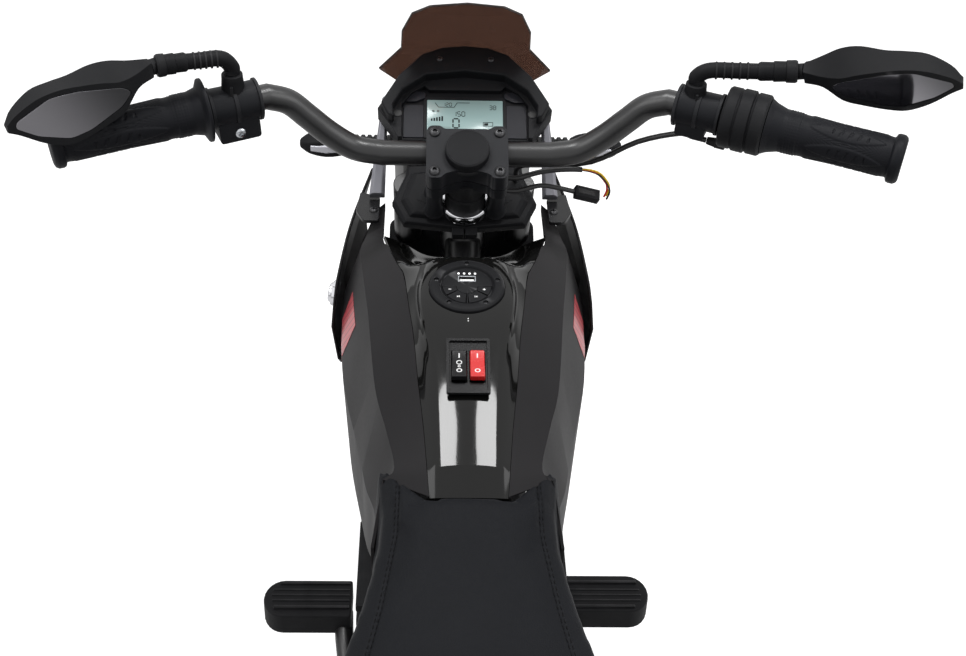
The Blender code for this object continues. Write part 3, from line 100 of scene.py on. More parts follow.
BAR_KNEE = Vector((0.152, 0.164, 0.7315))
BAR_TIP = Vector((0.314, 0.0995, 0.7215))


class Side(Enum):
    """The rider's two sides."""

    LEFT = -1
    RIGHT = 1

    @property
    def word(self) -> str:
        """The side's name as the CAD nodes spell it."""
        return self.name.lower()


BOTH = (Side.LEFT, Side.RIGHT)


class Grain(Enum):
    """How a surface is broken up at a small scale."""

    NONE = "none"
    MOULDED = "moulded"
    POWDER = "powder"
    LEATHER = "leather"
    BRUSHED = "brushed"


# Frames and outlines


def frame_at(origin: Point, x_axis: Point, z_axis: Point) -> Matrix:
    """A frame with its z along z_axis and its x near x_axis.

    Args:
        origin: Where the frame stands.
        x_axis: Roughly the direction of its x.
        z_axis: Exactly the direction of its z.

    Returns:
        The frame as a matrix.
    """
    z = Vector(z_axis).normalized()
    y = z.cross(Vector(x_axis)).normalized()
    turn = Matrix((y.cross(z), y, z)).transposed().to_4x4()
    return Matrix.Translation(origin) @ turn


def tilted_frame(centre: Point, degrees: float) -> Matrix:
    """A frame at centre that leans back about X by degrees."""
    return Matrix.Translation(centre) @ Matrix.Rotation(math.radians(degrees), 4, "X")


CONSOLE = tilted_frame((0.0, 0.069, 0.6225), 7.5)
SWITCHES = tilted_frame((0.0, -0.0105, 0.6065), 17.0)


def bar_direction(side: int) -> Vector:
    """The direction of the bar's straight end, outwards."""
    run = (BAR_TIP - BAR_KNEE).normalized()
    return Vector((side * run.x, run.y, run.z))


def bar_frame(side: int, distance: float) -> Matrix:
    """A frame on the bar's straight end: z outwards along it, x upwards.

    Args:
        side: -1 for the rider's left, 1 for the right.
        distance: How far from the bar's knee, in metres.

    Returns:
        The frame as a matrix.
    """
    knee = Vector((side * BAR_KNEE.x, BAR_KNEE.y, BAR_KNEE.z))
    direction = bar_direction(side)
    return frame_at(knee + direction * distance, (0, 0, 1), direction)


def smooth_route(points: Sequence[Point], per_span: int) -> list[Vector]:
    """Points read from a smooth curve through the route's own points.

    Args:
        points: The points that the curve passes through.
        per_span: How many points are read between two of them.

    Returns:
        The dense route.
    """
    own = [Vector(point) for point in points]
    ends = [2 * own[0] - own[1], *own, 2 * own[-1] - own[-2]]
    route = []
    for a, b, c, d in zip(ends, ends[1:], ends[2:], ends[3:]):
        for step in range(per_span):
            t = step / per_span
            route.append(
                0.5
                * (
                    2 * b + (c - a) * t + (2 * a - 5 * b + 4 * c - d) * t * t + (3 * b - a - 3 * c + d)
                    * t ** 3))
    route.append(own[-1])
    return route


def both_ways(points: Section) -> list[tuple[float, float]]:
    """A half outline from the middle line outwards, closed by its mirror image.

    Args:
        points: The half outline.

    Returns:
        The whole outline.
    """
    levels = [y for _, y in points]
    half = [(x, y) for x, y in points if x > 1e-6 or levels.count(y) == 1]
    return half + [(-x, y) for x, y in reversed(half) if x > 1e-6]


def rounded(outline: Section, radius: float, steps: int = 4) -> list[tuple[float, float]]:
    """An outline with its corners cut round.

    Args:
        outline: The corners in order.
        radius: The corner's radius; a short side takes less.
        steps: How many edges a corner gets.

    Returns:
        The rounded outline.
    """
    made = []
    count = len(outline)
    for index in range(count):
        before, corner, after = (Vector(outline[(index + k) % count]) for k in (-1, 0, 1))
        reach = min(radius, (before - corner).length * 0.45, (after - corner).length * 0.45)
        start = corner + (before - corner).normalized() * reach
        end = corner + (after - corner).normalized() * reach
        for step in range(steps + 1):
            t = step / steps
            point = start * (1 - t) ** 2 + corner * 2 * t * (1 - t) + end * t * t
            made.append((point.x, point.y))
    return made


def circle(radius: float, steps: int, x: float = 0.0, y: float = 0.0) -> list[tuple[float, float]]:
    """A round outline about (x, y)."""
    angles = [2 * math.pi * index / steps for index in range(steps)]
    return [(x + radius * math.cos(a), y + radius * math.sin(a)) for a in angles]


def sector(
        inner: float, outer: float, start: float, end: float, steps: int = 12) -> list[tuple[float, float]]:
    """Outline of a ring's sector.

    Args:
        inner: The ring's inner radius.
        outer: Its outer radius.
        start: The angle at which the sector starts, in degrees.
        end: The angle at which it ends.
        steps: How many edges each arc gets.

    Returns:
        The outline's points, in order.
    """
    angles = [math.radians(start + (end - start) * index / steps) for index in range(steps + 1)]
    outside = [(outer * math.cos(a), outer * math.sin(a)) for a in angles]
    return outside + [(inner * math.cos(a), inner * math.sin(a)) for a in reversed(angles)]


# Meshes


def solid(
        name: str, bm: Form, place: Matrix = Matrix(), smooth: float = 32.0, bevel: float = 0.0,
        segments: int = 2, angle: float = 32.0) -> Piece:
    """Turn a mesh in the making into a piece that stands in the part's frame.

    Args:
        name: The piece's name.
        bm: The mesh, in its own frame; it is used up.
        place: That frame in the bike's coordinates.
        smooth: Edges sharper than this many degrees stay sharp.
        bevel: The width of its rounded edges, or 0 for none.
        segments: How many faces a rounded edge gets.
        angle: Edges sharper than this many degrees are rounded.

    Returns:
        The new object, at the origin.
    """
    bm.transform(BIKE @ place)
    mesh = bpy.data.meshes.new(name)
    bm.to_mesh(mesh)
    bm.free()
    mesh.shade_smooth()
    obj = bpy.data.objects.new(name, mesh)
    bpy.context.scene.collection.objects.link(obj)
    if bevel:
        mod = obj.modifiers.new("soft_edges", "BEVEL")
        mod.width = bevel
        mod.segments = segments
        mod.limit_method = "ANGLE"
        mod.angle_limit = math.radians(angle)
        mod.harden_normals = True
        mod.use_clamp_overlap = True
    else:
        mesh.set_sharp_from_angle(angle=math.radians(smooth))
    return obj


def plain_mesh(obj: Piece) -> Piece:
    """Apply an object's modifiers by reading its evaluated mesh, and drop them.

    Args:
        obj: The object, which keeps its name.

    Returns:
        The same object with a plain mesh.
    """
    bpy.context.view_layer.update()
    depsgraph = bpy.context.evaluated_depsgraph_get()
    mesh = bpy.data.meshes.new_from_object(obj.evaluated_get(depsgraph))
    obj.modifiers.clear()
    obj.data = mesh
    return obj


def turned(profile: Section, steps: int = 48) -> Form:
    """A turned shape about Z from (radius, z) points that run down its outer side.

    Args:
        profile: The points, closed by itself when none is on the axis.
        steps: How many faces go round.

    Returns:
        The mesh in the making.
    """
    bm = bmesh.new()
    rings = []
    for radius, z in profile:
        if radius < 1e-6:
            rings.append([bm.verts.new((0.0, 0.0, z))] * steps)
            continue
        angles = [2 * math.pi * index / steps for index in range(steps)]
        rings.append([bm.verts.new((radius * math.cos(a), radius * math.sin(a), z)) for a in angles])
    if min(radius for radius, _ in profile) > 1e-6:
        rings.append(rings[0])
    for upper, lower in zip(rings, rings[1:]):
        for index in range(steps):
            after = (index + 1) % steps
            corners = []
            for vert in (upper[index], lower[index], lower[after], upper[after]):
                if vert not in corners:
                    corners.append(vert)
            if len(corners) > 2:
                bm.faces.new(corners)
    return bm


def extruded(outline: Section, low: float, high: float) -> Form:
    """A flat outline made a slab between two heights.

    Args:
        outline: The outline's points in order, either way round.
        low: The slab's lower face.
        high: Its upper face.

    Returns:
        The mesh in the making.
    """
    area = sum(a[0] * b[1] - b[0] * a[1] for a, b in zip(outline, [*outline[1:], outline[0]]))
    points = list(outline) if area > 0 else list(reversed(outline))
    bm = bmesh.new()
    bottom = [bm.verts.new((x, y, low)) for x, y in points]
    top = [bm.verts.new((x, y, high)) for x, y in points]
    for index in range(len(points)):
        after = (index + 1) % len(points)
        bm.faces.new((bottom[index], bottom[after], top[after], top[index]))
    bm.faces.new(list(reversed(bottom)))
    bm.faces.new(top)
    return bm


def lofted(rings: Sequence[Sequence[Point]], capped: bool = True) -> Form:
    """A skin through closed rings of equal count.

    Args:
        rings: The rings in order.
        capped: Whether both ends are closed.

    Returns:
        The mesh in the making, with its faces outwards.
    """
    bm = bmesh.new()
    layers = [[bm.verts.new(point) for point in ring] for ring in rings]
    count = len(rings[0])
    for lower, upper in zip(layers, layers[1:]):
        for index in range(count):
            after = (index + 1) % count
            bm.faces.new((lower[index], lower[after], upper[after], upper[index]))
    if capped:
        bm.faces.new(list(reversed(layers[0])))
        bm.faces.new(layers[-1])
    bmesh.ops.recalc_face_normals(bm, faces=bm.faces)
    return bm


def block(low: Point, high: Point) -> Form:
    """A block between two opposite corners."""
    outline = [(low[0], low[1]), (high[0], low[1]), (high[0], high[1]), (low[0], high[1])]
    return extruded(outline, low[2], high[2])


def rod(
        start: Point, end: Point, radius: float, end_radius: float | None = None, steps: int = 24,
        edge: float = 0.0) -> Form:
    """A round bar or cone from start to end, with its rims cut back by edge.

    Args:
        start: The middle of its first end.
        end: The middle of its other end.
        radius: Its radius at the first end.
        end_radius: Its radius at the other end, if not the same.
        steps: How many sides it has.
        edge: How far its rims are cut back.

    Returns:
        The bar's shape.
    """
    start, end = Vector(start), Vector(end)
    last = radius if end_radius is None else end_radius
    length = (end - start).length
    profile = [
        (0.0, length), (last - edge, length), (last, length - edge), (radius, edge), (radius - edge, 0.0),
        (0.0, 0.0)]
    if not edge:
        profile = [(0.0, length), (last, length), (radius, 0.0), (0.0, 0.0)]
    bm = turned(profile, steps)
    turn = (end - start).to_track_quat("Z", "Y").to_matrix().to_4x4()
    bm.transform(Matrix.Translation(start) @ turn)
    return bm


def merged(*parts: Form) -> Form:
    """Several shapes as one mesh, each of them still closed by itself.

    Args:
        parts: The shapes, which are used up.

    Returns:
        The one mesh.
    """
    whole = bmesh.new()
    for part in parts:
        mesh = bpy.data.meshes.new("joined")
        part.to_mesh(mesh)
        part.free()
        whole.from_mesh(mesh)
        bpy.data.meshes.remove(mesh)
    return whole


def moved(bm: Form, place: Matrix) -> Form:
    """The same mesh in the making, moved by place."""
    bm.transform(place)
    return bm


def carved(target: Piece, *cutters: Piece, join: bool = False) -> Piece:
    """Cut cutters out of target, or join them to it, and remove them.

    Args:
        target: The piece that is cut.
        cutters: The cutting pieces.
        join: Whether they are joined instead.

    Returns:
        The target, with a plain mesh.
    """
    for cutter in cutters:
        mod = target.modifiers.new("carve", "BOOLEAN")
        mod.operation = "UNION" if join else "DIFFERENCE"
        mod.solver = "EXACT"
        mod.object = cutter
    plain_mesh(target)
    for cutter in cutters:
        bpy.data.objects.remove(cutter, do_unlink=True)
    return target


def softened(obj: Piece, width: float, segments: int = 2, angle: float = 32.0) -> Piece:
    """Give an object's sharp edges a live rounding.

    Args:
        obj: The piece.
        width: The rounding's width.
        segments: How many faces go round it.
        angle: The least angle of an edge that is rounded, in degrees.

    Returns:
        The same piece.
    """
    obj.data.shade_smooth()
    mod = obj.modifiers.new("soft_edges", "BEVEL")
    mod.width = width
    mod.segments = segments
    mod.limit_method = "ANGLE"
    mod.angle_limit = math.radians(angle)
    mod.harden_normals = True
    return obj


# Surface effects: shader groups, each built once


def shader_group(
        name: str, inputs: Sequence[tuple[str, str, object]], outputs: Sequence[tuple[str, str]],
        fill: Callable[[Tree, Node, Node], None]) -> Tree:
    """A named shader group, built on its first use.

    Args:
        name: The group's name.
        inputs: Each input's name, kind and default.
        outputs: Each output's name and kind.
        fill: Draws the nodes between the group's input and output.

    Returns:
        The group's node tree.
    """
    tree = bpy.data.node_groups.get(name)
    if tree:
        return tree
    tree = bpy.data.node_groups.new(name, "ShaderNodeTree")
    for label, kind, value in inputs:
        socket = tree.interface.new_socket(label, in_out="INPUT", socket_type=f"NodeSocket{kind}")
        if value is not None:
            socket.default_value = value
    for label, kind in outputs:
        tree.interface.new_socket(label, in_out="OUTPUT", socket_type=f"NodeSocket{kind}")
    fill(tree, tree.nodes.new("NodeGroupInput"), tree.nodes.new("NodeGroupOutput"))
    return tree


def put(tree: Tree, kind: str, feeds: dict[str | int, object] | None = None, **settings: object) -> Node:
    """Add a node, set its properties and feed its inputs.

    Args:
        tree: The tree it stands in.
        kind: The node's type.
        feeds: What each input gets, by its name or number: a socket or a plain value.
        settings: The node's properties.

    Returns:
        The node.
    """
    node = tree.nodes.new(kind)
    for key, value in settings.items():
        setattr(node, key, value)
    for key, value in (feeds or {}).items():
        if isinstance(value, Socket):
            tree.links.new(value, node.inputs[key])
        else:
            node.inputs[key].default_value = value
    return node


def math_node(tree: Tree, operation: str, *values: object) -> Socket:
    """The output of a Math node fed by numbers or sockets in order."""
    return put(tree, "ShaderNodeMath", dict(enumerate(values)), operation=operation).outputs[0]


def noise(tree: Tree, vector: Socket, scale: object, detail: float = 3.0) -> Socket:
    """A Noise texture's factor at a scale that is a number or a socket."""
    feeds = {"Vector": vector, "Scale": scale, "Detail": detail}
    return put(tree, "ShaderNodeTexNoise", feeds).outputs["Fac"]


def mottled_group() -> Tree:
    """Colour that drifts a little over the surface, paler where an edge is rubbed.

    Returns:
        The group's tree.
    """
    def fill(tree: Tree, start: Node, end: Node) -> None:
        """Multiply the colour by broad and fine noise, then lift the rubbed edges.

        Args:
            tree: The node tree that it goes into.
            start: The group's input node.
            end: The group's output node.
        """
        vector, scale = start.outputs["Vector"], start.outputs["Scale"]
        broad = noise(tree, vector, scale)
        fine = noise(tree, vector, math_node(tree, "MULTIPLY", scale, 9.0))
        both = math_node(tree, "ADD", broad, math_node(tree, "MULTIPLY", fine, 0.6))
        swing = math_node(tree, "MULTIPLY", math_node(tree, "SUBTRACT", both, 0.8), start.outputs["Amount"])
        gain = math_node(tree, "ADD", swing, 1.0)
        scaled = put(
            tree, "ShaderNodeVectorMath", {0: start.outputs["Colour"], "Scale": gain},
            operation="SCALE").outputs["Vector"]
        point = put(tree, "ShaderNodeNewGeometry").outputs["Pointiness"]
        edge = math_node(tree, "SUBTRACT", point, FLAT_POINTINESS)
        rub = math_node(tree, "MULTIPLY", math_node(tree, "MULTIPLY", edge, 9.0), start.outputs["Rub"])
        rub.node.use_clamp = True
        worn = put(
            tree, "ShaderNodeMix",
            {"Factor": math_node(tree, "MULTIPLY", rub, fine), MIX_A: scaled, MIX_B: RUBBED_GREY},
            data_type="RGBA")
        tree.links.new(worn.outputs[MIX_RESULT], end.inputs["Colour"])

    return shader_group(
        "mottled_colour",
        [
            ("Vector", "Vector", None), ("Colour", "Color", (0.5, 0.5, 0.5, 1.0)), ("Scale", "Float", 6.0),
            ("Amount", "Float", 0.3), ("Rub", "Float", 0.0)],
        [("Colour", "Color")], fill)


def handled_group() -> Tree:
    """Roughness that varies with handling: broad smudges and fine specks.

    Returns:
        The group's tree.
    """
    def fill(tree: Tree, start: Node, end: Node) -> None:
        """Add broad and fine noise about the base value.

        Args:
            tree: The node tree that it goes into.
            start: The group's input node.
            end: The group's output node.
        """
        broad = noise(tree, start.outputs["Vector"], 14.0, 4.0)
        fine = noise(tree, start.outputs["Vector"], 420.0, 2.0)
        both = math_node(tree, "ADD", broad, math_node(tree, "MULTIPLY", fine, 0.5))
        swing = math_node(
            tree, "MULTIPLY", math_node(tree, "SUBTRACT", both, 0.75), start.outputs["Spread"])
        total = math_node(tree, "ADD", swing, start.outputs["Base"])
        total.node.use_clamp = True
        tree.links.new(total, end.inputs["Value"])

    return shader_group(
        "handled_gloss", [("Vector", "Vector", None), ("Base", "Float", 0.4), ("Spread", "Float", 0.15)],
        [("Value", "Float")], fill)


def pebble_group() -> Tree:
    """Height of a pebbled grain: rounded cells with creases between them.

    Returns:
        The group's tree.
    """
    def fill(tree: Tree, start: Node, end: Node) -> None:
        """Mix the distance to a cell's edge with soft noise.

        Args:
            tree: The node tree that it goes into.
            start: The group's input node.
            end: The group's output node.
        """
        vector, scale = start.outputs["Vector"], start.outputs["Scale"]
        bend = put(
            tree, "ShaderNodeTexNoise",
            {"Vector": vector, "Detail": 1.0, "Scale": math_node(tree, "MULTIPLY", scale, 0.4)})
        shift = put(
            tree, "ShaderNodeVectorMath",
            {0: bend.outputs["Color"], "Scale": math_node(tree, "DIVIDE", 0.9, scale)},
            operation="SCALE").outputs["Vector"]
        bent = put(tree, "ShaderNodeVectorMath", {0: vector, 1: shift}, operation="ADD").outputs["Vector"]
        cells = put(
            tree, "ShaderNodeTexVoronoi", {"Vector": bent, "Scale": scale}, feature="DISTANCE_TO_EDGE")
        slope = math_node(tree, "MULTIPLY", cells.outputs["Distance"], 3.2)
        crest = math_node(tree, "SMOOTH_MIN", slope, 1.0, 0.4)
        soft = math_node(tree, "MULTIPLY", noise(tree, vector, scale, 2.0), start.outputs["Soft"])
        tree.links.new(math_node(tree, "ADD", crest, soft), end.inputs["Height"])

    return shader_group(
        "pebbled_grain", [("Vector", "Vector", None), ("Scale", "Float", 800.0), ("Soft", "Float", 0.5)],
        [("Height", "Float")], fill)


@dataclass(frozen=True)
class Finish:
    """A moulded, painted or rubber surface.

    The constants stand on the shader's own sockets; only what varies over the surface is linked.
    """

    name: str
    slot: str | None
    colour: Colour
    roughness: float
    metallic: float = 0.0
    specular: float = 0.5
    grain: Grain = Grain.MOULDED
    grain_scale: float = 1500.0
    grain_depth: float = 0.00003
    drift: float = 0.25
    spread: float = 0.12
    rub: float = 0.0
    coat: float = 0.0
    coat_roughness: float = 0.05
    sheen: float = 0.0
    glow: float = 0.0

    def paint(self, tree: Tree, coords: Socket) -> Socket:
        """The colour over the surface, which a finish with a pattern of its own draws otherwise."""
        return dressed_colour(tree, coords, self.colour, self.drift, self.rub)

    def height(self, tree: Tree, coords: Socket) -> Socket:
        """The fine relief over the surface.

        Args:
            tree: The node tree that it goes into.
            coords: The coordinates that the pattern is read at.

        Returns:
            The relief's height.
        """
        if self.grain is Grain.NONE:
            return noise(tree, coords, 60.0, 2.0)
        if self.grain is Grain.POWDER:
            return noise(tree, coords, self.grain_scale)
        if self.grain is Grain.BRUSHED:
            stretch = put(tree, "ShaderNodeMapping", {"Vector": coords, "Scale": (0.04, 1.0, 1.0)})
            return noise(tree, stretch.outputs["Vector"], self.grain_scale)
        feeds = {
            "Scale": self.grain_scale, "Soft": 0.35 if self.grain is Grain.LEATHER else 1.2,
            "Vector": coords}
        return put_group(tree, pebble_group(), feeds).outputs["Height"]

    def finish_shader(self, shader: Node) -> None:
        """Set what a finish of its own kind adds; the plain one adds nothing."""

    def material(self) -> bpy.types.Material:
        """The material, built on its first use.

        Returns:
            The material.
        """
        made = bpy.data.materials.get(self.name)
        if made:
            return made
        made = bpy.data.materials.new(self.name)
        made.use_nodes = True
        tree = made.node_tree
        shader = tree.nodes["Principled BSDF"]
        coords = put(tree, "ShaderNodeTexCoord").outputs["Object"]
        handled = put_group(
            tree, handled_group(), {"Base": self.roughness, "Spread": self.spread, "Vector": coords})
        bump = put(
            tree, "ShaderNodeBump",
            {"Strength": 1.0, "Distance": self.grain_depth, "Height": self.height(tree, coords)})
        for label, socket in (
                ("Base Color", self.paint(tree, coords)), ("Roughness", handled.outputs["Value"]),
                ("Normal", bump.outputs["Normal"])):
            tree.links.new(socket, shader.inputs[label])
        constants = {
            "Metallic": self.metallic, "Specular IOR Level": self.specular, "Coat Weight": self.coat,
            "Coat Roughness": self.coat_roughness, "Sheen Weight": self.sheen}
        if self.glow:
            constants |= {"Emission Color": (*self.colour, 1.0), "Emission Strength": self.glow}
        for label, value in constants.items():
            shader.inputs[label].default_value = value
        self.finish_shader(shader)
        return made


def put_group(tree: Tree, group: Tree, feeds: dict[str | int, object]) -> Node:
    """Add a node that runs a shared group."""
    return put(tree, "ShaderNodeGroup", feeds, node_tree=group)


def dressed_colour(tree: Tree, coords: Socket, colour: Colour, drift: float, rub: float) -> Socket:
    """A colour through the mottled group.

    Args:
        tree: The material's tree.
        coords: Object coordinates.
        colour: The base colour.
        drift: How far its brightness drifts.
        rub: How much its edges are rubbed pale.

    Returns:
        The colour socket.
    """
    feeds = {"Colour": (*colour, 1.0), "Amount": drift, "Rub": rub, "Vector": coords}
    return put_group(tree, mottled_group(), feeds).outputs["Colour"]


def local_coords(tree: Tree, coords: Socket, place: Matrix) -> Socket:
    """Object coordinates read in a piece's own frame, which place gives in the bike's coordinates.

    Args:
        tree: The node tree that it goes into.
        coords: The object coordinates.
        place: The piece's place in the bike's coordinates.

    Returns:
        The coordinates in the piece's own frame.
    """
    whole = BIKE @ place
    feeds = {"Location": whole.to_translation(), "Rotation": whole.to_euler("XYZ"), "Vector": coords}
    return put(tree, "ShaderNodeMapping", feeds, vector_type="TEXTURE").outputs["Vector"]


def split(tree: Tree, vector: Socket) -> tuple[Socket, ...]:
    """The x, y and z of a vector socket."""
    return tuple(put(tree, "ShaderNodeSeparateXYZ", {0: vector}).outputs)


def blend_colour(tree: Tree, mask: Socket, low: object, high: object) -> Socket:
    """Mix two colours, each a plain colour or a socket, by a mask."""
    low, high = (value if isinstance(value, Socket) else (*value, 1.0) for value in (low, high))
    return put(
        tree, "ShaderNodeMix", {"Factor": mask, MIX_A: low, MIX_B: high},
        data_type="RGBA").outputs[MIX_RESULT]


@dataclass(frozen=True)
class StripedFinish(Finish):
    """A printed sticker: slanted darker lines on a plain colour, in the bike's side view."""

    line: Colour = (0.25, 0.02, 0.03)
    pitch: float = 0.0075
    slope: float = 0.55
    share: float = 0.18

    def paint(self, tree: Tree, coords: Socket) -> Socket:
        """Lines at a constant pitch across the print.

        Args:
            tree: The node tree that it goes into.
            coords: The coordinates that the pattern is read at.

        Returns:
            The print's colour.
        """
        _, y, z = split(tree, coords)
        across = math_node(tree, "ADD", y, math_node(tree, "MULTIPLY", z, self.slope))
        phase = math_node(tree, "FRACT", math_node(tree, "DIVIDE", across, self.pitch))
        mask = math_node(tree, "LESS_THAN", phase, self.share)
        ground = dressed_colour(tree, coords, self.colour, self.drift, 0.0)
        return blend_colour(tree, mask, ground, self.line)


@dataclass(frozen=True)
class GlassFinish(Finish):
    """A see-through moulding, tinted by its colour."""

    through: float = 1.0
    ior: float = 1.45

    def finish_shader(self, shader: Node) -> None:
        """Plain transmission on the shader's own sockets."""
        shader.inputs["Transmission Weight"].default_value = self.through
        shader.inputs["IOR"].default_value = self.ior


@dataclass(frozen=True)
class MirrorFinish(Finish):
    """Silvered glass with a painted reflection: its colour runs across it from pale to dark, a surrounding
    painted into the glass.
    """

    place: Matrix = field(default_factory=Matrix)
    # The pale end of the painted reflection, and where the run from pale to dark lies on the glass.
    pale: Colour = (0.44, 0.43, 0.46)
    start: float = 0.0
    end: float = 0.1
    slant: float = 0.6

    def paint(self, tree: Tree, coords: Socket) -> Socket:
        """A painted reflection: a soft run from pale to dark along the glass.

        Args:
            tree: The node tree that it goes into.
            coords: The coordinates that the pattern is read at.

        Returns:
            The glass's colour, with its painted reflection.
        """
        x, y, _ = split(tree, local_coords(tree, coords, self.place))
        along = math_node(tree, "ADD", x, math_node(tree, "MULTIPLY", y, self.slant))
        ramp = put(
            tree, "ShaderNodeMapRange", {"From Min": self.start, "From Max": self.end, "Value": along},
            interpolation_type="SMOOTHSTEP")
        return blend_colour(tree, ramp.outputs["Result"], self.pale, self.colour)


# Finishes of this bike

POWDER_BLACK = Finish(
    "powder_black_steel", "black_steel", (0.0075, 0.0075, 0.0082), 0.34, metallic=0.0, specular=0.60,
    grain=Grain.POWDER, grain_scale=900.0, grain_depth=0.00002, rub=0.35)
SATIN_BLACK = Finish(
    "satin_black_plastic", "satin_plastic", (0.0078, 0.0080, 0.0092), 0.54, specular=0.12,
    grain_scale=2200.0, grain_depth=0.000018, rub=0.25)
CLAMP_BLACK = Finish(
    "clamp_black_plastic", "satin_plastic", (0.0100, 0.0106, 0.0128), 0.50, specular=0.15,
    grain_scale=2600.0, grain_depth=0.000015, rub=0.35)
SHINY_BLACK = Finish(
    "shiny_black_plastic", "satin_plastic", (0.0055, 0.0055, 0.0062), 0.26, specular=0.26,
    grain=Grain.POWDER, grain_scale=500.0, grain_depth=0.00001, rub=0.2)
GLOSS_BLACK = Finish(
    "gloss_black_plastic", "gloss_plastic", (0.0050, 0.0050, 0.0048), 0.08, specular=0.24, grain=Grain.NONE,
    grain_depth=0.00004, spread=0.05, coat=0.18, coat_roughness=0.03)
CHARCOAL = Finish(
    "charcoal_painted_plastic", "charcoal_plastic", (0.0165, 0.0157, 0.0168), 0.46, specular=0.11,
    grain=Grain.POWDER, grain_scale=700.0, grain_depth=0.000012)
DASH_GREY = Finish(
    "dash_grey_plastic", "satin_plastic", (0.0125, 0.0130, 0.0172), 0.46, specular=0.18, grain_scale=2400.0,
    grain_depth=0.000015)
TYRE_BLACK = Finish(
    "tyre_black_rubber", "tyre_rubber", (0.011, 0.011, 0.0115), 0.78, specular=0.2, grain_scale=700.0,
    grain_depth=0.00006, rub=0.5)
GRIP_BLACK = Finish(
    "grip_black_rubber", "rubber", (0.0075, 0.0079, 0.0102), 0.54, specular=0.14, grain_scale=1800.0,
    grain_depth=0.00002, rub=0.2)
WHEEL_BLACK = Finish(
    "side_wheel_black_plastic", "rubber", (0.011, 0.011, 0.012), 0.50, specular=0.25, grain_scale=1200.0,
    grain_depth=0.00004, rub=0.4)
SEAT_LEATHER = Finish(
    "seat_leatherette", "leatherette", (0.0080, 0.0086, 0.0105), 0.52, specular=0.07, grain=Grain.LEATHER,
    grain_scale=620.0, grain_depth=0.00010, sheen=0.02)
THREAD = Finish(
    "seat_thread", "leatherette", (0.0030, 0.0030, 0.0036), 0.6, specular=0.1, grain=Grain.POWDER,
    grain_scale=3000.0, grain_depth=0.00002)
SILVER = Finish(
    "silver_paint", "silver_plastic", (0.27, 0.27, 0.30), 0.36, metallic=0.45, specular=0.35,
    grain=Grain.POWDER, grain_scale=2400.0, grain_depth=0.000008, drift=0.08, coat=0.1)
CHROME = Finish(
    "bright_chrome", None, (0.78, 0.78, 0.81), 0.08, metallic=1.0, grain=Grain.NONE, grain_depth=0.00002,
    drift=0.04, spread=0.06)
ZINC = Finish(
    "zinc_screw", None, (0.55, 0.57, 0.60), 0.26, metallic=1.0, grain=Grain.BRUSHED, grain_scale=2500.0,
    grain_depth=0.00001, drift=0.2)
BLACK_SCREW = Finish(
    "black_oxide_screw", None, (0.022, 0.022, 0.024), 0.34, metallic=0.6, grain=Grain.POWDER,
    grain_scale=1500.0, grain_depth=0.00001, rub=0.8)
SMOKE = GlassFinish(
    "smoked_acrylic", "smoked_screen", (0.120, 0.060, 0.042), 0.05, grain=Grain.NONE, grain_depth=0.00002,
    drift=0.1, spread=0.03, through=0.92)
CLEAR = GlassFinish(
    "clear_lens_plastic", "clear_lens", (0.88, 0.90, 0.92), 0.06, grain=Grain.NONE, grain_depth=0.00002,
    drift=0.03, spread=0.03, through=0.9)
RED_CLEAR = GlassFinish(
    "red_lens_plastic", "red_lens", (0.62, 0.012, 0.012), 0.10, grain=Grain.NONE, grain_depth=0.00003,
    drift=0.08, spread=0.05, through=0.35)
AMBER_CLEAR = Finish(
    "pale_signal_lens", "clear_lens", (0.55, 0.55, 0.60), 0.16, metallic=0.3, grain=Grain.BRUSHED,
    grain_scale=900.0, grain_depth=0.00006, drift=0.2, coat=0.8)
# Near-black for the hood's holes: painted shade standing in for a hole's shadowed inside.
HOLE_PAINTED_SHADE = Finish("socket_dark", None, (0.004, 0.004, 0.004), 0.6, grain_depth=0.00001)
RED_GLOSS = Finish(
    "red_rocker_plastic", "red_plastic", (0.62, 0.012, 0.012), 0.26, grain=Grain.NONE, grain_depth=0.00003,
    drift=0.12, coat=0.5, coat_roughness=0.08)
# White print with a faint emission: a painted glow, for the print is no lamp.
WHITE_PRINT_PAINTED_GLOW = Finish(
    "white_print", None, (0.80, 0.80, 0.80), 0.5, drift=0.06, grain_depth=0.00001, glow=0.15)
LAMP_WHITE = Finish("lit_dot", None, (1.0, 1.0, 1.0), 0.4, drift=0.02, grain_depth=0.00001, glow=1.2)
DISPLAY = Finish(
    "display_glass", "lcd", (0.235, 0.335, 0.330), 0.16, specular=0.3, grain=Grain.NONE,
    grain_depth=0.00001, drift=0.10, spread=0.04, coat=0.25, glow=0.16)
SEGMENT = Finish(
    "display_segment", None, (0.006, 0.008, 0.008), 0.3, specular=0.1, drift=0.1, grain_depth=0.00001)
PALE_SEGMENT = Finish(
    "display_pale_segment", None, (0.10, 0.135, 0.13), 0.3, drift=0.1, grain_depth=0.00001)
SHEATH = Finish(
    "cable_sheath_black", "cable_sheath", (0.012, 0.012, 0.013), 0.40, specular=0.5, grain=Grain.POWDER,
    grain_scale=900.0, grain_depth=0.00003)
WIRE_YELLOW = Finish("wire_yellow", None, (0.85, 0.55, 0.02), 0.4, drift=0.08, grain=Grain.NONE)
WIRE_RED = Finish("wire_red", None, (0.70, 0.03, 0.015), 0.4, drift=0.08, grain=Grain.NONE)
RED_STICKER = StripedFinish(
    "red_striped_sticker", None, (0.56, 0.060, 0.075), 0.34, grain=Grain.POWDER, grain_scale=900.0,
    grain_depth=0.000008, drift=0.12, coat=0.3)


# Geometry node tools: what repeats, and what follows a path


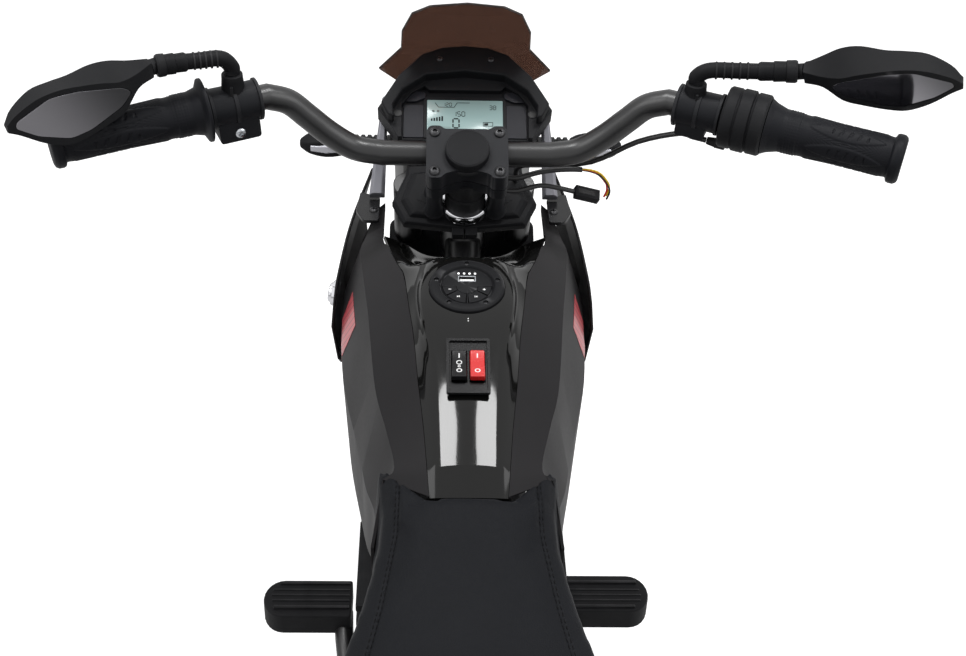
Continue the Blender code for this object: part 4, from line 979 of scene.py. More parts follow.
class NodeTool:
    """A geometry node tree with named inputs that turns one source mesh into a finished one."""

    name = "tool"
    inputs: tuple[tuple[str, str, object], ...] = ()

    def draw(self, tree: Tree, start: Node) -> Socket:
        """Draw the tool's own nodes and return the geometry before it is realised."""
        raise NotImplementedError

    def tree(self) -> Tree:
        """The tool's node tree, built on its first use.

        Returns:
            The node tree.
        """
        made = bpy.data.node_groups.get(self.name)
        if made:
            return made
        made = bpy.data.node_groups.new(self.name, "GeometryNodeTree")
        made.interface.new_socket("Geometry", in_out="INPUT", socket_type="NodeSocketGeometry")
        for label, kind, value in (*self.inputs, ("Material", "Material", None)):
            socket = made.interface.new_socket(label, in_out="INPUT", socket_type=f"NodeSocket{kind}")
            if value is not None:
                socket.default_value = value
        made.interface.new_socket("Geometry", in_out="OUTPUT", socket_type="NodeSocketGeometry")
        start = made.nodes.new("NodeGroupInput")
        shape = self.draw(made, start)
        realise = made.nodes.new("GeometryNodeRealizeInstances")
        dress = made.nodes.new("GeometryNodeSetMaterial")
        end = made.nodes.new("NodeGroupOutput")
        made.links.new(shape, realise.inputs["Geometry"])
        made.links.new(realise.outputs["Geometry"], dress.inputs["Geometry"])
        made.links.new(start.outputs["Material"], dress.inputs["Material"])
        made.links.new(dress.outputs["Geometry"], end.inputs["Geometry"])
        return made

    def run(
            self, name: str, source: Form, finish: Finish, place: Matrix = Matrix(),
            axes: Sequence[Vector] = (), smooth: float = 40.0, **values: object) -> Piece:
        """Run the tool on a source mesh.

        Args:
            name: The finished piece's name.
            source: The source mesh, in its own frame; it is used up.
            finish: What the piece is made of.
            place: The source's frame in the bike's coordinates.
            axes: The direction of each copy, where the tool stands copies on points.
            smooth: Edges sharper than this many degrees stay sharp.
            values: The tool's inputs, by name with underscores for blanks.

        Returns:
            The piece, a plain mesh at the origin.
        """
        mesh = bpy.data.meshes.new(name)
        source.to_mesh(mesh)
        source.free()
        if axes:
            layer = mesh.attributes.new("axis", "FLOAT_VECTOR", "POINT")
            layer.data.foreach_set("vector", [c for axis in axes for c in axis])
        obj = bpy.data.objects.new(name, mesh)
        bpy.context.scene.collection.objects.link(obj)
        tree = self.tree()
        mod = obj.modifiers.new(self.name, "NODES")
        mod.node_group = tree
        sockets = {
            item.name: item.identifier for item in tree.interface.items_tree
            if item.item_type == "SOCKET" and item.in_out == "INPUT"}
        mod[sockets["Material"]] = finish.material()
        for label, value in values.items():
            mod[sockets[label.replace("_", " ")]] = value
        plain_mesh(obj)
        obj.data.transform(BIKE @ place)
        obj.data.shade_smooth()
        obj.data.set_sharp_from_angle(angle=math.radians(smooth))
        return obj


def instances(
        tree: Tree, points: Socket, pattern: Socket, rotation: Socket,
        scale: object = (1.0, 1.0, 1.0)) -> Socket:
    """A pattern's instances on points, turned and scaled."""
    feeds = {"Points": points, "Instance": pattern, "Rotation": rotation, "Scale": scale}
    return put(tree, "GeometryNodeInstanceOnPoints", feeds).outputs["Instances"]


class RadialCopies(NodeTool):
    """Copies of the source round its own Z axis."""

    name = "radial_copies"
    inputs = (("Count", "Int", 5), ("Phase", "Float", 0.0))

    def draw(self, tree: Tree, start: Node) -> Socket:
        """Points at the axis, each turned by its share of a full turn.

        Args:
            tree: The node tree that it goes into.
            start: The tool's input node.

        Returns:
            The geometry as drawn.
        """
        points = put(tree, "GeometryNodePoints", {"Count": start.outputs["Count"]}).outputs[0]
        index = put(tree, "GeometryNodeInputIndex").outputs["Index"]
        step = math_node(tree, "DIVIDE", 2 * math.pi, start.outputs["Count"])
        turn = math_node(tree, "ADD", math_node(tree, "MULTIPLY", index, step), start.outputs["Phase"])
        angles = put(tree, "ShaderNodeCombineXYZ", {"Z": turn}).outputs["Vector"]
        rotation = put(tree, "FunctionNodeEulerToRotation", {"Euler": angles}).outputs["Rotation"]
        return instances(tree, points, start.outputs["Geometry"], rotation)


class CopiesOnPoints(NodeTool):
    """Copies of a pattern on the source's points, each with its Z along the point's axis."""

    name = "copies_on_points"
    inputs = (("Pattern", "Object", None), ("Size", "Float", 1.0))

    def draw(self, tree: Tree, start: Node) -> Socket:
        """Read each point's axis and stand the pattern along it.

        Args:
            tree: The node tree that it goes into.
            start: The tool's input node.

        Returns:
            The geometry as drawn.
        """
        pattern = put(
            tree, "GeometryNodeObjectInfo", {"Object": start.outputs["Pattern"]}).outputs["Geometry"]
        axis = put(
            tree, "GeometryNodeInputNamedAttribute", {"Name": "axis"},
            data_type="FLOAT_VECTOR").outputs["Attribute"]
        turn = put(
            tree, "FunctionNodeAlignRotationToVector", {"Vector": axis}, axis="Z").outputs["Rotation"]
        return instances(tree, start.outputs["Geometry"], pattern, turn, start.outputs["Size"])


class StitchRow(NodeTool):
    """Thread stitches laid end to end along the source's line."""

    name = "stitch_row"
    inputs = (("Pitch", "Float", 0.005), ("Stitch", "Float", 0.0038), ("Thread", "Float", 0.0004))

    def draw(self, tree: Tree, start: Node) -> Socket:
        """Resample the line and lay a long bead along it at each point.

        Args:
            tree: The node tree that it goes into.
            start: The tool's input node.

        Returns:
            The geometry as drawn.
        """
        thread = start.outputs["Thread"]
        line = put(tree, "GeometryNodeMeshToCurve", {"Mesh": start.outputs["Geometry"]}).outputs["Curve"]
        even = put(tree, "GeometryNodeResampleCurve", mode="LENGTH")
        tree.links.new(line, even.inputs["Curve"])
        tree.links.new(start.outputs["Pitch"], even.inputs["Length"])
        bead = put(tree, "GeometryNodeMeshUVSphere", {"Segments": 6, "Rings": 6, "Radius": thread})
        tangent = put(tree, "GeometryNodeInputTangent").outputs["Tangent"]
        turn = put(
            tree, "FunctionNodeAlignRotationToVector", {"Vector": tangent}, axis="X").outputs["Rotation"]
        long = math_node(tree, "DIVIDE", start.outputs["Stitch"], math_node(tree, "MULTIPLY", thread, 2.0))
        stretch = put(tree, "ShaderNodeCombineXYZ", {"X": long, "Y": 1.0, "Z": 1.0}).outputs["Vector"]
        return instances(tree, even.outputs["Curve"], bead.outputs["Mesh"], turn, stretch)


class TubeOnRoute(NodeTool):
    """A round tube with closed ends along the source's line."""

    name = "tube_on_route"
    inputs = (("Radius", "Float", 0.01), ("Sides", "Int", 24))

    def draw(self, tree: Tree, start: Node) -> Socket:
        """Sweep a circle along the line.

        Args:
            tree: The node tree that it goes into.
            start: The tool's input node.

        Returns:
            The geometry as drawn.
        """
        line = put(tree, "GeometryNodeMeshToCurve", {"Mesh": start.outputs["Geometry"]}).outputs["Curve"]
        ring = put(
            tree, "GeometryNodeCurvePrimitiveCircle",
            {"Radius": start.outputs["Radius"], "Resolution": start.outputs["Sides"]})
        return put(
            tree, "GeometryNodeCurveToMesh",
            {"Curve": line, "Profile Curve": ring.outputs["Curve"], "Fill Caps": True}).outputs["Mesh"]


RADIAL = RadialCopies()
SCATTER = CopiesOnPoints()
STITCHES = StitchRow()
TUBE = TubeOnRoute()


def polyline(points: Iterable[Point]) -> Form:
    """A line of edges through points.

    Args:
        points: The line's points in order.

    Returns:
        The line.
    """
    bm = bmesh.new()
    verts = [bm.verts.new(point) for point in points]
    for a, b in zip(verts, verts[1:]):
        bm.edges.new((a, b))
    return bm


def loose_points(points: Iterable[Point]) -> Form:
    """Points alone.

    Args:
        points: Where the points are.

    Returns:
        The points as a mesh.
    """
    bm = bmesh.new()
    for point in points:
        bm.verts.new(point)
    return bm


def screw_head(radius: float, height: float, cross: bool = True) -> Piece:
    """A domed screw head on z = 0 with a cross or hexagon recess, to be copied.

    Args:
        radius: The head's radius.
        height: Its height.
        cross: Whether the recess is a cross; otherwise it is a hexagon.

    Returns:
        The hidden pattern object.
    """
    dome = turned(
        [
            (0.0, height), (radius * 0.55, height * 0.93), (radius * 0.86, height * 0.66),
            (radius, height * 0.2), (radius, -height * 0.4), (0.0, -height * 0.4)],
        20)
    obj = raw_object("screw_pattern", dome)
    depth = height * 0.25
    if cross:
        arms = [
            raw_object(
                "arm",
                block((-radius * 0.55, -radius * 0.13, depth), (radius * 0.55, radius * 0.13, height * 2))),
            raw_object(
                "arm",
                block((-radius * 0.13, -radius * 0.55, depth), (radius * 0.13, radius * 0.55, height * 2)))]
    else:
        arms = [raw_object("arm", extruded(circle(radius * 0.5, 6), depth, height * 2))]
    return carved(obj, *arms)


def raw_object(name: str, bm: Form) -> Piece:
    """A helper object in its own frame, for cutting or copying.

    Args:
        name: The object's name.
        bm: Its shape, which is used up.

    Returns:
        The object.
    """
    mesh = bpy.data.meshes.new(name)
    bm.to_mesh(mesh)
    bm.free()
    obj = bpy.data.objects.new(name, mesh)
    bpy.context.scene.collection.objects.link(obj)
    return obj


@dataclass
class SubAssembly:
    """A group of pieces that belongs together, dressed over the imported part's nodes."""

    nodes: dict[str, Piece]
    bodies: dict[str, str]

    def build(self) -> None:
        """Make and dress every piece of the group."""
        raise NotImplementedError

    def wear(self, obj: Piece, finish: Finish, body: str, *stands_for: str) -> Piece:
        """Dress a piece, let it ride on a body and report it.

        Args:
            obj: The piece.
            finish: What it is made of.
            body: The body that it moves with.
            stands_for: The CAD nodes that it is shown in place of.

        Returns:
            The same piece.
        """
        obj.data.materials.clear()
        obj.data.materials.append(finish.material())
        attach(obj, body)
        if stands_for:
            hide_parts(*stands_for)
        log.info("%s on %s, %d faces", obj.name, body, len(obj.data.polygons))
        return obj

    def copy_of(self, node: str) -> Form:
        """A CAD node's shape with its flat faces whole again, in the bike's coordinates.

        Args:
            node: The CAD node's name.

        Returns:
            The node's shape.
        """
        bm = bmesh.new()
        bm.from_mesh(self.nodes[node].data)
        bmesh.ops.remove_doubles(bm, verts=bm.verts, dist=0.00001)
        bmesh.ops.dissolve_limit(bm, angle_limit=FLAT_ENOUGH, verts=bm.verts, edges=bm.edges)
        bm.transform(BIKE.inverted())
        return bm

    def dress(
            self, node: str, finish: Finish, bevel: float = 0.0008, segments: int = 2,
            angle: float = 32.0) -> Piece:
        """Show a CAD node with rounded edges and its real finish."""
        obj = solid(f"{node}_dressed", self.copy_of(node), bevel=bevel, segments=segments, angle=angle)
        return self.wear(obj, finish, self.bodies[node], node)

    def screws(
            self, name: str, places: Sequence[tuple[Point, Point]], radius: float, height: float,
            finish: Finish, body: str, place: Matrix = Matrix(), cross: bool = True) -> Piece:
        """A set of equal screws on one body.

        Args:
            name: The set's name.
            places: Each screw's seat and axis, in the frame of place.
            radius: The head's radius.
            height: The head's height.
            finish: What the screws are made of.
            body: The body that they hold.
            place: The frame of the places, in the bike's coordinates.
            cross: Whether they have a cross recess.

        Returns:
            The screws as one piece.
        """
        pattern = screw_head(radius, height, cross)
        obj = SCATTER.run(
            name, loose_points([seat for seat, _ in places]), finish, place,
            axes=[Vector(axis).normalized() for _, axis in places], Pattern=pattern)
        bpy.data.objects.remove(pattern, do_unlink=True)
        return self.wear(obj, finish, body)

    def tube(
            self, name: str, points: Sequence[Point], radius: float, finish: Finish, body: str,
            *stands_for: str, place: Matrix = Matrix(), sides: int = 24) -> Piece:
        """A tube along points that rides on a body."""
        obj = TUBE.run(name, polyline(points), finish, place, Radius=radius, Sides=sides)
        return self.wear(obj, finish, body, *stands_for)


def wheel_frame(centre: Point) -> Matrix:
    """A wheel's own frame: z along the axle."""
    return Matrix.Translation(centre) @ Matrix.Rotation(math.pi / 2, 4, "Y")


@dataclass
class Wheels(SubAssembly):
    """Two spoked wheels with block-tread tyres, and the two stabiliser wheels."""

    spokes: int = 5
    blocks: int = 44

    def tread_pattern(self) -> Form:
        """One pitch of the tread: a chevron on the crown and a block on each shoulder.

        Returns:
            The pattern's shape.
        """
        crown, base = WHEEL_RADIUS - TREAD_GAP, WHEEL_RADIUS - 0.0048
        parts = []
        for hand in (-1, 1):
            outline = [(0.0006, -0.0045), (0.0110, 0.0005), (0.0110, 0.0085), (0.0006, 0.0035)]
            rings = []
            for radius, widen in ((base, 1.0), (crown - 0.0005, 0.97), (crown, 0.90)):
                middle = Vector((0.0058, 0.002))
                drop = 0.0011
                rings.append([
                    (
                        radius - drop * (z / 0.0110) ** 2, middle.y + (y - middle.y) * widen,
                        hand * (middle.x + (z - middle.x) * widen))
                    for z, y in outline])
            parts.append(lofted(rings))
            shoulder = [(0.0145, -0.0145), (0.0235, -0.0125), (0.0235, -0.0050), (0.0145, -0.0065)]
            rings = []
            for lift, widen in ((-0.0045, 1.0), (-0.0004, 0.96), (0.0, 0.88)):
                middle = Vector((0.019, -0.0095))
                rings.append([
                    (
                        WHEEL_RADIUS - 0.0016 - 0.0048 * ((z - 0.0145) / 0.009) + lift,
                        middle.y + (y - middle.y) * widen, hand * (middle.x + (z - middle.x) * widen))
                    for z, y in shoulder])
            parts.append(lofted(rings))
        return merged(*parts)

    def tyre(self, word: str, centre: Vector) -> None:
        """A tyre: carcass, sidewall ring and tread.

        Args:
            word: Which wheel it is on.
            centre: The wheel's middle.
        """
        r = WHEEL_RADIUS
        half = [
            (r - 0.0033, 0.0), (r - 0.0036, 0.008), (r - 0.0048, 0.0155), (r - 0.0085, 0.0232),
            (r - 0.0150, 0.0270), (r - 0.0200, 0.0278), (r - 0.0208, 0.0272), (r - 0.0300, 0.0266),
            (r - 0.0308, 0.0272), (r - 0.0345, 0.0262), (r - 0.0410, 0.0222), (r - 0.0450, 0.0202)]
        profile = [(a, z) for a, z in reversed(half)] + [(a, -z) for a, z in half[1:]]
        place = wheel_frame(centre)
        carcass = solid(f"{word}_tyre_carcass", turned(profile, 96), place, smooth=25)
        self.wear(carcass, TYRE_BLACK, f"{word}_wheel", f"{word}_tyre")
        tread = RADIAL.run(
            f"{word}_tyre_tread", self.tread_pattern(), TYRE_BLACK, place, smooth=30, Count=self.blocks)
        self.wear(tread, TYRE_BLACK, f"{word}_wheel")

    def spoke_pattern(self) -> Form:
        """One split spoke: two arms that part towards the rim.

        Returns:
            The pattern's shape.
        """
        arms = []
        for hand in (-1, 1):
            rings = []
            for radius, swing, wide, thick in (
                    (0.020, 0.0, 0.0075, 0.0105), (0.040, 0.030, 0.0058, 0.0085),
                    (0.070, 0.105, 0.0048, 0.0068), (0.1005, 0.175, 0.0056, 0.0064)):
                centre = Vector((radius * math.cos(hand * swing), radius * math.sin(hand * swing), 0.0))
                outward = centre.normalized()
                across = Vector((-outward.y, outward.x, 0.0))
                ring = []
                for u, v in (
                        (-1, -0.55), (-0.55, -1), (0.55, -1), (1, -0.55), (1, 0.55), (0.55, 1), (-0.55, 1),
                        (-1, 0.55)):
                    ring.append(centre + across * (u * wide) + Vector((0, 0, v * thick)))
                rings.append(ring)
            arms.append(lofted(rings))
        return merged(*arms)

    def rim(self, word: str, centre: Vector) -> None:
        """A rim: barrel with lips, hub with bolts, split spokes and a valve.

        Args:
            word: Which wheel it is in.
            centre: The wheel's middle.
        """
        place = wheel_frame(centre)
        body = f"{word}_wheel"
        barrel = [
            (0.1078, 0.0190), (0.1090, 0.0205), (0.1075, 0.0222), (0.1005, 0.0218), (0.0990, 0.0190),
            (0.0975, 0.0090), (0.0970, 0.0), (0.0975, -0.0090), (0.0990, -0.0190), (0.1005, -0.0218),
            (0.1075, -0.0222), (0.1090, -0.0205), (0.1078, -0.0190)]
        self.wear(
            solid(f"{word}_rim_barrel", turned(barrel, 96), place, smooth=28), SILVER, body, f"{word}_rim")
        hub = [
            (0.0072, 0.0298), (0.0150, 0.0298), (0.0165, 0.0285), (0.0170, 0.0200), (0.0245, 0.0150),
            (0.0260, 0.0120), (0.0260, -0.0120), (0.0245, -0.0150), (0.0170, -0.0200), (0.0165, -0.0285),
            (0.0150, -0.0298), (0.0072, -0.0298)]
        self.wear(solid(f"{word}_rim_hub", turned(hub, 48), place, smooth=28), SILVER, body)
        spokes = RADIAL.run(
            f"{word}_rim_spokes", self.spoke_pattern(), SILVER, place, smooth=50, Count=self.spokes)
        self.wear(spokes, SILVER, body)
        bolt = merged(
            rod((0.0205, 0.0, 0.0120), (0.0205, 0.0, 0.0185), 0.0026, steps=6, edge=0.0004),
            rod((0.0205, 0.0, -0.0120), (0.0205, 0.0, -0.0185), 0.0026, steps=6, edge=0.0004))
        bolts = RADIAL.run(
            f"{word}_hub_bolts", bolt, BLACK_SCREW, place, smooth=25, Count=self.spokes,
            Phase=math.radians(36))
        self.wear(bolts, BLACK_SCREW, body)
        spacers = merged(
            turned([(0.0070, 0.0330), (0.0110, 0.0330), (0.0120, 0.0298), (0.0070, 0.0298)], 24),
            turned([(0.0070, -0.0298), (0.0120, -0.0298), (0.0110, -0.0330), (0.0070, -0.0330)], 24))
        self.wear(solid(f"{word}_axle_spacers", spacers, place), ZINC, body)
        valve = merged(
            rod((0.0965, 0.0, 0.0), (0.0880, 0.0, 0.003), 0.0030, end_radius=0.0026, steps=16),
            rod((0.0880, 0.0, 0.003), (0.0810, 0.0, 0.0055), 0.0034, steps=16, edge=0.0006))
        self.wear(
            solid(f"{word}_valve", valve, place @ Matrix.Rotation(math.radians(36), 4, "Z")), TYRE_BLACK,
            body)

    def stabiliser(self, side: Side) -> None:
        """A stabiliser wheel: hard tyre with grooves, and dished web with ribs.

        Args:
            side: The side that it is on.
        """
        name = f"{side.word}_stabiliser_wheel"
        body = f"{side.word}_stabiliser"
        r = SIDE_WHEEL_RADIUS
        place = wheel_frame((side.value * SIDE_WHEEL_X, SIDE_WHEEL_Y, r))
        half = [
            (r - 0.0012, 0.0), (r - 0.0012, 0.0015), (r, 0.0022), (r, 0.0075), (r - 0.0012, 0.0105),
            (r - 0.0045, 0.0133), (0.0400, 0.0135), (0.0385, 0.0125), (0.0372, 0.0080), (0.0200, 0.0088),
            (0.0150, 0.0138), (0.0135, 0.0145), (0.0088, 0.0145)]
        profile = [(a, z) for a, z in reversed(half)] + [(a, -z) for a, z in half[1:]]
        self.wear(solid(f"{name}_tyre", turned(profile, 64), place, smooth=28), WHEEL_BLACK, body, name)
        rib = merged(
            block((0.0150, -0.0012, 0.0070), (0.0378, 0.0012, 0.0112)),
            block((0.0150, -0.0012, -0.0112), (0.0378, 0.0012, -0.0070)))
        ribs = RADIAL.run(f"{name}_ribs", rib, WHEEL_BLACK, place, Count=10)
        self.wear(ribs, WHEEL_BLACK, body)

    def build(self) -> None:
        """Make all four wheels."""
        for word, centre in (("front", FRONT_AXLE), ("rear", REAR_AXLE)):
            self.tyre(word, centre)
            self.rim(word, centre)
        for side in BOTH:
            self.stabiliser(side)


@dataclass
class Chassis(SubAssembly):
    """Welded frame, battery, drive unit, stabiliser bar, engine mouldings and footrests."""

    def frame_tubes(self) -> None:
        """The frame's tubes, the head tube and the weld beads, and the rear axle with its nuts."""
        axis = Vector((0.0, -math.sin(RAKE), math.cos(RAKE)))
        top, foot = STEER_ORIGIN - 0.0785 * axis, STEER_ORIGIN - 0.1500 * axis
        routes = [
            (
                smooth_route(
                    [
                        (0, 0.222, 0.572), (0, 0.12, 0.518), (0, 0.0, 0.472), (0, -0.12, 0.448),
                        (0, -0.328, 0.444)],
                    6),
                0.015),
            (
                smooth_route(
                    [
                        (0, 0.2160, 0.5780), (0, 0.1940, 0.5300), (0, 0.1930, 0.4900), (0, 0.1960, 0.4000),
                        (0, 0.1880, 0.3000), (0, 0.164, 0.207)],
                    6),
                0.014),
            ([(-0.045, 0.164, 0.205), (0.045, 0.164, 0.205)], 0.0105),
            ([(-0.044, -0.190, 0.205), (0.044, -0.190, 0.205)], 0.0080),
            ([(-0.049, -0.325, 0.4560), (0.049, -0.325, 0.4560)], 0.0080),
            ([(-0.049, -0.114, 0.4590), (0.049, -0.114, 0.4590)], 0.0080),]
        for s in (-1, 1):
            routes += [
                (
                    smooth_route(
                        [
                            (s * 0.045, 0.165, 0.205), (s * 0.045, -0.200, 0.205),
                            (s * 0.048, -0.250, 0.240), (s * 0.050, -0.270, 0.330),
                            (s * 0.050, -0.275, 0.462)],
                        8),
                    0.0095),
                ([(s * 0.050, -0.101, 0.4630), (s * 0.050, -0.545, 0.4630)], 0.009),
                (
                    smooth_route(
                        [
                            (s * 0.047, -0.205, 0.208), (s * 0.0535, -0.300, 0.188),
                            (s * 0.0535, REAR_AXLE.y - 0.012, AXLE_HEIGHT)],
                        6),
                    0.009),]
        names = [
            self.tube(f"frame_tube_{index + 1:02d}", points, radius, POWDER_BLACK, "chassis")
            for index, (points, radius) in enumerate(routes)]
        pipe = turned(
            [
                (0.0125, 0.0715), (0.0185, 0.0715), (0.0200, 0.0700), (0.0200, 0.0620), (0.0190, 0.0605),
                (0.0190, 0.0110), (0.0200, 0.0095), (0.0200, 0.0015), (0.0185, 0.0), (0.0125, 0.0)],
            40)
        head = solid("head_tube", pipe, frame_at(foot, (1, 0, 0), top - foot), smooth=30)
        self.wear(head, POWDER_BLACK, "chassis", "main_frame")
        beads = []
        for s in (-1, 1):
            for centre, normal, radius in (
                    ((s * 0.045, 0.158, 0.205), (0, 1, 0), 0.0098),
                    ((s * 0.047, -0.212, 0.2075), (0, 1, 0.1), 0.0094),
                    ((s * 0.050, -0.275, 0.4550), (0, 0, 1), 0.0100)):
                ring = turned(
                    [
                        (radius + 0.0018 * math.cos(a), 0.0022 * math.sin(a))
                        for a in (math.radians(60 * k) for k in range(6))],
                    24)
                beads.append(moved(ring, frame_at(centre, (1, 0, 0), normal)))
        self.wear(solid("frame_weld_beads", merged(*beads), smooth=80), POWDER_BLACK, "chassis")
        axle = rod(
            (-0.0685, REAR_AXLE.y, AXLE_HEIGHT), (0.0685, REAR_AXLE.y, AXLE_HEIGHT), 0.006, edge=0.0008)
        self.wear(solid("rear_axle_bar", axle), ZINC, "chassis")
        nuts = [
            rod(
                (s * 0.0628, REAR_AXLE.y, AXLE_HEIGHT), (s * 0.0675, REAR_AXLE.y, AXLE_HEIGHT), 0.0105,
                steps=6, edge=0.0008)
            for s in (-1, 1)]
        self.wear(solid("rear_axle_nuts", merged(*nuts), smooth=25), ZINC, "chassis")
        log.info("frame of %d tubes", len(names))

    def engine(self, side: Side) -> None:
        """One engine moulding: case, two round covers with stepped rims, fins and screws.

        Args:
            side: The side that it is on.
        """
        s = side.value
        name = f"{side.word}_engine_cover"
        case = [
            (-0.115, 0.255), (-0.085, 0.228), (0.060, 0.222), (0.105, 0.250), (0.118, 0.300),
            (0.100, 0.345), (0.060, 0.365), (0.052, 0.405), (-0.020, 0.418), (-0.062, 0.385),
            (-0.105, 0.340), (-0.122, 0.300)]
        inner = 0.0565 + GAP
        place = frame_at((s * inner, 0.0, 0.0), (0, 1, 0), (s, 0, 0))
        flip = [(y, z if place.to_3x3().col[1].z > 0 else -z) for y, z in case]
        shell_piece = solid(
            f"{name}_case", extruded(rounded(flip, 0.010), 0.0, 0.0150), place, bevel=0.0030, segments=4)
        self.wear(shell_piece, SATIN_BLACK, "chassis", name)
        hand = 1 if place.to_3x3().col[1].z > 0 else -1
        screws = []
        for index, (y, z, radius, reach) in enumerate((
                (-0.058, 0.300, 0.042, 0.0885), (0.050, 0.290, 0.036, 0.0850))):
            top = reach - inner
            profile = [
                (0.0, top - 0.0030), (radius * 0.50, top - 0.0030), (radius * 0.54, top),
                (radius * 0.74, top), (radius * 0.78, top - 0.0025), (radius - 0.0065, top - 0.0035),
                (radius - 0.0035, top - 0.0070), (radius, top - 0.0120), (radius, 0.0110), (0.0, 0.0110)]
            at = place @ Matrix.Translation((y, hand * z, 0.0))
            cover = solid(f"{name}_disc_{index + 1}", turned(profile, 72), at, smooth=28)
            self.wear(cover, SHINY_BLACK if index else SATIN_BLACK, "chassis")
            for step in range(6):
                turn = math.radians(60 * step + 30)
                screws.append((
                    (
                        y + (radius - 0.0052) * math.cos(turn),
                        hand * (z + (radius - 0.0052) * math.sin(turn)), top - 0.0052),
                    (0, 0, 1)))
        fins = [
            block(
                (-0.048, hand * (0.362 + 0.017 * k) - 0.0020, 0.0110),
                (0.047, hand * (0.362 + 0.017 * k) + 0.0020 + 0.003, 0.0272))
            for k in range(3)]
        self.wear(
            solid(f"{name}_fins", merged(*fins), place, bevel=0.0009, segments=2), SATIN_BLACK, "chassis")
        for y, z in ((-0.100, 0.262), (0.094, 0.262), (-0.098, 0.325), (0.094, 0.335), (-0.006, 0.240)):
            screws.append(((y, hand * z, 0.0150), (0, 0, 1)))
        self.screws(f"{name}_screws", screws, 0.0032, 0.0018, BLACK_SCREW, "chassis", place, cross=False)

    def footrest(self, side: Side) -> None:
        """One footrest: peg with a stepped tread and rounded end, on its bent arm.

        Args:
            side: The side that it is on.
        """
        s = side.value
        name = f"{side.word}_footrest"
        place = frame_at((s * 0.1015, 0.1010, 0.2430), (s, 0, 0), (0, 0, 1))
        bend = [
            (0.0570 + 0.0190 * math.cos(a), 0.0040 + 0.0225 * math.sin(a))
            for a in (math.radians(-90 + 15 * step) for step in range(13))]
        outline = [(-0.0050, -0.0185), *bend, (-0.0050, 0.0265)]
        base = extruded(outline, -0.0150, 0.0088)
        peg = solid(f"{name}_peg", base, place, bevel=0.0022, segments=3)
        self.wear(peg, SATIN_BLACK, "chassis", name)
        bars = merged(
            *[
                block((-0.0030, y - width, 0.0080), (length, y + width, 0.0088 + rise))
                for y, width, length, rise in (
                    (0.0165, 0.0016, 0.0660, 0.0022), (0.0075, 0.0009, 0.0680, 0.0009),
                    (0.0010, 0.0009, 0.0690, 0.0009), (-0.0055, 0.0009, 0.0680, 0.0009),
                    (-0.0135, 0.0016, 0.0620, 0.0018))])
        self.wear(solid(f"{name}_ridges", bars, place, bevel=0.0006, segments=3), SATIN_BLACK, "chassis")
        arm = smooth_route(
            [
                (s * 0.1040, 0.0950, 0.2350), (s * 0.1020, 0.0650, 0.2260), (s * 0.0950, 0.0370, 0.2120),
                (s * 0.0760, 0.0250, 0.2050), (s * (0.0545 + 2 * GAP), 0.0250, 0.2050)],
            6)
        self.tube(f"{name}_arm", arm, 0.0085, POWDER_BLACK, "chassis")

    def stabiliser_bar(self) -> None:
        """The bent bar with its axles, stops and clamp saddles."""
        x, y, z = SIDE_WHEEL_X, SIDE_WHEEL_Y, SIDE_WHEEL_RADIUS
        half = [
            (0.0, -0.182, 0.178), (0.060, -0.182, 0.178), (0.105, -0.205, 0.164), (0.130, -0.270, 0.126),
            (0.142, -0.345, 0.078), (0.148, y, z)]
        right = smooth_route(half, 6)
        route = [Vector((-p.x, p.y, p.z)) for p in reversed(right[1:])] + right
        self.tube("stabiliser_bar_tube", route, 0.0080, POWDER_BLACK, "chassis", "stabiliser_bar")
        ends, caps = [], []
        for s in (-1, 1):
            ends.append(rod((s * 0.140, y, z), (s * (x - 0.0150), y, z), 0.012, edge=0.001))
            caps.append(rod((s * 0.143, y, z), (s * (x + 0.0180), y, z), 0.0070, edge=0.0006))
        self.wear(solid("stabiliser_stops", merged(*ends)), POWDER_BLACK, "chassis")
        self.wear(solid("stabiliser_axles", merged(*caps)), ZINC, "chassis")
        saddles = [
            block((min(s * 0.034, s * 0.056), -0.197, 0.1702), (max(s * 0.034, s * 0.056), -0.150, 0.1944))
            for s in (-1, 1)]
        self.wear(
            solid("stabiliser_saddles", merged(*saddles), bevel=0.003, segments=3), SATIN_BLACK, "chassis")
        bolts = [((s * 0.045, -0.158, 0.1702), (0, 0, -1)) for s in (-1, 1)]
        self.screws("saddle_bolts", bolts, 0.0055, 0.0035, ZINC, "chassis", cross=False)

    def build(self) -> None:
        """Make the frame and all that is bolted to it below the body."""
        self.frame_tubes()
        self.dress("battery_pack", SATIN_BLACK, 0.0020, 3)
        strap = extruded(
            both_ways([(0.0, 0.3975), (0.0585, 0.3975), (0.0585, 0.3955), (0.0, 0.3955)]), -0.011, 0.011)
        self.wear(
            solid("battery_strap", strap, frame_at((0, -0.075, 0), (1, 0, 0), (0, -1, 0)), bevel=0.0006),
            TYRE_BLACK, "chassis")
        self.dress("drive_unit", SATIN_BLACK, 0.0012, 2)
        at = frame_at((-0.0380 - 0.00575, REAR_AXLE.y, AXLE_HEIGHT), (0, 1, 0), (-1, 0, 0))
        hand = 1 if at.to_3x3().col[1].z > 0 else -1
        spots = [(-0.028, -0.024), (0.026, -0.024), (0.040, -0.006), (-0.026, 0.024), (0.014, 0.042)]
        self.screws(
            "drive_unit_screws", [((y, hand * z, 0.0), (0, 0, 1)) for y, z in spots], 0.0028, 0.0016, ZINC,
            "chassis", at)
        for side in BOTH:
            self.engine(side)
            self.footrest(side)
        self.stabiliser_bar()


# Body: tank, panels, sound module, switches, seat and tail


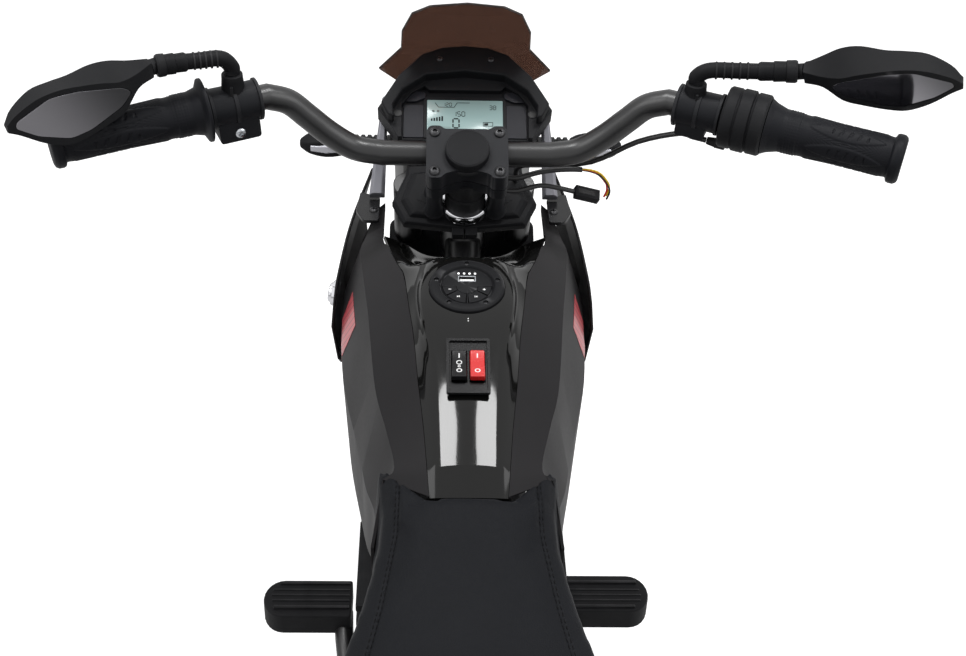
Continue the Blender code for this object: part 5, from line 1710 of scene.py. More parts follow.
def thick_sheet(rows: Sequence[Sequence[Point]], thickness: float) -> Form:
    """A closed sheet whose outer face runs through rows of points.

    Args:
        rows: The rows, drawn so that across x along points outwards.
        thickness: The wall, which grows inwards.

    Returns:
        The mesh in the making.
    """
    bm = bmesh.new()
    grid = [[bm.verts.new(point) for point in row] for row in rows]
    for near, far in zip(grid, grid[1:]):
        for a, b, c, d in zip(near, near[1:], far[1:], far):
            bm.faces.new((a, b, c, d))
    obj = raw_object("sheet", bm)
    wall = obj.modifiers.new("wall", "SOLIDIFY")
    wall.thickness = thickness
    wall.offset = -1.0
    plain_mesh(obj)
    made = bmesh.new()
    made.from_mesh(obj.data)
    bpy.data.objects.remove(obj, do_unlink=True)
    return made


def dense_rows(rows: Sequence[Sequence[Point]], per_span: int) -> list[list[Vector]]:
    """Rows with more rows between them, each column a smooth curve."""
    columns = [smooth_route(column, per_span) for column in zip(*rows)]
    return [list(row) for row in zip(*columns)]


def laid_on(target: BVHTree, point: Point, direction: Point, lift: float) -> Vector | None:
    """Where a ray meets a surface, lifted a little off it.

    Args:
        target: The surface.
        point: Where the ray starts.
        direction: Where the ray goes.
        lift: How far the result stands off the surface.

    Returns:
        The point, or None where the ray meets nothing.
    """
    hit, normal, _, _ = target.ray_cast(BIKE @ Vector(point), Vector(direction).normalized())
    if hit is None:
        return None
    if normal.dot(Vector(direction)) > 0:
        normal = -normal
    return BIKE.inverted() @ (hit + normal * lift)


def surface_of(*objs: Piece) -> BVHTree:
    """The evaluated faces of some pieces, for rays.

    Args:
        objs: The pieces.

    Returns:
        The tree of their faces.
    """
    bpy.context.view_layer.update()
    depsgraph = bpy.context.evaluated_depsgraph_get()
    verts, faces = [], []
    for obj in objs:
        mesh = obj.evaluated_get(depsgraph).to_mesh()
        base = len(verts)
        verts += [v.co.copy() for v in mesh.vertices]
        faces += [[base + i for i in poly.vertices] for poly in mesh.polygons]
    return BVHTree.FromPolygons(verts, faces)


@dataclass
class Bodywork(SubAssembly):
    """Glossy centre cover with its horns, the painted side panels, and the outer shrouds."""

    wall: float = 0.0025
    per_span: int = 6
    joint: float = 0.0003
    flange: float = 0.0065
    meeting_end: float = 0.1600

    cover_rows: tuple = (
        (-0.1025, (0.0, 0.5665), (0.0140, 0.5664), (0.0215, 0.5662), (0.0272, 0.5659)),
        (-0.0850, (0.0, 0.5800), (0.0150, 0.5790), (0.0225, 0.5772), (0.0288, 0.5742)),
        (-0.0500, (0.0, 0.5925), (0.0165, 0.5912), (0.0250, 0.5888), (0.0318, 0.5852)),
        (-0.0100, (0.0, 0.6055), (0.0190, 0.6045), (0.0290, 0.6010), (0.0362, 0.5960)),
        (0.0330, (0.0, 0.6170), (0.0290, 0.6155), (0.0350, 0.6100), (0.0398, 0.6030)),
        (0.0690, (0.0, 0.6220), (0.0320, 0.6210), (0.0385, 0.6130), (0.0440, 0.6050)),
        (0.1050, (0.0, 0.6245), (0.0240, 0.6235), (0.0390, 0.6140), (0.0480, 0.6070)),
        (0.1200, (0.0, 0.6060), (0.0260, 0.6060), (0.0420, 0.6080), (0.0525, 0.6060)),
        (0.1400, (0.0, 0.5920), (0.0280, 0.5935), (0.0460, 0.6010), (0.0585, 0.6040)),
        (0.1720, (0.0, 0.5790), (0.0300, 0.5810), (0.0500, 0.5930), (0.0655, 0.6000)),)
    panel_rows: tuple = (
        (-0.0745, (0.0284, 0.5755), (0.0520, 0.5680), (0.0665, 0.5220), (0.0680, 0.4700), (0.0570, 0.4590)),
        (-0.0400, (0.0322, 0.5860), (0.0590, 0.5740), (0.0745, 0.5170), (0.0740, 0.4530), (0.0620, 0.4410)),
        (0.0000, (0.0395, 0.5960), (0.0680, 0.5800), (0.0810, 0.5160), (0.0800, 0.4400), (0.0680, 0.4230)),
        (0.0800, (0.0455, 0.6020), (0.0760, 0.5890), (0.0970, 0.5230), (0.0930, 0.4420), (0.0770, 0.4240)),
        (0.1660, (0.0655, 0.5970), (0.0850, 0.5860), (0.1010, 0.5350), (0.0980, 0.4620), (0.0800, 0.4430)),
        (0.1900, (0.0665, 0.5965), (0.0820, 0.5870), (0.0960, 0.5450), (0.0940, 0.4800), (0.0770, 0.4600)),
        (0.2300, (0.0665, 0.5960), (0.0740, 0.5890), (0.0860, 0.5580), (0.0850, 0.5050), (0.0710, 0.4900)),)
    panel_end: tuple = (
        (0.0275, -0.1020, 0.5625), (0.0600, -0.0780, 0.5590), (0.0680, -0.1120, 0.5260),
        (0.0670, -0.1180, 0.4850), (0.0560, -0.1000, 0.4640))
    shroud_rows: tuple = (
        ((0.1060, 0.150, 0.488), (0.1105, 0.150, 0.522), (0.1085, 0.158, 0.545)),
        ((0.1040, 0.176, 0.468), (0.1090, 0.178, 0.528), (0.1055, 0.178, 0.560)),
        ((0.0960, 0.215, 0.478), (0.1015, 0.220, 0.545), (0.0955, 0.215, 0.588)),
        ((0.0840, 0.262, 0.520), (0.0880, 0.272, 0.575), (0.0790, 0.262, 0.612)),)

    def cover(self) -> Piece:
        """The centre cover, open for the sound module and the switches.

        Returns:
            The cover's piece.
        """
        rows = []
        for y, *points in self.cover_rows:
            right = [Vector((x, y, z)) for x, z in points]
            rows.append([Vector((-p.x, p.y, p.z)) for p in reversed(right[1:])] + right)
        neck = dense_rows(rows[1:], self.per_span)
        lip = [[point + Vector((0.0, -0.0006, -drop)) for point in rows[0]] for drop in (0.0140, 0.0008)]
        rows = [smooth_route(row, 5) for row in (*lip, *neck)]
        skin = solid("tank_cover_gloss", thick_sheet(rows, self.wall))
        hole = solid("hole", rod((0, 0, -0.02), (0, 0, 0.02), 0.0294, steps=96), CONSOLE)
        window = solid("window", block((-0.0147, -0.0227, -0.02), (0.0147, 0.0227, 0.02)), SWITCHES)
        slots = []
        for s in (-1, 1):
            at = frame_at((s * 0.0520, 0.1600, 0.5950), (0.30 * s, 1, 0), (0, 0, 1))
            slots.append(solid("horn_slot", block((-0.0035, -0.0007, -0.02), (0.0035, 0.0007, 0.02)), at))
        skin = softened(carved(skin, hole, window, *slots), 0.0008, 3, 17)
        return self.wear(skin, GLOSS_BLACK, "chassis", "tank_cover")

    def cover_edge(self) -> list[Vector]:
        """The cover's right edge from the seat to the horn."""
        tail, *neck = [Vector((points[-1][0], y, points[-1][1])) for y, *points in self.cover_rows]
        return [tail, *smooth_route(neck, self.per_span)]

    def inner_edge(self, own: Vector) -> Vector:
        """A panel's own inner edge, led along the cover's edge where the two meet.

        Args:
            own: The panel's own edge point.

        Returns:
            The edge point that is used.
        """
        edge = self.cover_edge()
        for near, far in zip(edge, edge[1:]):
            if near.y <= own.y <= min(far.y, self.meeting_end):
                at = near.lerp(far, (own.y - near.y) / (far.y - near.y))
                return Vector((at.x + self.joint, own.y, at.z - self.joint))
        return own

    def panel(self, side: Side) -> Piece:
        """One painted side panel, with a flange that turns down beside the cover.

        Args:
            side: The side that it is on.

        Returns:
            The panel's piece.
        """
        own = [[Vector((x, y, z)) for x, z in points] for y, *points in self.panel_rows]
        own.insert(0, [Vector(point) for point in self.panel_end])
        rows = []
        for row in dense_rows(own, self.per_span):
            edge = self.inner_edge(row[0])
            lean = 0.0045 if edge.y < self.meeting_end else 0.0
            lip = (edge + Vector((-lean, 0.0, -self.flange)), edge + Vector((0.0, 0.0, -0.0038)))
            whole = [*lip, edge, *row[1:]]
            whole = [Vector((side.value * point.x, point.y, point.z)) for point in whole]
            rows.append(whole if side is Side.RIGHT else whole[::-1])
        skin = solid(
            f"{side.word}_side_panel_painted", thick_sheet(rows, self.wall), bevel=0.0022, segments=4,
            angle=14)
        return self.wear(skin, CHARCOAL, "chassis", f"{side.word}_side_panel")

    def shroud(self, side: Side) -> Piece:
        """One outer shroud.

        Args:
            side: The side that it is on.

        Returns:
            The shroud's piece.
        """
        rows = []
        for row in self.shroud_rows:
            points = [Vector((side.value * x, y, z)) for x, y, z in row]
            rows.append(points if side is Side.LEFT else points[::-1])
        skin = solid(
            f"{side.word}_shroud_moulding", thick_sheet(dense_rows(rows, self.per_span), self.wall),
            bevel=0.0012, segments=3, angle=14)
        return self.wear(skin, CHARCOAL, "chassis", f"{side.word}_shroud")

    def sticker(self, side: Side, carrier: Piece) -> None:
        """The red striped sticker on a panel, laid on its surface.

        Args:
            side: The side that it is on.
            carrier: The piece that it is laid on.
        """
        tree = surface_of(carrier)
        rows = []
        for across in range(9):
            row = []
            for along in range(9):
                u, v = across / 8, along / 8
                z = 0.562 - 0.046 * v
                y = 0.100 + 0.006 * v + (0.046 - 0.006 * v) * u
                spot = laid_on(tree, (side.value * 0.2, y, z), (-side.value, 0, 0), 0.0003)
                row.append(spot if spot else Vector((side.value * 0.11, y, z)))
            rows.append(row if side is Side.RIGHT else row[::-1])
        patch = solid(f"{side.word}_sticker", thick_sheet(rows, 0.0002))
        self.wear(patch, RED_STICKER, "chassis")

    def bracket(self, side: Side) -> None:
        """The small black plate under a stay's foot, with its screw.

        Args:
            side: The side that it is on.
        """
        s = side.value
        outline = [
            (s * 0.0708, 0.1930), (s * 0.0840, 0.1930), (s * 0.0905, 0.2080), (s * 0.0880, 0.2380),
            (s * 0.0708, 0.2300)]
        plate = solid(
            f"{side.word}_stay_bracket", extruded(rounded(outline, 0.003), 0.5985, 0.6018), bevel=0.0006)
        self.wear(plate, SHINY_BLACK, "chassis")
        self.screws(
            f"{side.word}_bracket_screw", [((s * 0.0757, 0.2085, 0.6018), (0, 0, 1))], 0.0036, 0.0020,
            BLACK_SCREW, "chassis")

    def charge_socket(self) -> None:
        """The round bright cap over the charging socket in the left shroud."""
        at = frame_at((-0.1085, 0.1803, 0.5363), (0, 1, 0), (-0.98, 0.15, 0.12))
        cap = [
            (0.0, 0.0050), (0.0070, 0.0050), (0.0082, 0.0042), (0.0086, 0.0024), (0.0100, 0.0024),
            (0.0110, 0.0014), (0.0110, -0.0030), (0.0, -0.0030)]
        self.wear(solid("charge_port_cap", turned(cap, 48), at, smooth=28), CHROME, "chassis")

    def build(self) -> None:
        """Make the tank and what hangs on it."""
        self.cover()
        for side in BOTH:
            panel = self.panel(side)
            self.shroud(side)
            self.sticker(side, panel)
            self.bracket(side)
        self.charge_socket()


@dataclass
class SoundModule(SubAssembly):
    """Round module: screwed ring, lit dots, USB slot and four sector buttons."""

    spans: tuple = ((182, 212), (216, 266), (274, 324), (328, 358))
    face: float = 0.0006
    clear: float = 0.0004

    def ring(self) -> None:
        """The module's body with its slot, button pockets and screw wells."""
        profile = [
            (0.0, self.face), (0.0190, self.face), (0.0196, 0.0), (0.0202, 0.0004), (0.0208, 0.0018),
            (0.0216, 0.0024), (0.0258, 0.0026), (0.0274, 0.0021), (0.0285, 0.0010), (0.0290, -0.0010),
            (0.0290, -0.0120), (0.0250, -0.0180), (0.0, -0.0180)]
        body = solid("console_body", turned(profile, 128), CONSOLE)
        cutters = [solid("slot", block((-0.0062, 0.0054, -0.009), (0.0062, 0.0106, 0.01)), CONSOLE)]
        for start, end in self.spans:
            swing = math.degrees(self.clear / 0.0085)
            outline = sector(0.0085 - self.clear, 0.0185 + self.clear, start - swing, end + swing, 20)
            cutters.append(solid("pocket", extruded(outline, self.face - 0.0040, 0.01), CONSOLE))
        for angle in (90, 167, 13, 235, 305):
            x, y = 0.0238 * math.cos(math.radians(angle)), 0.0238 * math.sin(math.radians(angle))
            cutters.append(solid("well", rod((x, y, 0.0012), (x, y, 0.01), 0.0019, steps=24), CONSOLE))
        ring = softened(carved(body, *cutters), 0.00022, 2, 30)
        self.wear(ring, SATIN_BLACK, "chassis", "console_module")
        seats = [
            ((0.0238 * math.cos(math.radians(a)), 0.0238 * math.sin(math.radians(a)), 0.0012), (0, 0, 1))
            for a in (90, 167, 13, 235, 305)]
        self.screws("console_screws", seats, 0.0016, 0.0008, BLACK_SCREW, "chassis", CONSOLE)

    def prints(self) -> None:
        """Lit dots, and the socket's tongue and frame."""
        dots = [
            moved(
                extruded(circle(0.00085, 20), self.face - 0.0001, self.face + 0.00015),
                Matrix.Translation((x, 0.0140, 0.0)))
            for x in (-0.0063, -0.0021, 0.0021, 0.0063)]
        self.wear(solid("console_lit_dots", merged(*dots), CONSOLE), LAMP_WHITE, "chassis")
        rim = solid(
            "usb_rim",
            extruded(
                rounded([(-0.0068, 0.0048), (0.0068, 0.0048), (0.0068, 0.0112), (-0.0068, 0.0112)], 0.0006),
                self.face - 0.0001, self.face + 0.00035),
            CONSOLE)
        hollow = solid("usb_hollow", block((-0.0060, 0.0056, -0.01), (0.0060, 0.0104, 0.01)), CONSOLE)
        self.wear(softened(carved(rim, hollow), 0.0001, 2, 30), ZINC, "chassis")
        tongue = block((-0.0055, 0.0066, -0.0085), (0.0055, 0.0092, -0.0008))
        self.wear(solid("usb_tongue", tongue, CONSOLE, bevel=0.0002), WHITE_PRINT_PAINTED_GLOW, "chassis")
        glow = block((-0.0058, 0.0094, -0.0085), (0.0058, 0.0102, -0.0030))
        self.wear(solid("usb_glow", glow, CONSOLE), WIRE_YELLOW, "chassis")

    def button(self, index: int) -> None:
        """One sector button with a plain shape printed on it.

        Args:
            index: The button's number.
        """
        start, end = self.spans[index]
        name = f"console_button_{index + 1}"
        top = self.face + 0.0003
        body = self.bodies[name]
        cap = solid(
            f"{name}_cap", extruded(sector(0.0085, 0.0185, start, end, 16), top - 0.0030, top), CONSOLE,
            bevel=0.0005, segments=3)
        self.wear(cap, SATIN_BLACK, body, name)
        angle = math.radians((start + end) / 2)
        at = CONSOLE @ Matrix.Translation((0.0136 * math.cos(angle), 0.0136 * math.sin(angle), 0.0))
        low, high = top - 0.00005, top + PRINT_HEIGHT
        shapes = (
            [block((-0.0011, -0.0003, low), (0.0011, 0.0003, high))],
            [
                extruded([(-0.0011, -0.0010), (0.0003, 0.0), (-0.0011, 0.0010)], low, high),
                block((0.0005, -0.0010, low), (0.0010, 0.0010, high))],
            [
                block((-0.0010, -0.0010, low), (-0.0005, 0.0010, high)),
                extruded([(0.0011, -0.0010), (-0.0003, 0.0), (0.0011, 0.0010)], low, high)],
            [
                block((-0.0011, -0.0003, low), (0.0011, 0.0003, high)),
                block((-0.0003, -0.0011, low), (0.0003, 0.0011, high + 0.00001))],)[index]
        self.wear(solid(f"{name}_print", merged(*shapes), at), WHITE_PRINT_PAINTED_GLOW, body)

    def build(self) -> None:
        """Make the module."""
        self.ring()
        self.prints()
        for index in range(len(self.spans)):
            self.button(index)
        specks = [extruded(circle(0.0005, 12, 0.0, y), 0.0, 0.0004) for y in (-0.0345, -0.0368)]
        self.wear(
            solid("cover_specks", merged(*specks), CONSOLE @ Matrix.Translation((0.0005, 0, -0.0008))),
            WHITE_PRINT_PAINTED_GLOW, "chassis")


@dataclass
class SwitchPanel(SubAssembly):
    """Bezel with two rocker switches."""

    rocker_x: tuple = (-0.0066, 0.0066)
    width: float = 0.0108
    half: float = 0.0132
    tilt: float = math.radians(9)

    def bezel(self) -> None:
        """The bezel with its body and two windows."""
        rim = solid(
            "switch_rim",
            extruded(
                rounded(
                    [(-0.0158, -0.0240), (0.0158, -0.0240), (0.0158, 0.0240), (-0.0158, 0.0240)], 0.0014),
                0.0012, 0.0038),
            SWITCHES)
        body = solid("switch_body", block((-0.0142, -0.0222, -0.014), (0.0142, 0.0222, 0.003)), SWITCHES)
        carved(rim, body, join=True)
        tray = solid(
            "tray",
            extruded(
                rounded(
                    [(-0.0138, -0.0218), (0.0138, -0.0218), (0.0138, 0.0218), (-0.0138, 0.0218)], 0.0010),
                0.0020, 0.01),
            SWITCHES)
        carved(rim, tray)
        wells = [
            solid(
                "well",
                block(
                    (x - self.width / 2 - 0.0004, -self.half - 0.0008, -0.009),
                    (x + self.width / 2 + 0.0004, self.half + 0.0008, 0.01)),
                SWITCHES)
            for x in self.rocker_x]
        self.wear(softened(carved(rim, *wells), 0.0007, 3, 30), SHINY_BLACK, "chassis", "switch_bezel")

    def rocker(self, x: float, name: str, finish: Finish) -> None:
        """One rocker with its printed line, loops and ring.

        Args:
            x: Its middle across the panel.
            name: The CAD node that it stands for.
            finish: What it is made of.
        """
        body = self.bodies[name]
        steps = 10
        top = []
        for index in range(steps + 1):
            t = -1 + 2 * index / steps
            top.append((self.half * t, 0.0026 + 0.0016 * t * t))
        profile = top + [(self.half, -0.0010), (0.005, -0.0048), (-0.005, -0.0048), (-self.half, -0.0010)]
        place = (
            SWITCHES @ frame_at((x, 0.0, 0.0020), (0, 1, 0), (1, 0, 0))
            @ Matrix.Rotation(-self.tilt, 4, "Z"))
        cap = solid(
            f"{name}_cap", extruded(profile, -self.width / 2, self.width / 2), place, bevel=0.0012,
            segments=4, angle=25)
        self.wear(cap, finish, body, name)
        flip = place @ frame_at((0, 0, 0), (0, 0, 1), (0, 1, 0))
        flip_x = 1 if (flip.to_3x3().col[0]).x > 0 else -1
        along = 1 if (flip.to_3x3().col[1]).y > 0 else -1

        def level(t: float) -> float:
            """The rocker's top at a share of its half length."""
            return 0.0026 + 0.0016 * t * t

        marks = []
        def patch(outline: Section, t: float) -> None:
            """Lay a flat mark on the curved top.

            Args:
                outline: The mark's outline.
                t: Where it lies along the top, as a share of half its length.
            """
            slope = math.atan2(2 * 0.0016 * t, self.half) * along
            at = (
                Matrix.Translation((0, along * t * self.half, level(t) - 0.00002))
                @ Matrix.Rotation(slope, 4, "X"))
            marks.append(
                moved(extruded([(px * flip_x, py * along) for px, py in outline], 0.0, 0.00014), at))

        patch([(-0.00042, -0.0020), (0.00042, -0.0020), (0.00042, 0.0020), (-0.00042, 0.0020)], 0.60)
        ring = solid_ring(0.0021, 0.00135)
        lower = -0.50
        self.wear(solid(f"{name}_print", merged(*marks), flip), WHITE_PRINT_PAINTED_GLOW, body)
        loops = [(lower, ring)]
        if finish is SHINY_BLACK:
            loops += [(0.12, solid_ring(0.0021, 0.00145)), (-0.17, solid_ring(0.0011, 0.00060))]
        pieces = []
        for t, loop in loops:
            slope = math.atan2(2 * 0.0016 * t, self.half) * along
            pieces.append(
                moved(
                    loop,
                    Matrix.Translation((
                        0, along * t * self.half, level(t))) @ Matrix.Rotation(slope, 4, "X")))
        self.wear(solid(f"{name}_loops", merged(*pieces), flip), WHITE_PRINT_PAINTED_GLOW, body)

    def build(self) -> None:
        """Make the bezel and both rockers."""
        self.bezel()
        for x, name, finish in zip(
                self.rocker_x, ("lamp_rocker", "power_rocker"), (SHINY_BLACK, RED_GLOSS)):
            self.rocker(x, name, finish)


def solid_ring(outer: float, inner: float) -> Form:
    """A flat printed ring about the origin."""
    return turned([(outer, PRINT_HEIGHT), (outer, -0.00002), (inner, -0.00002), (inner, PRINT_HEIGHT)], 28)


@dataclass
class Seat(SubAssembly):
    """Crowned cushion in grained leatherette, with a sewn seam and double stitching along each shoulder."""

    base: float = 0.4725
    sections: tuple = (
        (-0.1042, 0.0635, 0.5665, 0.009, 0.0400), (-0.1075, 0.0655, 0.5680, 0.009, 0.0370),
        (-0.1400, 0.0670, 0.5590, 0.011, 0.0150), (-0.1800, 0.0790, 0.5475, 0.013, 0.0),
        (-0.2300, 0.0935, 0.5400, 0.015, 0.0), (-0.2900, 0.0970, 0.5410, 0.016, 0.0),
        (-0.3400, 0.0915, 0.5510, 0.016, 0.0), (-0.3800, 0.0810, 0.5640, 0.014, 0.0),
        (-0.3950, 0.0710, 0.5665, 0.014, 0.0), (-0.3985, 0.0625, 0.5605, 0.014, 0.0),)
    inset: float = 0.0012
    seam: float = 0.73
    stitch_gap: float = 0.0023
    step: tuple = ((0.0, 0.0), (0.25, 0.0), (0.45, 0.02), (0.58, 0.25), (0.70, 0.47), (0.80, 0.66))

    def half_at(self, y: float) -> float:
        """Half the cushion's width at a station of its flanks.

        Args:
            y: The station along the bike.

        Returns:
            The half width.
        """
        flank = [(y0 + reach, half) for y0, half, _, _, reach in self.sections]
        for (y0, h0), (y1, h1) in zip(flank, flank[1:]):
            if y1 <= y <= y0:
                return h0 + (h1 - h0) * (y - y0) / (y1 - y0)
        return flank[-1][1] if y < 0 and y < flank[-1][0] else flank[0][1]

    def ring(
            self, y: float, half: float, top: float, sag: float,
            reach: float) -> list[tuple[float, float, float]]:
        """A full section of the cushion, a little inside its CAD form; its flanks lead by reach.

        Args:
            y: The station along the bike.
            half: Half the section's width.
            top: Its height in the middle.
            sag: How far its edges lie under its middle.
            reach: How far its flanks lead.

        Returns:
            The section's points in order.
        """
        inset = self.inset
        half, top, base = half - inset, top - inset, self.base + inset
        edge, lead = top - sag, y + reach
        floor = [(part * half, y + share * reach, base) for part, share in self.step]
        crown = [
            (x, at, top - (sag - 0.0065) * (part / 0.8) ** 2)
            for (x, at, _), (part, _) in zip(floor, self.step)]
        flank = [
            (half * 0.93, y + reach * 0.92, base + 0.006), (half * 0.97, lead, base + (edge - base) * 0.45),
            (half, lead, edge - 0.006), (half * 0.975, y + reach * 0.98, edge),
            (half * 0.90, y + reach * 0.86, edge + 0.004)]
        right = floor + flank + crown[::-1]
        return right + [(-x, ry, z) for x, ry, z in right[-2:0:-1]]

    def form(self) -> Piece:
        """The cushion's starting form.

        Returns:
            The cushion's piece.
        """
        rows = dense_rows([self.ring(*section) for section in self.sections], 3)
        bm = lofted(rows, capped=False)
        bm.verts.ensure_lookup_table()
        count, last = len(rows[0]), (len(rows[0])) // 2
        for start in (0, len(bm.verts) - count):
            layer = bm.verts[start:start + count]
            for index in range(len(self.step) - 1):
                corners = (index, index + 1, last - index - 1, last - index)
                bm.faces.new([layer[k] for k in corners])
                bm.faces.new([layer[-k % count] for k in corners])
            outer = range(len(self.step) - 1, last - len(self.step) + 2)
            bm.faces.new([layer[k] for k in outer])
            bm.faces.new([layer[-k % count] for k in outer])
        bmesh.ops.recalc_face_normals(bm, faces=bm.faces)
        obj = solid("seat_leather", bm)
        bpy.context.view_layer.objects.active = obj
        mod = obj.modifiers.new("even", "REMESH")
        mod.mode = "VOXEL"
        mod.voxel_size = 0.0048
        plain_mesh(obj)
        return obj

    def filled(self, obj: Piece) -> None:
        """Swell the cushion with cloth pressure and cap how far it moves.

        Args:
            obj: The cushion.
        """
        start = [v.co.copy() for v in obj.data.vertices]
        group = obj.vertex_groups.new(name="held")
        group.add([v.index for v in obj.data.vertices if v.co.z < self.base + 0.006], 1.0, "REPLACE")
        cloth = obj.modifiers.new("leather", "CLOTH")
        cloth.settings.use_pressure = True
        cloth.settings.uniform_pressure_force = 4.0
        cloth.settings.effector_weights.gravity = 0.0
        cloth.settings.vertex_group_mass = "held"
        cloth.settings.quality = 6
        cloth.point_cache.frame_start = 1
        cloth.point_cache.frame_end = 20
        scene = bpy.context.scene
        for frame in range(1, 21):
            scene.frame_set(frame)
        plain_mesh(obj)
        scene.frame_set(1)
        cap = 0.0035
        for vertex, was in zip(obj.data.vertices, start):
            move = vertex.co - was
            if move.length > cap:
                vertex.co = was + move.normalized() * cap
            half = self.half_at(vertex.co.y)
            room = half + 0.0015
            x = vertex.co.x + 0.010
            vertex.co.x = max(-room, min(room, x)) - 0.010
            vertex.co.z = max(self.base, vertex.co.z)
            lead = max(0.0, abs(x) / half - 0.43) * 0.0700
            vertex.co.y = max(-0.3992, min(lead - 0.1040, vertex.co.y))

    def sewn(self, obj: Piece) -> None:
        """Press the seams into the cushion after one subdivision.

        Args:
            obj: The cushion.
        """
        mod = obj.modifiers.new("finer", "SUBSURF")
        mod.levels = mod.render_levels = 2
        plain_mesh(obj)
        for vertex in obj.data.vertices:
            x, y, z = vertex.co.x + 0.010, vertex.co.y, vertex.co.z
            if z < self.base + 0.045 or y > -0.083:
                continue
            off = abs(x) - self.seam * self.half_at(y)
            vertex.co.z -= 0.0021 * math.exp(-(off / 0.0012) ** 2)
            pinch = 0.0006 * math.exp(-((off - self.stitch_gap) / 0.0009) ** 2)
            vertex.co.z -= pinch
        obj.data.shade_smooth()

    def stitches(self, cushion: Piece) -> None:
        """A row of thread in each seam and one beside it.

        Args:
            cushion: The cushion that the thread lies on.
        """
        tree = surface_of(cushion)
        for side in BOTH:
            for row, shift in ((1, 0.0), (2, self.stitch_gap)):
                line = []
                for index in range(90):
                    y = -0.0835 - 0.310 * index / 89
                    x = side.value * (self.seam * self.half_at(y) + shift)
                    spot = laid_on(tree, (x, y, 0.8), (0, 0, -1), PRINT_HEIGHT)
                    if spot is not None:
                        line.append(spot)
                obj = STITCHES.run(
                    f"{side.word}_seat_stitches_{row}", polyline(line), THREAD, smooth=60, Pitch=0.0050,
                    Stitch=0.0036, Thread=0.00050)
                self.wear(obj, THREAD, "chassis")

    def build(self) -> None:
        """Make the cushion and its stitches."""
        cushion = self.form()
        self.filled(cushion)
        self.sewn(cushion)
        self.wear(cushion, SEAT_LEATHER, "chassis", "seat_cushion")
        self.stitches(cushion)


@dataclass
class Tail(SubAssembly):
    """Tail cowl with its mudguard, and the rear lamp."""

    def build(self) -> None:
        """Dress the cowl and make the lamp's lens with ribs behind it."""
        self.dress("tail_cowl", GLOSS_BLACK, 0.0020, 3, 20)
        lens = block((-0.0235, -0.6090, 0.5425), (0.0235, -0.5963, 0.5635))
        self.wear(
            solid("tail_light_lens", lens, bevel=0.0025, segments=4), RED_CLEAR, "chassis", "tail_light")
        ribs = [
            block((-0.0210 + 0.0060 * k, -0.6075, 0.5450), (-0.0190 + 0.0060 * k, -0.5975, 0.5610))
            for k in range(8)]
        self.wear(solid("tail_light_ribs", merged(*ribs)), SILVER, "chassis")
        places = [((s * 0.0665, -0.430, 0.500), (s, 0, 0)) for s in (-1, 1)]
        self.screws("tail_screws", places, 0.0040, 0.0020, BLACK_SCREW, "chassis")


# Front: instruments, screen, nose, steering


SEGMENTS = {
    "0": "abcdef", "1": "bc", "2": "abged", "3": "abgcd", "5": "afgcd", "8": "abcdefg", "6": "afgedc"}


def digit(sign: str, height: float, at: Point) -> list[Form]:
    """One figure of seven strokes.

    Args:
        sign: The figure.
        height: Its height.
        at: Its lower left corner.

    Returns:
        The strokes as thin slabs.
    """
    wide, thick = height * 0.56, height * 0.13
    x, y = at
    half = height / 2
    spans = {
        "a": (0, height, wide, height), "b": (wide, half, wide, height), "c": (wide, 0, wide, half),
        "d": (0, 0, wide, 0), "e": (0, 0, 0, half), "f": (0, half, 0, height), "g": (0, half, wide, half)}
    strokes = []
    for key in SEGMENTS[sign]:
        x0, y0, x1, y1 = spans[key]
        pad = thick / 2
        strokes.append(
            block(
                (x + x0 - (pad if x0 == x1 else -pad), y + y0 - (pad if y0 == y1 else -pad), 0.0),
                (x + x1 + (pad if x0 == x1 else -pad), y + y1 + (pad if y0 == y1 else -pad), PRINT_HEIGHT)))
    return strokes


def number(signs: str, height: float, at: Point) -> list[Form]:
    """A row of figures from a lower left corner.

    Args:
        signs: The figures.
        height: Their height.
        at: The lower left corner.

    Returns:
        The strokes' shapes.
    """
    made = []
    for index, sign in enumerate(signs):
        made += digit(sign, height, (at[0] + index * height * 0.80, at[1]))
    return made


def bar(x0: float, y0: float, x1: float, y1: float, width: float) -> Form:
    """A thin printed line between two points.

    Args:
        x0: The first point's x.
        y0: The first point's y.
        x1: The other point's x.
        y1: The other point's y.
        width: The line's width.

    Returns:
        The line's shape.
    """
    run = Vector((x1 - x0, y1 - y0))
    side = Vector((-run.y, run.x)).normalized() * width / 2
    return extruded(
        [
            (x0 + side.x, y0 + side.y), (x1 + side.x, y1 + side.y), (x1 - side.x, y1 - side.y),
            (x0 - side.x, y0 - side.y)],
        0.0, PRINT_HEIGHT)


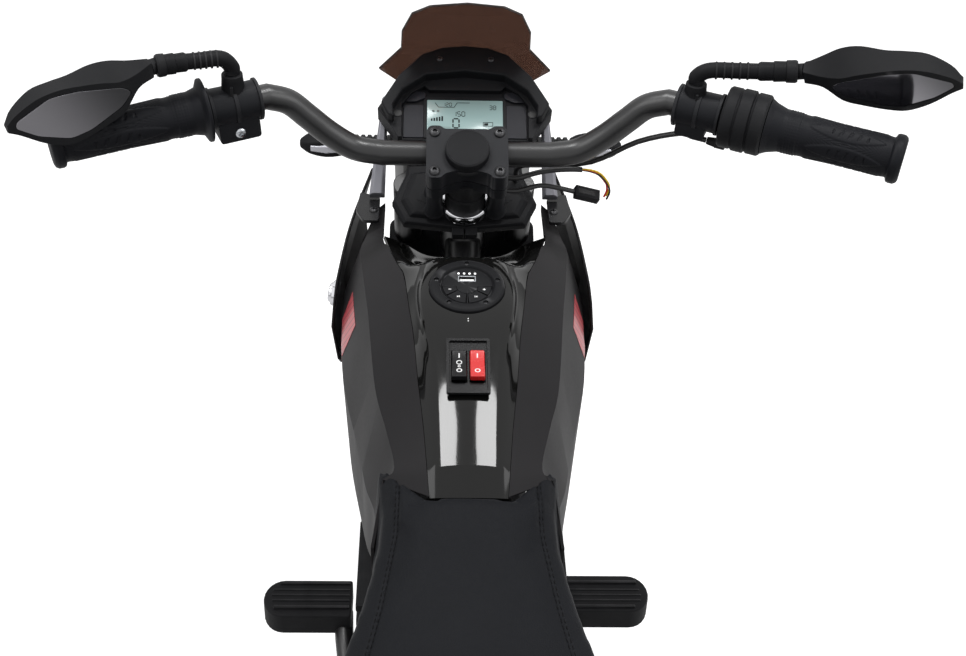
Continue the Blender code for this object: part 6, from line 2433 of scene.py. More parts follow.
@dataclass
class Instruments(SubAssembly):
    """Hood, display and smoked screen."""

    top: float = -0.0400
    base: float = -0.0565
    floor: float = -0.0450
    glass: float = -0.0442
    screen_rows: tuple = (
        ((0.0, 0.3175, 0.6920), (0.0360, 0.3240, 0.6760), (0.0600, 0.3230, 0.6660)),
        ((0.0, 0.3030, 0.7120), (0.0375, 0.3040, 0.7000), (0.0735, 0.2960, 0.6900)),
        ((0.0, 0.2870, 0.7320), (0.0385, 0.2890, 0.7220), (0.0545, 0.2840, 0.7150)),
        ((0.0, 0.2720, 0.7500), (0.0410, 0.2740, 0.7430), (0.0535, 0.2700, 0.7370)),
        ((0.0, 0.2560, 0.7690), (0.0300, 0.2590, 0.7650), (0.0450, 0.2620, 0.7570)),)

    def hood(self) -> None:
        """The hood with its plates, holes shown as dark discs of painted shade, ribs and screws."""
        self.dress("instrument_hood", SATIN_BLACK, 0.0011, 3, 25)
        ears = []
        for s in (-1, 1):
            outline = [
                (0.0452, 0.0905), (0.0520, 0.0850), (0.0520, 0.0790), (0.0412, 0.0790), (0.0330, 0.0830),
                (0.0330, 0.0880)]
            ears.append(
                extruded(
                    rounded([(s * x, y) for x, y in outline], 0.0010), self.floor - 0.0005,
                    self.floor + 0.0022))
            side = [(s * 0.0345, 0.0440), (s * 0.0515, 0.0440), (s * 0.0515, 0.0765), (s * 0.0345, 0.0765)]
            ears.append(extruded(rounded(side, 0.0012), self.floor - 0.0005, self.floor + 0.0010))
        self.wear(solid("dash_plates", merged(*ears), HEAD, bevel=0.0004), DASH_GREY, "chassis")
        rings = [
            moved(
                turned([(0.0036, 0.0004), (0.0036, -0.0004), (0.0029, -0.0004), (0.0029, 0.0004)], 32),
                Matrix.Translation((s * 0.0560, 0.0650, self.top + 0.0002)))
            for s in (-1, 1)]
        self.wear(solid("dash_rings", merged(*rings), HEAD), SATIN_BLACK, "chassis")
        # The holes are flat near-black discs: painted shade where the holes' insides would lie in shadow.
        dark = [
            moved(
                extruded(circle(0.0030, 32), 0.0, 0.0004),
                Matrix.Translation((s * 0.0560, 0.0650, self.top)))
            for s in (-1, 1)]
        self.wear(solid("dash_holes", merged(*dark), HEAD), HOLE_PAINTED_SHADE, "chassis")
        frame = solid(
            "lcd_frame",
            extruded(
                rounded([(-0.0345, 0.0435), (0.0345, 0.0435), (0.0345, 0.0845), (-0.0345, 0.0845)], 0.0016),
                self.floor - 0.0002, self.floor + 0.0012),
            HEAD)
        hole = solid(
            "lcd_hole",
            extruded(
                rounded([(-0.0318, 0.0462), (0.0318, 0.0462), (0.0318, 0.0818), (-0.0318, 0.0818)], 0.0010),
                -0.06, 0.01),
            HEAD)
        self.wear(softened(carved(frame, hole), 0.0004, 2, 30), SATIN_BLACK, "chassis")
        places = [((s * 0.0215, 0.1135, self.top + 0.0100), (0, 0, 1)) for s in (-1, 1)]
        self.screws("hood_screws", places, 0.0026, 0.0012, BLACK_SCREW, "chassis", HEAD)

    def display(self) -> None:
        """The display and its plain figures."""
        self.dress("lcd_screen", DISPLAY, 0.0004)
        dark = number("150", 0.0046, (-0.0100, 0.0655)) + number("0", 0.0090, (-0.0100, 0.0540))
        dark += number("120", 0.0034, (-0.0185, 0.0755)) + number("38", 0.0040, (0.0205, 0.0725))
        dark += [
            bar(-0.0222, 0.0745, -0.0090, 0.0745, 0.0005), bar(-0.0090, 0.0745, -0.0065, 0.0790, 0.0005),
            bar(-0.0222, 0.0745, -0.0250, 0.0790, 0.0005), bar(-0.0065, 0.0790, 0.0040, 0.0790, 0.0005)]
        dark += [
            block(
                (-0.0285 + 0.0022 * k, 0.0606, 0.0),
                (-0.0271 + 0.0022 * k, 0.0630 + 0.0006 * k, PRINT_HEIGHT))
            for k in range(5)]
        dark += [
            bar(0.0152, 0.0560, 0.0232, 0.0560, 0.0005), bar(0.0152, 0.0596, 0.0232, 0.0596, 0.0005),
            bar(0.0152, 0.0560, 0.0152, 0.0596, 0.0005), bar(0.0232, 0.0560, 0.0232, 0.0596, 0.0005),
            block((0.0160, 0.0567, 0.0), (0.0194, 0.0589, PRINT_HEIGHT))]
        at = HEAD @ Matrix.Translation((0, 0, self.glass))
        self.wear(solid("display_figures", merged(*dark), at), SEGMENT, "chassis")
        pale = [
            extruded(circle(0.0011, 20, -0.0265, 0.0705), 0.0, PRINT_HEIGHT),
            extruded(circle(0.0011, 20, -0.0225, 0.0705), 0.0, PRINT_HEIGHT),
            bar(-0.0285, 0.0545, -0.0120, 0.0545, 0.0004)]
        self.wear(solid("display_pale_marks", merged(*pale), at), PALE_SEGMENT, "chassis")

    def screen(self) -> None:
        """The folded smoked screen."""
        rows = []
        for row in self.screen_rows:
            right = [Vector(p) for p in row]
            whole = [Vector((-p.x, p.y, p.z)) for p in reversed(right[1:])] + right
            rows.append(whole)
        sheet = thick_sheet(rows[::-1], 0.0022)
        self.wear(
            solid("windscreen_smoked", sheet, bevel=0.0007, segments=2, angle=12), SMOKE, "chassis",
            "windscreen")

    def build(self) -> None:
        """Make the instruments."""
        self.hood()
        self.display()
        self.screen()


@dataclass
class Nose(SubAssembly):
    """Nacelle, headlamp, stays and turn signals."""

    def headlamp(self) -> None:
        """Clear lens with a reflector, two lamp cells and their bezel."""
        self.dress("headlamp_nacelle", GLOSS_BLACK, 0.0030, 4, 20)
        self.dress("headlight_lens", CLEAR, 0.0020, 3)
        at = HEAD @ frame_at((0.0, 0.1553, -0.1365), (1, 0, 0), (0.0, 0.9928, -0.1197))
        cells = []
        for x in (-0.0185, 0.0185):
            bowl = [
                (0.0130, -0.0035), (0.0140, -0.0035), (0.0142, -0.0062), (0.0, -0.0062), (0.0, -0.0055),
                (0.0060, -0.0053), (0.0105, -0.0046)]
            cells.append(moved(turned(bowl, 40), Matrix.Translation((x, 0.0020, 0.0))))
        self.wear(solid("headlamp_reflectors", merged(*cells), at), CHROME, "chassis")
        bulbs = [
            moved(
                turned([(0.0, -0.0018), (0.0035, -0.0024), (0.0048, -0.0045), (0.0, -0.0052)], 28),
                Matrix.Translation((x, 0.0020, 0.0)))
            for x in (-0.0185, 0.0185)]
        self.wear(solid("headlamp_bulbs", merged(*bulbs), at), WHITE_PRINT_PAINTED_GLOW, "chassis")

    def signals(self, side: Side) -> None:
        """One turn signal: pod, sliver of lens and ribbed stalk.

        Args:
            side: The side that it is on.
        """
        s = side.value
        name = f"{side.word}_turn_signal"
        y, z = 0.3600, 0.5790
        rings = []
        for x, half_y, half_z in (
                (0.1010, 0.009, 0.008), (0.1100, 0.013, 0.013), (0.1250, 0.015, 0.015),
                (0.1400, 0.012, 0.011), (0.1495, 0.005, 0.004)):
            rings.append([
                (s * x, y + half_y * math.cos(a), z + half_z * math.sin(a))
                for a in (math.radians(30 + 60 * index) for index in range(6))])
        pod = solid(f"{name}_pod", lofted(dense_rows(rings, 3)), bevel=0.0018, segments=3, angle=24)
        self.wear(pod, SATIN_BLACK, "chassis", name)
        lens = []
        for face in (-1, 1):
            strip = []
            for x, half_y, half_z in (
                    (0.1085, 0.0118, 0.0100), (0.1250, 0.0134, 0.0118), (0.1390, 0.0108, 0.0088)):
                strip.append([
                    (s * x, y + face * (half_y - 0.0010), z - half_z * 0.35),
                    (s * x, y + face * (half_y + 0.0012), z - half_z * 0.20),
                    (s * x, y + face * (half_y + 0.0012), z + half_z * 0.30),
                    (s * x, y + face * (half_y - 0.0010), z + half_z * 0.45)])
            lens.append(lofted(strip))
        self.wear(solid(f"{name}_lens", merged(*lens), bevel=0.0006), AMBER_CLEAR, "chassis")
        profile = [(0.0, 0.0400)]
        for index in range(6):
            x = 0.0360 - index * 0.0060
            profile += [
                (0.0066, x + 0.0030), (0.0084, x + 0.0020), (0.0084, x - 0.0008), (0.0066, x - 0.0018)]
        profile += [(0.0066, 0.0), (0.0, 0.0)]
        stalk = solid(
            f"{name}_stalk", turned(profile, 32),
            frame_at((s * (0.0600 + GAP), y, z), (0, 1, 0), (s, 0, 0)), smooth=25)
        self.wear(stalk, TYRE_BLACK, "chassis")

    def stay(self, side: Side) -> None:
        """One silver stay, which narrows as it rises beside the fork.

        Args:
            side: The side that it is on.
        """
        rings = []
        for y, z, inner, outer in (
                (0.0150, -0.0900, 0.0668, 0.0800), (0.0400, -0.0760, 0.0660, 0.0765),
                (0.0750, -0.0585, 0.0650, 0.0715), (0.0920, -0.0585, 0.0645, 0.0700)):
            edge = (outer - inner) * 0.22
            rings.append([
                (side.value * x, y, z + rise)
                for x, rise in (
                    (inner, -0.0035), (inner, 0.0015), (inner + edge, 0.0042), (outer - edge, 0.0042),
                    (outer, 0.0015), (outer, -0.0035))])
        stay = solid(
            f"{side.word}_stay", lofted(dense_rows(rings, 4)), HEAD, bevel=0.0006, segments=2, angle=25)
        self.wear(stay, SILVER, "chassis", f"{side.word}_fairing_stay")

    def build(self) -> None:
        """Make the nose."""
        self.headlamp()
        for side in BOTH:
            self.stay(side)
            self.signals(side)


@dataclass
class Steering(SubAssembly):
    """Fork, mudguard, yoke, clamp, bar and what is clamped on it."""

    bar_radius: float = 0.0100
    bore: float = 0.0106

    def fork(self) -> None:
        """The fork's tubes, crown, sliders with caps, axle and nuts."""
        z = STEER_AXLE_Z
        parts = [rod((0, 0, -0.1560), (0, 0, -0.0747), 0.0110, steps=32, edge=0.0006)]
        crown = [
            (-0.0300, -0.0200), (0.0300, -0.0200), (0.0640, 0.0060), (0.0640, 0.0300), (0.0400, 0.0380),
            (-0.0400, 0.0380), (-0.0640, 0.0300), (-0.0640, 0.0060)]
        for s in (-1, 1):
            x = s * 0.0475
            parts += [rod((x, FORK_OFFSET, -0.345), (x, FORK_OFFSET, -0.0747), 0.0120, steps=36,
                          edge=0.0008),
                      rod((s * 0.034, FORK_OFFSET, z), (s * 0.066, FORK_OFFSET, z), 0.0130, steps=36,
                          edge=0.0012)]
        fork = solid("fork_tubes", merged(*parts), HEAD, smooth=28)
        self.wear(fork, POWDER_BLACK, "steering", "front_fork")
        plate = solid(
            "fork_crown", extruded(rounded(crown, 0.006), -0.1730, -0.1550), HEAD, bevel=0.0025, segments=3)
        self.wear(plate, SATIN_BLACK, "steering")
        sliders = []
        for s in (-1, 1):
            profile = [
                (0.0, -0.3290), (0.0122, -0.3290), (0.0138, -0.3300), (0.0146, -0.3320), (0.0146, -0.3400),
                (0.0140, -0.3410), (0.0140, z + 0.020), (0.0145, z + 0.016), (0.0145, z - 0.011),
                (0.0128, z - 0.014), (0.0, z - 0.014)]
            sliders.append(moved(turned(profile, 40), Matrix.Translation((s * 0.0475, FORK_OFFSET, 0.0))))
        self.wear(solid("fork_sliders", merged(*sliders), HEAD, smooth=28), SATIN_BLACK, "steering")
        axle = merged(
            rod((-0.0655, FORK_OFFSET, z), (0.0655, FORK_OFFSET, z), 0.006, steps=24),
            *[
                rod(
                    (s * 0.0655, FORK_OFFSET, z), (s * 0.0700, FORK_OFFSET, z), 0.0095, steps=6,
                    edge=0.0008)
                for s in (-1, 1)])
        self.wear(solid("front_axle_bar", axle, HEAD, smooth=25), ZINC, "steering")

    def mudguard(self) -> None:
        """The arched guard with a centre ridge and rolled edge."""
        rows = []
        for index in range(11):
            angle = math.radians(6 + index * 13.0)
            spread = 0.8 if index in (0, 10) else 1.0
            rows.append([
                Vector((
                    x * spread, FORK_OFFSET + radius * math.cos(angle),
                    STEER_AXLE_Z + radius * math.sin(angle)))
                for x, radius in (
                    (-0.0322, 0.1640), (-0.0290, 0.1676), (-0.0240, 0.1706), (-0.0120, 0.1728),
                    (0.0, 0.1738), (0.0120, 0.1728), (0.0240, 0.1706), (0.0290, 0.1676), (0.0322, 0.1640))])
        sheet = thick_sheet(dense_rows(rows[::-1], 4), 0.0022)
        self.wear(
            solid("front_mudguard_moulding", sheet, HEAD, bevel=0.0007, segments=2, angle=40), SATIN_BLACK,
            "steering", "front_mudguard")
        braces = [
            rod(
                (s * 0.0300, FORK_OFFSET, -0.300), (s * 0.0355, FORK_OFFSET, -0.300), 0.006, steps=24,
                edge=0.0005)
            for s in (-1, 1)]
        self.wear(solid("mudguard_bosses", merged(*braces), HEAD), SATIN_BLACK, "steering")

    def yoke(self) -> None:
        """The faceted cover over the yoke, with nested ridge lines and a two-part tab."""
        outline = both_ways([
            (0.0, -0.0310), (0.0500, -0.0255), (0.0600, -0.0055), (0.0490, 0.0215), (0.0480, 0.0300),
            (0.0, 0.0330)])
        step = both_ways([
            (0.0, -0.0240), (0.0430, -0.0190), (0.0500, -0.0050), (0.0420, 0.0200), (0.0, 0.0260)])

        def scaled(points: Section, share: float) -> list[tuple[float, float]]:
            """The outline drawn in towards its middle."""
            return [(x * share, 0.001 + (y - 0.001) * share) for x, y in points]

        layers = [
            (outline, -0.0740, 0.975), (outline, -0.0730, 1.0), (outline, -0.0668, 1.0),
            (outline, -0.0645, 0.955), (step, -0.0640, 1.055), (step, -0.0612, 1.0), (step, -0.0600, 0.93)]
        lower = lofted([[(x, y, z) for x, y in scaled(points, share)] for points, z, share in layers[:4]])
        upper = lofted([
            [(x, y, z) for x, y in scaled(points, share)]
            for points, z, share in [(step, -0.0650, 1.055), *layers[4:]]])
        base = solid("yoke_base", lower, HEAD, bevel=0.0007, segments=3, angle=14)
        self.wear(base, SATIN_BLACK, "steering", "top_yoke")
        self.wear(
            solid("yoke_step", upper, HEAD, bevel=0.0006, segments=3, angle=14), SATIN_BLACK, "steering")
        tabs = [
            block((-0.0105, -0.0362, -0.0733), (-0.0006, -0.0285, -0.0655)),
            block((0.0006, -0.0362, -0.0733), (0.0105, -0.0285, -0.0655))]
        self.wear(
            solid("yoke_tabs", merged(*tabs), HEAD, bevel=0.0009, segments=3), SATIN_BLACK, "steering")
        ridges = [
            extruded(
                [(-0.0004, -0.0240), (0.0004, -0.0240), (0.0004, -0.0292), (-0.0004, -0.0292)], -0.0656,
                -0.0640)]
        for s in (-1, 1):
            for x, y in ((0.0300, 0.0), (0.0385, 0.0)):
                ridges.append(
                    extruded(
                        [
                            (s * x, -0.0060), (s * (x + 0.0008), -0.0060), (s * 0.0108, -0.0222),
                            (s * 0.0100, -0.0222)],
                        -0.0602, -0.0597))
        self.wear(solid("yoke_ridges", merged(*ridges), HEAD, bevel=0.0001), SATIN_BLACK, "steering")

    def clamp(self) -> None:
        """The bar clamp: bored block with lobes, stem cap, column, chrome nut, risers and bolts."""
        lobes = [
            (-0.0320, 0.0105), (-0.0290, 0.0150), (-0.0210, 0.0150), (-0.0180, 0.0122), (0.0180, 0.0122),
            (0.0210, 0.0150), (0.0290, 0.0150), (0.0320, 0.0105), (0.0320, -0.0290), (0.0290, -0.0330),
            (0.0205, -0.0330), (0.0172, -0.0290), (0.0, -0.0240), (-0.0172, -0.0290), (-0.0205, -0.0330),
            (-0.0290, -0.0330), (-0.0320, -0.0290)]
        body = solid("clamp_block", extruded(rounded(lobes, 0.0045, 5), -0.0010, 0.0170), HEAD)
        lower = solid("clamp_lower", extruded(rounded(lobes, 0.0045, 5), -0.0140, -0.0022), HEAD)
        for piece in (body, lower):
            bore = solid("bar_bore", rod((-0.05, 0, 0), (0.05, 0, 0), self.bore, steps=64), HEAD)
            carved(piece, bore)
        for piece, width in ((body, 0.0022), (lower, 0.0010)):
            softened(piece, width, 3, 35)
        self.wear(body, CLAMP_BLACK, "steering", "handlebar_clamp")
        self.wear(lower, CLAMP_BLACK, "steering")
        cap = [
            (0.0, 0.0240), (0.0148, 0.0240), (0.0158, 0.0243), (0.0170, 0.0235), (0.0174, 0.0222),
            (0.0174, 0.0150), (0.0183, 0.0146), (0.0183, 0.0120), (0.0, 0.0120)]
        at = HEAD @ Matrix.Translation((0, -0.010, 0))
        self.wear(solid("stem_cap", turned(cap, 72), at, smooth=26), SATIN_BLACK, "steering")
        column = [
            (0.0, -0.0100), (0.0165, -0.0100), (0.0165, -0.0300), (0.0150, -0.0310), (0.0150, -0.0335),
            (0.0165, -0.0345), (0.0165, -0.0515), (0.0, -0.0515)]
        self.wear(solid("stem_column", turned(column, 64), at, smooth=26), SATIN_BLACK, "steering")
        nut = [
            (0.0, -0.0515), (0.0185, -0.0515), (0.0196, -0.0525), (0.0205, -0.0545), (0.0205, -0.0597),
            (0.0, -0.0597)]
        self.wear(solid("stem_nut", turned(nut, 72), at, smooth=26), CHROME, "steering")
        risers = []
        for s in (-1, 1):
            for y in (-0.0165, 0.0005):
                risers.append(
                    moved(
                        turned(
                            [
                                (0.0, -0.0120), (0.0068, -0.0120), (0.0068, -0.0500), (0.0080, -0.0560),
                                (0.0086, -0.0597), (0.0, -0.0597)],
                            32),
                        Matrix.Translation((s * 0.0250, y, 0.0))))
            risers.append(
                block(
                    (min(s * 0.0215, s * 0.0285), -0.0165, -0.0590),
                    (max(s * 0.0215, s * 0.0285), 0.0005, -0.0120)))
        self.wear(solid("clamp_risers", merged(*risers), HEAD, smooth=26), CLAMP_BLACK, "steering")
        bolts = [((s * 0.0253, y, 0.0170), (0, 0, 1)) for s in (-1, 1) for y in (0.0085, -0.0270)]
        self.screws("clamp_bolts", bolts, 0.0044, 0.0025, BLACK_SCREW, "steering", HEAD, cross=False)

    def handlebar(self) -> None:
        """The bent tube, closed at its ends."""
        half = [
            (0.066, 0.171, 0.679), (0.088, 0.1712, 0.6830), (0.107, 0.1708, 0.6955),
            (0.124, 0.1695, 0.7115), (0.138, 0.1680, 0.7245)]
        bends = smooth_route([Vector(p) for p in half] + [BAR_KNEE + bar_direction(1) * 0.002], 7)
        right = [Vector((0.0, 0.171, 0.679)), *bends, BAR_KNEE + bar_direction(1) * 0.164]
        route = [Vector((-p.x, p.y, p.z)) for p in reversed(right[1:])] + right
        self.tube(
            "handlebar_tube", route, self.bar_radius - 0.0001, POWDER_BLACK, "steering", "handlebar",
            sides=40)

    def grip(self, name: str, side: int, start: float, length: float, foot: Section, body: str) -> None:
        """One rubber grip with leaf pads and lengthwise ribs moulded into it.

        Args:
            name: The CAD node that it stands for.
            side: -1 for the left, 1 for the right.
            start: Where it starts along the bar's straight end.
            length: Its length.
            foot: The hand guard's profile.
            body: The body that it moves with.
        """
        place = bar_frame(side, start)
        profile = sorted(
            [(z, r) for r, z in foot]
            + [
                (0.0240, 0.0163), (0.0255, 0.0158), (length * 0.5, 0.0150), (length - 0.0095, 0.0152),
                (length - 0.0085, 0.0180), (length - 0.0065, 0.0187), (length - 0.0030, 0.0186),
                (length - 0.0008, 0.0172), (length, 0.0150)])

        def radius_at(z: float) -> float:
            """The plain profile's radius at a height.

            Args:
                z: The height along the grip.

            Returns:
                The radius.
            """
            for (z0, r0), (z1, r1) in zip(profile, profile[1:]):
                if z0 <= z <= z1:
                    return r0 + (r1 - r0) * (z - z0) / max(1e-9, z1 - z0)
            return profile[-1][1]

        def relief(z: float, angle: float) -> float:
            """The height of the moulded pattern.

            Args:
                z: The height along the grip.
                angle: The angle round the grip, in radians.

            Returns:
                How far the surface stands out.
            """
            low, high = 0.0300, length - 0.0110
            if 0.0150 < z < 0.0275:
                wave = math.sin(angle * 44) * 0.5 + 0.5
                cut = math.sin((z - 0.015) * 2 * math.pi / 0.0021)
                return 0.00030 * (wave if cut > -0.3 else 0.0)
            if not low < z < high:
                return 0.0
            u = (z - low) / (high - low)
            lobe = (angle / (2 * math.pi) * 6) % 1.0 - 0.5
            width = 0.40 * math.sin(math.pi * min(1.0, u * 1.05)) ** 0.75 if u < 0.95 else 0.0
            fade = min(1.0, u / 0.05, (1 - u) / 0.05)
            off = abs(lobe) - width
            if off < 0:
                height = 0.00075 * min(1.0, -off / 0.05)
                slot = abs(((u - 0.30) / 0.11 + lobe * 0.9) % 1.0 - 0.5)
                if 0.30 < u < 0.74 and slot > 0.36 and abs(lobe) < width * 0.45:
                    height -= 0.0008
                return height * fade
            return 0.00042 * (0.5 + 0.5 * math.cos(off * 2 * math.pi / 0.065)) * fade

        steps, rings = 144, []
        count = 200
        for index in range(count + 1):
            z = length * index / count
            ring = []
            for spoke in range(steps):
                a = 2 * math.pi * spoke / steps
                r = radius_at(z) + relief(z, a)
                ring.append((r * math.cos(a), r * math.sin(a), z))
            rings.append(ring)
        end = [[
            (
                0.0035 * math.cos(2 * math.pi * k / steps), 0.0035 * math.sin(2 * math.pi * k / steps),
                length - 0.0012)
            for k in range(steps)]]
        inner = [
            [
                (
                    self.bore * math.cos(2 * math.pi * k / steps),
                    self.bore * math.sin(2 * math.pi * k / steps), z)
                for k in range(steps)]
            for z in (0.0120, 0.0)]
        bm = lofted([*inner, *rings, *end], capped=True)
        grip = solid(f"{name}_rubber", bm, place, smooth=50)
        self.wear(grip, GRIP_BLACK, body, name)

    def throttle(self) -> None:
        """The throttle's housing with its gland and screws."""
        place = bar_frame(1, 0.0455)
        profile = [
            (0.0206, 0.0330), (0.0222, 0.0328), (0.0235, 0.0312), (0.0235, 0.0228), (0.0225, 0.0222),
            (0.0225, 0.0212), (0.0240, 0.0202), (0.0240, 0.0118), (0.0229, 0.0108), (0.0229, 0.0100),
            (0.0235, 0.0092), (0.0235, 0.0020), (0.0222, 0.0004), (0.0205, 0.0), (self.bore, 0.0),
            (self.bore, 0.0330)]
        self.wear(
            solid("throttle_housing_shell", turned(profile, 96), place, smooth=26), SATIN_BLACK, "steering",
            "throttle_housing")
        gland = merged(
            rod((-0.0225, 0.003, -0.0020), (-0.0225, 0.003, 0.0060), 0.0042, steps=28, edge=0.0004),
            rod((-0.0225, 0.003, -0.0085), (-0.0225, 0.003, -0.0020), 0.0029, 0.0038, steps=28))
        self.wear(solid("throttle_gland", gland, place, smooth=28), TYRE_BLACK, "steering")
        places = [
            ((0.0228 * math.cos(a), 0.0228 * math.sin(a), 0.0160), (math.cos(a), math.sin(a), 0))
            for a in (math.radians(150), math.radians(250))]
        self.screws("throttle_screws", places, 0.0022, 0.0010, ZINC, "steering", place)

    def build(self) -> None:
        """Make the steering."""
        self.fork()
        self.mudguard()
        self.yoke()
        self.clamp()
        self.handlebar()
        self.grip(
            "left_grip", -1, 0.0495, 0.118,
            ((0.0165, 0.0120), (0.0185, 0.0050), (0.0243, 0.0022), (0.0243, 0.0)), self.bodies["left_grip"])
        self.grip(
            "throttle_grip", 1, 0.0790, 0.103, ((0.0165, 0.0120), (0.0190, 0.0040), (0.0212, 0.0)),
            self.bodies["throttle_grip"])
        self.throttle()


@dataclass
class Mirror(SubAssembly):
    """One mirror: clamp with its post, swivelling arm, and tilting head with its glass."""

    side: Side = Side.LEFT
    post_foot: Point = (0.0, 0.0, 0.0)
    post_top: Point = (0.0, 0.0, 0.0)
    elbow: Point = (0.0, 0.0, 0.0)
    neck: Point = (0.0, 0.0, 0.0)
    turn: float = 0.0
    tilt: float = 0.0
    roll: float = 0.0
    length: float = 0.040
    drop: float = 0.026
    short: float = 0.004

    stations: tuple = (
        (0.000, -0.0090, 0.0020, 0.0035, -0.0080, -0.0075, -0.0130),
        (0.013, -0.0140, -0.0035, 0.0040, -0.0150, -0.0100, -0.0170),
        (0.026, -0.0280, -0.0060, 0.0060, -0.0200, -0.0160, -0.0200),
        (0.040, -0.0340, -0.0035, 0.0060, -0.0210, -0.0240, -0.0190),
        (0.058, -0.0395, -0.0015, 0.0035, -0.0180, -0.0300, -0.0160),
        (0.072, -0.0410, -0.0010, 0.0025, -0.0170, -0.0320, -0.0140),
        (0.088, -0.0355, -0.0035, 0.0005, -0.0150, -0.0280, -0.0120),
        (0.104, -0.0255, -0.0105, -0.0080, -0.0110, -0.0210, -0.0090),
        (0.112, -0.0215, -0.0165, -0.0150, -0.0050, -0.0195, -0.0050),)
    glass_outline: tuple = (
        (0.0180, -0.0152), (0.0245, -0.0107), (0.0585, -0.0052), (0.0785, -0.0050), (0.1048, -0.0157),
        (0.1062, -0.0202), (0.0920, -0.0295), (0.0690, -0.0372), (0.0535, -0.0349), (0.0275, -0.0242))

    def frame(self) -> Matrix:
        """The head's frame at its neck: side times x outwards, z out of the glass.

        Returns:
            The frame's matrix.
        """
        s = self.side.value
        turn, tilt = math.radians(self.turn), math.radians(self.tilt)
        level = Vector((-s * math.sin(turn), -math.cos(turn), 0.0))
        normal = level * math.cos(tilt) + Vector((0, 0, math.sin(tilt)))
        base = frame_at(self.neck, (math.cos(turn), -s * math.sin(turn), 0.0), normal)
        return base @ Matrix.Rotation(s * math.radians(self.roll), 4, "Z")

    def head(self) -> None:
        """The shell with soft folds, its well, and the glass."""
        s = self.side.value
        word = self.side.word
        place = self.frame()
        rings = []
        for x, low, high, crown_y, crown_z, keel_y, keel_z in self.stations:
            back = min(crown_z, keel_z) - 0.0030
            section = [
                (low, 0.0), (high, 0.0), (crown_y, crown_z), ((crown_y + keel_y) / 2, back),
                (keel_y, keel_z), (low, -0.0035)]
            rings.append([Vector((s * x, y, z)) for y, z in section])
        shell_piece = solid(f"{word}_mirror_housing", lofted(dense_rows(rings, 4)), place)
        outline = rounded([(s * x, y) for x, y in self.glass_outline], 0.0040, 4)
        middle = Vector((0.066 * s, -0.020))
        grown = [(middle.x + (x - middle.x) * 1.008, middle.y + (y - middle.y) * 1.02) for x, y in outline]
        well = solid("glass_well", extruded(grown, -0.0025, 0.01), place)
        carved(shell_piece, well)
        softened(shell_piece, 0.0010, 3, 24)
        self.wear(shell_piece, SATIN_BLACK, self.bodies[f"{word}_mirror_shell"], f"{word}_mirror_shell")
        # The glass's colour is a painted reflection, pale to dark across it.
        reflection_paint = MirrorFinish(
            f"{word}_mirror_silver", "mirror_glass", (0.10, 0.10, 0.105), 0.10, metallic=1.0,
            grain=Grain.NONE, grain_depth=0.00001, drift=0.03, spread=0.03, place=place,
            start=0.030 if s > 0 else -0.110, end=0.105 if s > 0 else -0.030)
        glass = solid(f"{word}_mirror_pane", extruded(outline, -0.0022, -0.0006), place, bevel=0.0003)
        self.wear(glass, reflection_paint, self.bodies[f"{word}_mirror_glass"], f"{word}_mirror_glass")

    def arm(self) -> None:
        """The arm from the post to the head's neck."""
        s = self.side.value
        word = self.side.word
        body = self.bodies[f"{word}_mirror_arm"]
        foot0, top0 = Vector(self.post_foot), Vector(self.post_top)
        up = (top0 - foot0).normalized()
        foot, elbow = top0 + up * GAP * 1.5, Vector(self.elbow)
        place = self.frame()
        tip = place @ Vector((-s * GAP * 1.5, -0.0030, -0.0065))
        inner = place @ Vector((-s * 0.0120, -0.0030, -0.0065))
        reach = inner - elbow
        route = smooth_route(
            [foot, foot + up * 0.005, elbow + reach * 0.12, elbow + reach * 0.5, inner, tip], 7)
        self.tube(f"{word}_arm_bar", route, 0.0060, SATIN_BLACK, body, f"{word}_mirror_arm", sides=28)
        a, b = elbow + reach * 0.66, inner + (tip - inner) * 0.6
        sleeve = frame_at(a, (0, 0, 1), b - a)
        run = (b - a).length
        profile = [
            (0.0, run), (0.0078, run), (0.0086, run - 0.0015), (0.0084, run * 0.72), (0.0076, run * 0.70),
            (0.0078, run * 0.40), (0.0070, run * 0.38), (0.0072, run * 0.06), (0.0064, 0.0), (0.0, 0.0)]
        self.wear(solid(f"{word}_arm_sleeve", turned(profile, 40), sleeve, smooth=28), SATIN_BLACK, body)
        ribs = []
        for index in range(5):
            centre = elbow + reach * (0.18 + 0.09 * index)
            ribs.append(
                moved(
                    turned([(0.0067, 0.0006), (0.0067, -0.0006), (0.0050, -0.0006), (0.0050, 0.0006)], 28),
                    frame_at(centre, (0, 0, 1), reach)))
        self.wear(solid(f"{word}_arm_ribs", merged(*ribs)), SATIN_BLACK, body)

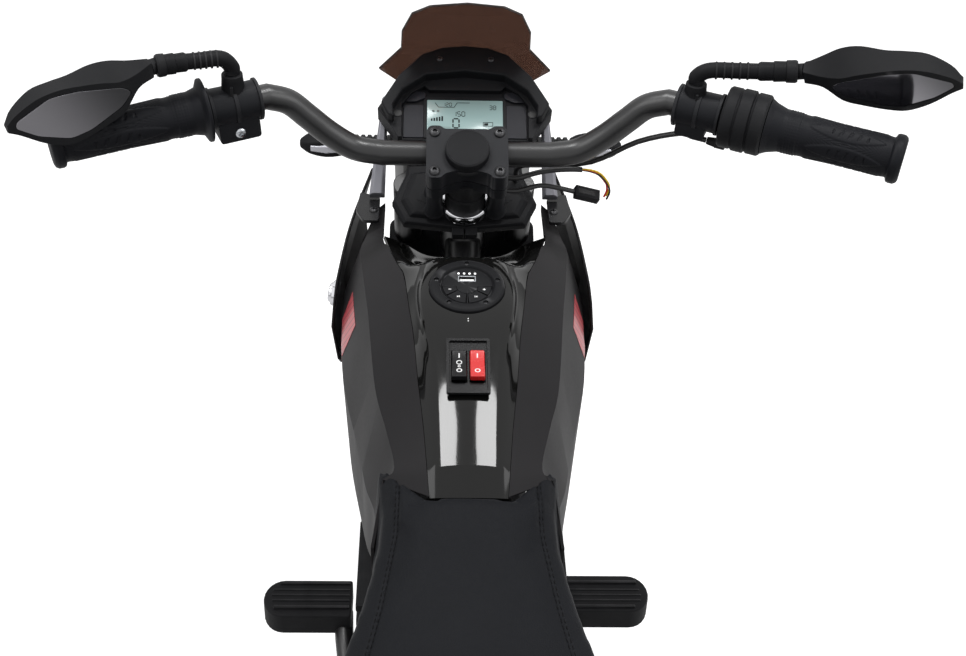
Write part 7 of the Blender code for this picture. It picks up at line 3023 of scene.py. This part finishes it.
    def clamp(self) -> None:
        """The clamp on the bar: barrel with flanges and webs, lower block, and the post."""
        word = self.side.word
        at = bar_frame(self.side.value, 0.0080)
        long = self.length
        bore = 0.0106
        barrel = [
            (0.0150, long), (0.0162, long - 0.0006), (0.0162, long - 0.0025), (0.0150, long - 0.0028),
            (0.0148, long * 0.5 + 0.0016), (0.0156, long * 0.5 + 0.0014), (0.0156, long * 0.5 - 0.0014),
            (0.0148, long * 0.5 - 0.0016), (0.0150, 0.0028), (0.0162, 0.0025), (0.0162, 0.0006),
            (0.0150, 0.0), (bore, 0.0), (bore, long)]
        self.wear(
            solid(f"{word}_clamp_barrel", turned(barrel, 80), at, smooth=26), CLAMP_BLACK, "steering",
            f"{word}_mirror_clamp")
        low, high = 0.004, long - self.short
        ear = solid(
            f"{word}_clamp_block",
            extruded(
                rounded(
                    [(-self.drop, low), (-0.0080, low), (-0.0080, high), (-self.drop, high)], 0.0030, 5),
                -0.0115, 0.0115),
            at @ Matrix.Rotation(math.pi / 2, 4, "X"))
        hole = solid("bar_hole", rod((0, 0, -0.02), (0, 0, 0.08), bore, steps=48), at)
        self.wear(softened(carved(ear, hole), 0.0013, 3, 30), CLAMP_BLACK, "steering")
        foot, top = Vector(self.post_foot), Vector(self.post_top)
        run = (top - foot).length
        post = frame_at(foot, (1, 0, 0), top - foot)
        profile = [
            (0.0, run), (0.0072, run), (0.0080, run - 0.0008), (0.0082, run - 0.0050), (0.0088, run * 0.5),
            (0.0104, 0.0), (0.0, 0.0)]
        self.wear(
            solid(f"{word}_mirror_post", turned(profile, 48), post, smooth=28), SATIN_BLACK, "steering")
        web = merged(
            *[block((-0.0011, r - 0.0060, 0.0), (0.0011, r, run * 0.7)) for r in (0.0102, -0.0042)])
        self.wear(solid(f"{word}_post_webs", web, post, bevel=0.0004), SATIN_BLACK, "steering")
        if self.side is Side.LEFT:
            seat = at @ Vector((-0.0195, -0.0115, long * 0.5))
            axis = (at.to_3x3() @ Vector((0, -1, 0)))
            back = 1 if axis.y < 0 else -1
            seat = at @ Vector((-0.0195, -0.0115 * back, long * 0.5))
            self.screws("left_clamp_screw", [(seat, axis * back)], 0.0040, 0.0014, ZINC, "steering")

    def build(self) -> None:
        """Make one mirror."""
        self.clamp()
        self.arm()
        self.head()


@dataclass
class Leads(SubAssembly):
    """The throttle's cable and the two loose leads at the clamp."""

    def lay(
            self, name: str, node: str, local: Sequence[Vector], radius: float, far_end: str,
            with_pieces: tuple = ()) -> Piece:
        """One cord along a route in the steering head's frame.

        Args:
            name: The piece's name.
            node: The CAD node that it stands for.
            local: The route.
            radius: The cord's radius.
            with_pieces: Pieces that belong to its end; not used.

        Returns:
            The cord.
        """
        obj = TUBE.run(name, polyline(local), SHEATH, HEAD, Radius=radius, Sides=16)
        self.wear(obj, SHEATH, "steering", node)
        return obj

    def build(self) -> None:
        """Lay the three leads."""
        back = HEAD.inverted()
        gland = back @ bar_frame(1, 0.0455)
        start = gland @ Vector((-0.0225, 0.0030, -0.0085 - 2 * GAP))
        away = (gland @ Vector((-0.0225, 0.0030, -0.020))) - start
        route = smooth_route(
            [
                start, start + away, back @ Vector((0.1640, 0.1600, 0.7060)),
                back @ Vector((0.1340, 0.1690, 0.6930)), back @ Vector((0.1000, 0.1780, 0.6690)),
                Vector((0.0660, 0.0130, -0.0350)), Vector((0.0450, 0.0160, -0.0420)),
                Vector((0.0422, 0.0132, -0.0530)), Vector((0.0420, 0.0130, -0.0594))],
            4)
        self.lay("throttle_lead", "throttle_cable", route, 0.0022, "object")
        exit_x = 0.0323
        points = [
            (exit_x, -0.0060, -0.0250), (0.0420, -0.0060, -0.0250), (0.0600, -0.0015, -0.0230),
            (0.0760, 0.0, -0.0215), (0.0935, 0.0002, -0.0215), (0.1060, -0.0015, -0.0240),
            (0.1140, -0.0060, -0.0310), (0.1160, -0.0090, -0.0370), (0.1140, -0.0120, -0.0430)]
        whole = smooth_route([Vector(p) for p in points], 4)
        self.lay("sheathed_lead_cord", "sheathed_lead", whole[:17], 0.0022, "bare")
        for index, (finish, shift) in enumerate((
                (WIRE_YELLOW, (0.0006, 0.0005, 0.0009)), (WIRE_RED, (-0.0007, 0.0, 0.0)),
                (SHEATH, (0.0005, -0.0006, -0.0007)))):
            tail = [
                p + Vector(shift) * min(1.0, 0.3 + 0.12 * k) * (1 + 0.6 * index * (k > 10))
                for k, p in enumerate(whole[15:])]
            self.tube(f"lead_wire_{index + 1}", tail, 0.0008, finish, "steering", place=HEAD, sides=10)
        plug = smooth_route(
            [
                Vector(p)
                for p in (
                    (exit_x, -0.0140, -0.0320), (0.0420, -0.0140, -0.0320), (0.0600, -0.0100, -0.0300),
                    (0.0750, -0.0105, -0.0325), (0.0880, -0.0115, -0.0360))],
            4)
        along = (plug[-1] - plug[-2]).normalized()
        at = frame_at(plug[-1] + along * (GAP + 0.0105), (0, 1, 0), along)
        shell_piece = solid(
            "connector_housing", block((-0.0050, -0.0035, -0.0105), (0.0050, 0.0035, 0.0105)), HEAD @ at,
            bevel=0.0007, segments=2)
        self.wear(shell_piece, SATIN_BLACK, "steering", "lead_connector")
        latch = merged(
            block((-0.0022, 0.0033, -0.0080), (0.0022, 0.0036, 0.0060)),
            block((-0.0046, -0.0030, 0.0096), (-0.0008, 0.0030, 0.0104)))
        latch_piece = solid("connector_latch", latch, HEAD @ at)
        self.wear(latch_piece, SHINY_BLACK, "steering")
        self.lay("plug_lead_cord", "plug_lead", plug, 0.0020, "connector", (shell_piece, latch_piece))


# Studio


@dataclass
class Studio:
    """Pale floor, white surroundings, soft lamps and the photograph's camera."""

    lens: float = 55.9
    camera_at: Point = (-0.040, -0.861, 1.277)
    pitch: float = 53.3
    yaw: float = -2.0
    roll: float = 1.75
    ambient: float = 0.35

    def world(self) -> None:
        """White to the camera, to glossy and to transmitted rays, and a soft fill otherwise."""
        world = bpy.data.worlds.new("studio_world")
        bpy.context.scene.world = world
        world.use_nodes = True
        tree = world.node_tree
        back = tree.nodes["Background"]
        path = tree.nodes.new("ShaderNodeLightPath")
        seen = math_node(
            tree, "MAXIMUM", path.outputs["Is Camera Ray"],
            math_node(tree, "MAXIMUM", path.outputs["Is Glossy Ray"], path.outputs["Is Transmission Ray"]))
        strength = math_node(
            tree, "ADD", math_node(tree, "MULTIPLY", seen, 1.0 - self.ambient), self.ambient)
        back.inputs["Color"].default_value = (1.0, 1.0, 1.0, 1.0)
        tree.links.new(strength, back.inputs["Strength"])

    def floor(self) -> None:
        """A pale floor that keeps the bike's shadow."""
        bm = bmesh.new()
        bmesh.ops.create_grid(bm, x_segments=1, y_segments=1, size=30.0)
        plane = raw_object("studio_floor", bm)
        material = bpy.data.materials.new("studio_floor_paint")
        material.use_nodes = True
        tree = material.node_tree
        shader = tree.nodes["Principled BSDF"]
        shader.inputs["Base Color"].default_value = (0.86, 0.86, 0.86, 1.0)
        shader.inputs["Roughness"].default_value = 0.9
        shader.inputs["Specular IOR Level"].default_value = 0.1
        path = tree.nodes.new("ShaderNodeLightPath")
        glow = math_node(tree, "MULTIPLY", path.outputs["Is Camera Ray"], 0.58)
        shader.inputs["Emission Color"].default_value = (1.0, 1.0, 1.0, 1.0)
        tree.links.new(glow, shader.inputs["Emission Strength"])
        plane.data.materials.append(material)

    def lamp(self, name: str, at: Point, target: Point, size: tuple[float, float], power: float) -> None:
        """A rectangular soft lamp.

        Args:
            name: The lamp's name.
            at: Where it stands.
            target: What it points at.
            size: Its width and height.
            power: Its power in watts.
        """
        data = bpy.data.lights.new(name, "AREA")
        data.shape = "RECTANGLE"
        data.size, data.size_y = size
        data.energy = power
        lamp = bpy.data.objects.new(name, data)
        bpy.context.scene.collection.objects.link(lamp)
        lamp.matrix_world = (
            Matrix.Translation(at)
            @ (Vector(target) - Vector(at)).to_track_quat("-Z", "Y").to_matrix().to_4x4())

    def camera(self) -> None:
        """The photograph's camera, above and behind the rider's seat."""
        data = bpy.data.cameras.new("photo_camera")
        data.lens = self.lens
        data.sensor_width = 36.0
        data.shift_x = 0.0145
        camera = bpy.data.objects.new("photo_camera", data)
        turn = (
            Matrix.Rotation(math.radians(self.yaw), 4, "Z")
            @ Matrix.Rotation(math.radians(self.pitch), 4, "X")
            @ Matrix.Rotation(math.radians(self.roll), 4, "Z"))
        camera.matrix_world = Matrix.Translation(self.camera_at) @ turn
        bpy.context.scene.collection.objects.link(camera)
        bpy.context.scene.camera = camera

    def build(self) -> None:
        """Set the stage."""
        self.world()
        self.floor()
        for side in (-1, 1):
            self.lamp(
                f"overhead_lamp_{side}", (side * 0.60, 0.33, 2.6), (side * 0.60, 0.33, 0.5), (0.70, 0.36),
                17.0)
        self.lamp("key_lamp", (-1.5, -0.6, 2.2), (0.0, 0.0, 0.5), (1.2, 1.2), 12.0)
        self.lamp("fill_lamp", (1.6, -0.6, 2.0), (0.0, 0.0, 0.5), (1.2, 1.2), 12.0)
        bpy.context.scene.view_settings.view_transform = "Standard"
        self.camera()


def main() -> None:
    """Build the whole visual model in order."""
    logging.basicConfig(level=logging.INFO, format="%(message)s")
    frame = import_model()
    nodes = frame["nodes"]
    bodies = {
        node: body for body, data in frame["record"]["behaviour"]["bodies"].items()
        for node in (data if isinstance(data, list) else data["nodes"])}
    mirrors = (
        Mirror(
            nodes, bodies, Side.LEFT, (-0.1775, 0.1540, 0.7330), (-0.1775, 0.1530, 0.7560),
            (-0.1790, 0.1500, 0.7700), (-0.2307, 0.1262, 0.7750), 33, 12, 0, 0.040, 0.0260, 0.004),
        Mirror(
            nodes, bodies, Side.RIGHT, (0.1720, 0.1565, 0.7340), (0.1720, 0.1560, 0.7520),
            (0.1735, 0.1550, 0.7630), (0.2465, 0.1370, 0.7700), 15, -17, 14, 0.036, 0.0195, 0.009),)
    groups = [
        group(nodes, bodies)
        for group in (
            Wheels, Chassis, Bodywork, SoundModule, SwitchPanel, Seat, Tail, Instruments, Nose, Steering,
            Leads)]
    for group in (*groups, *mirrors):
        log.info("building %s", type(group).__name__)
        group.build()
    Studio().build()


if __name__ == "__main__":
    main()
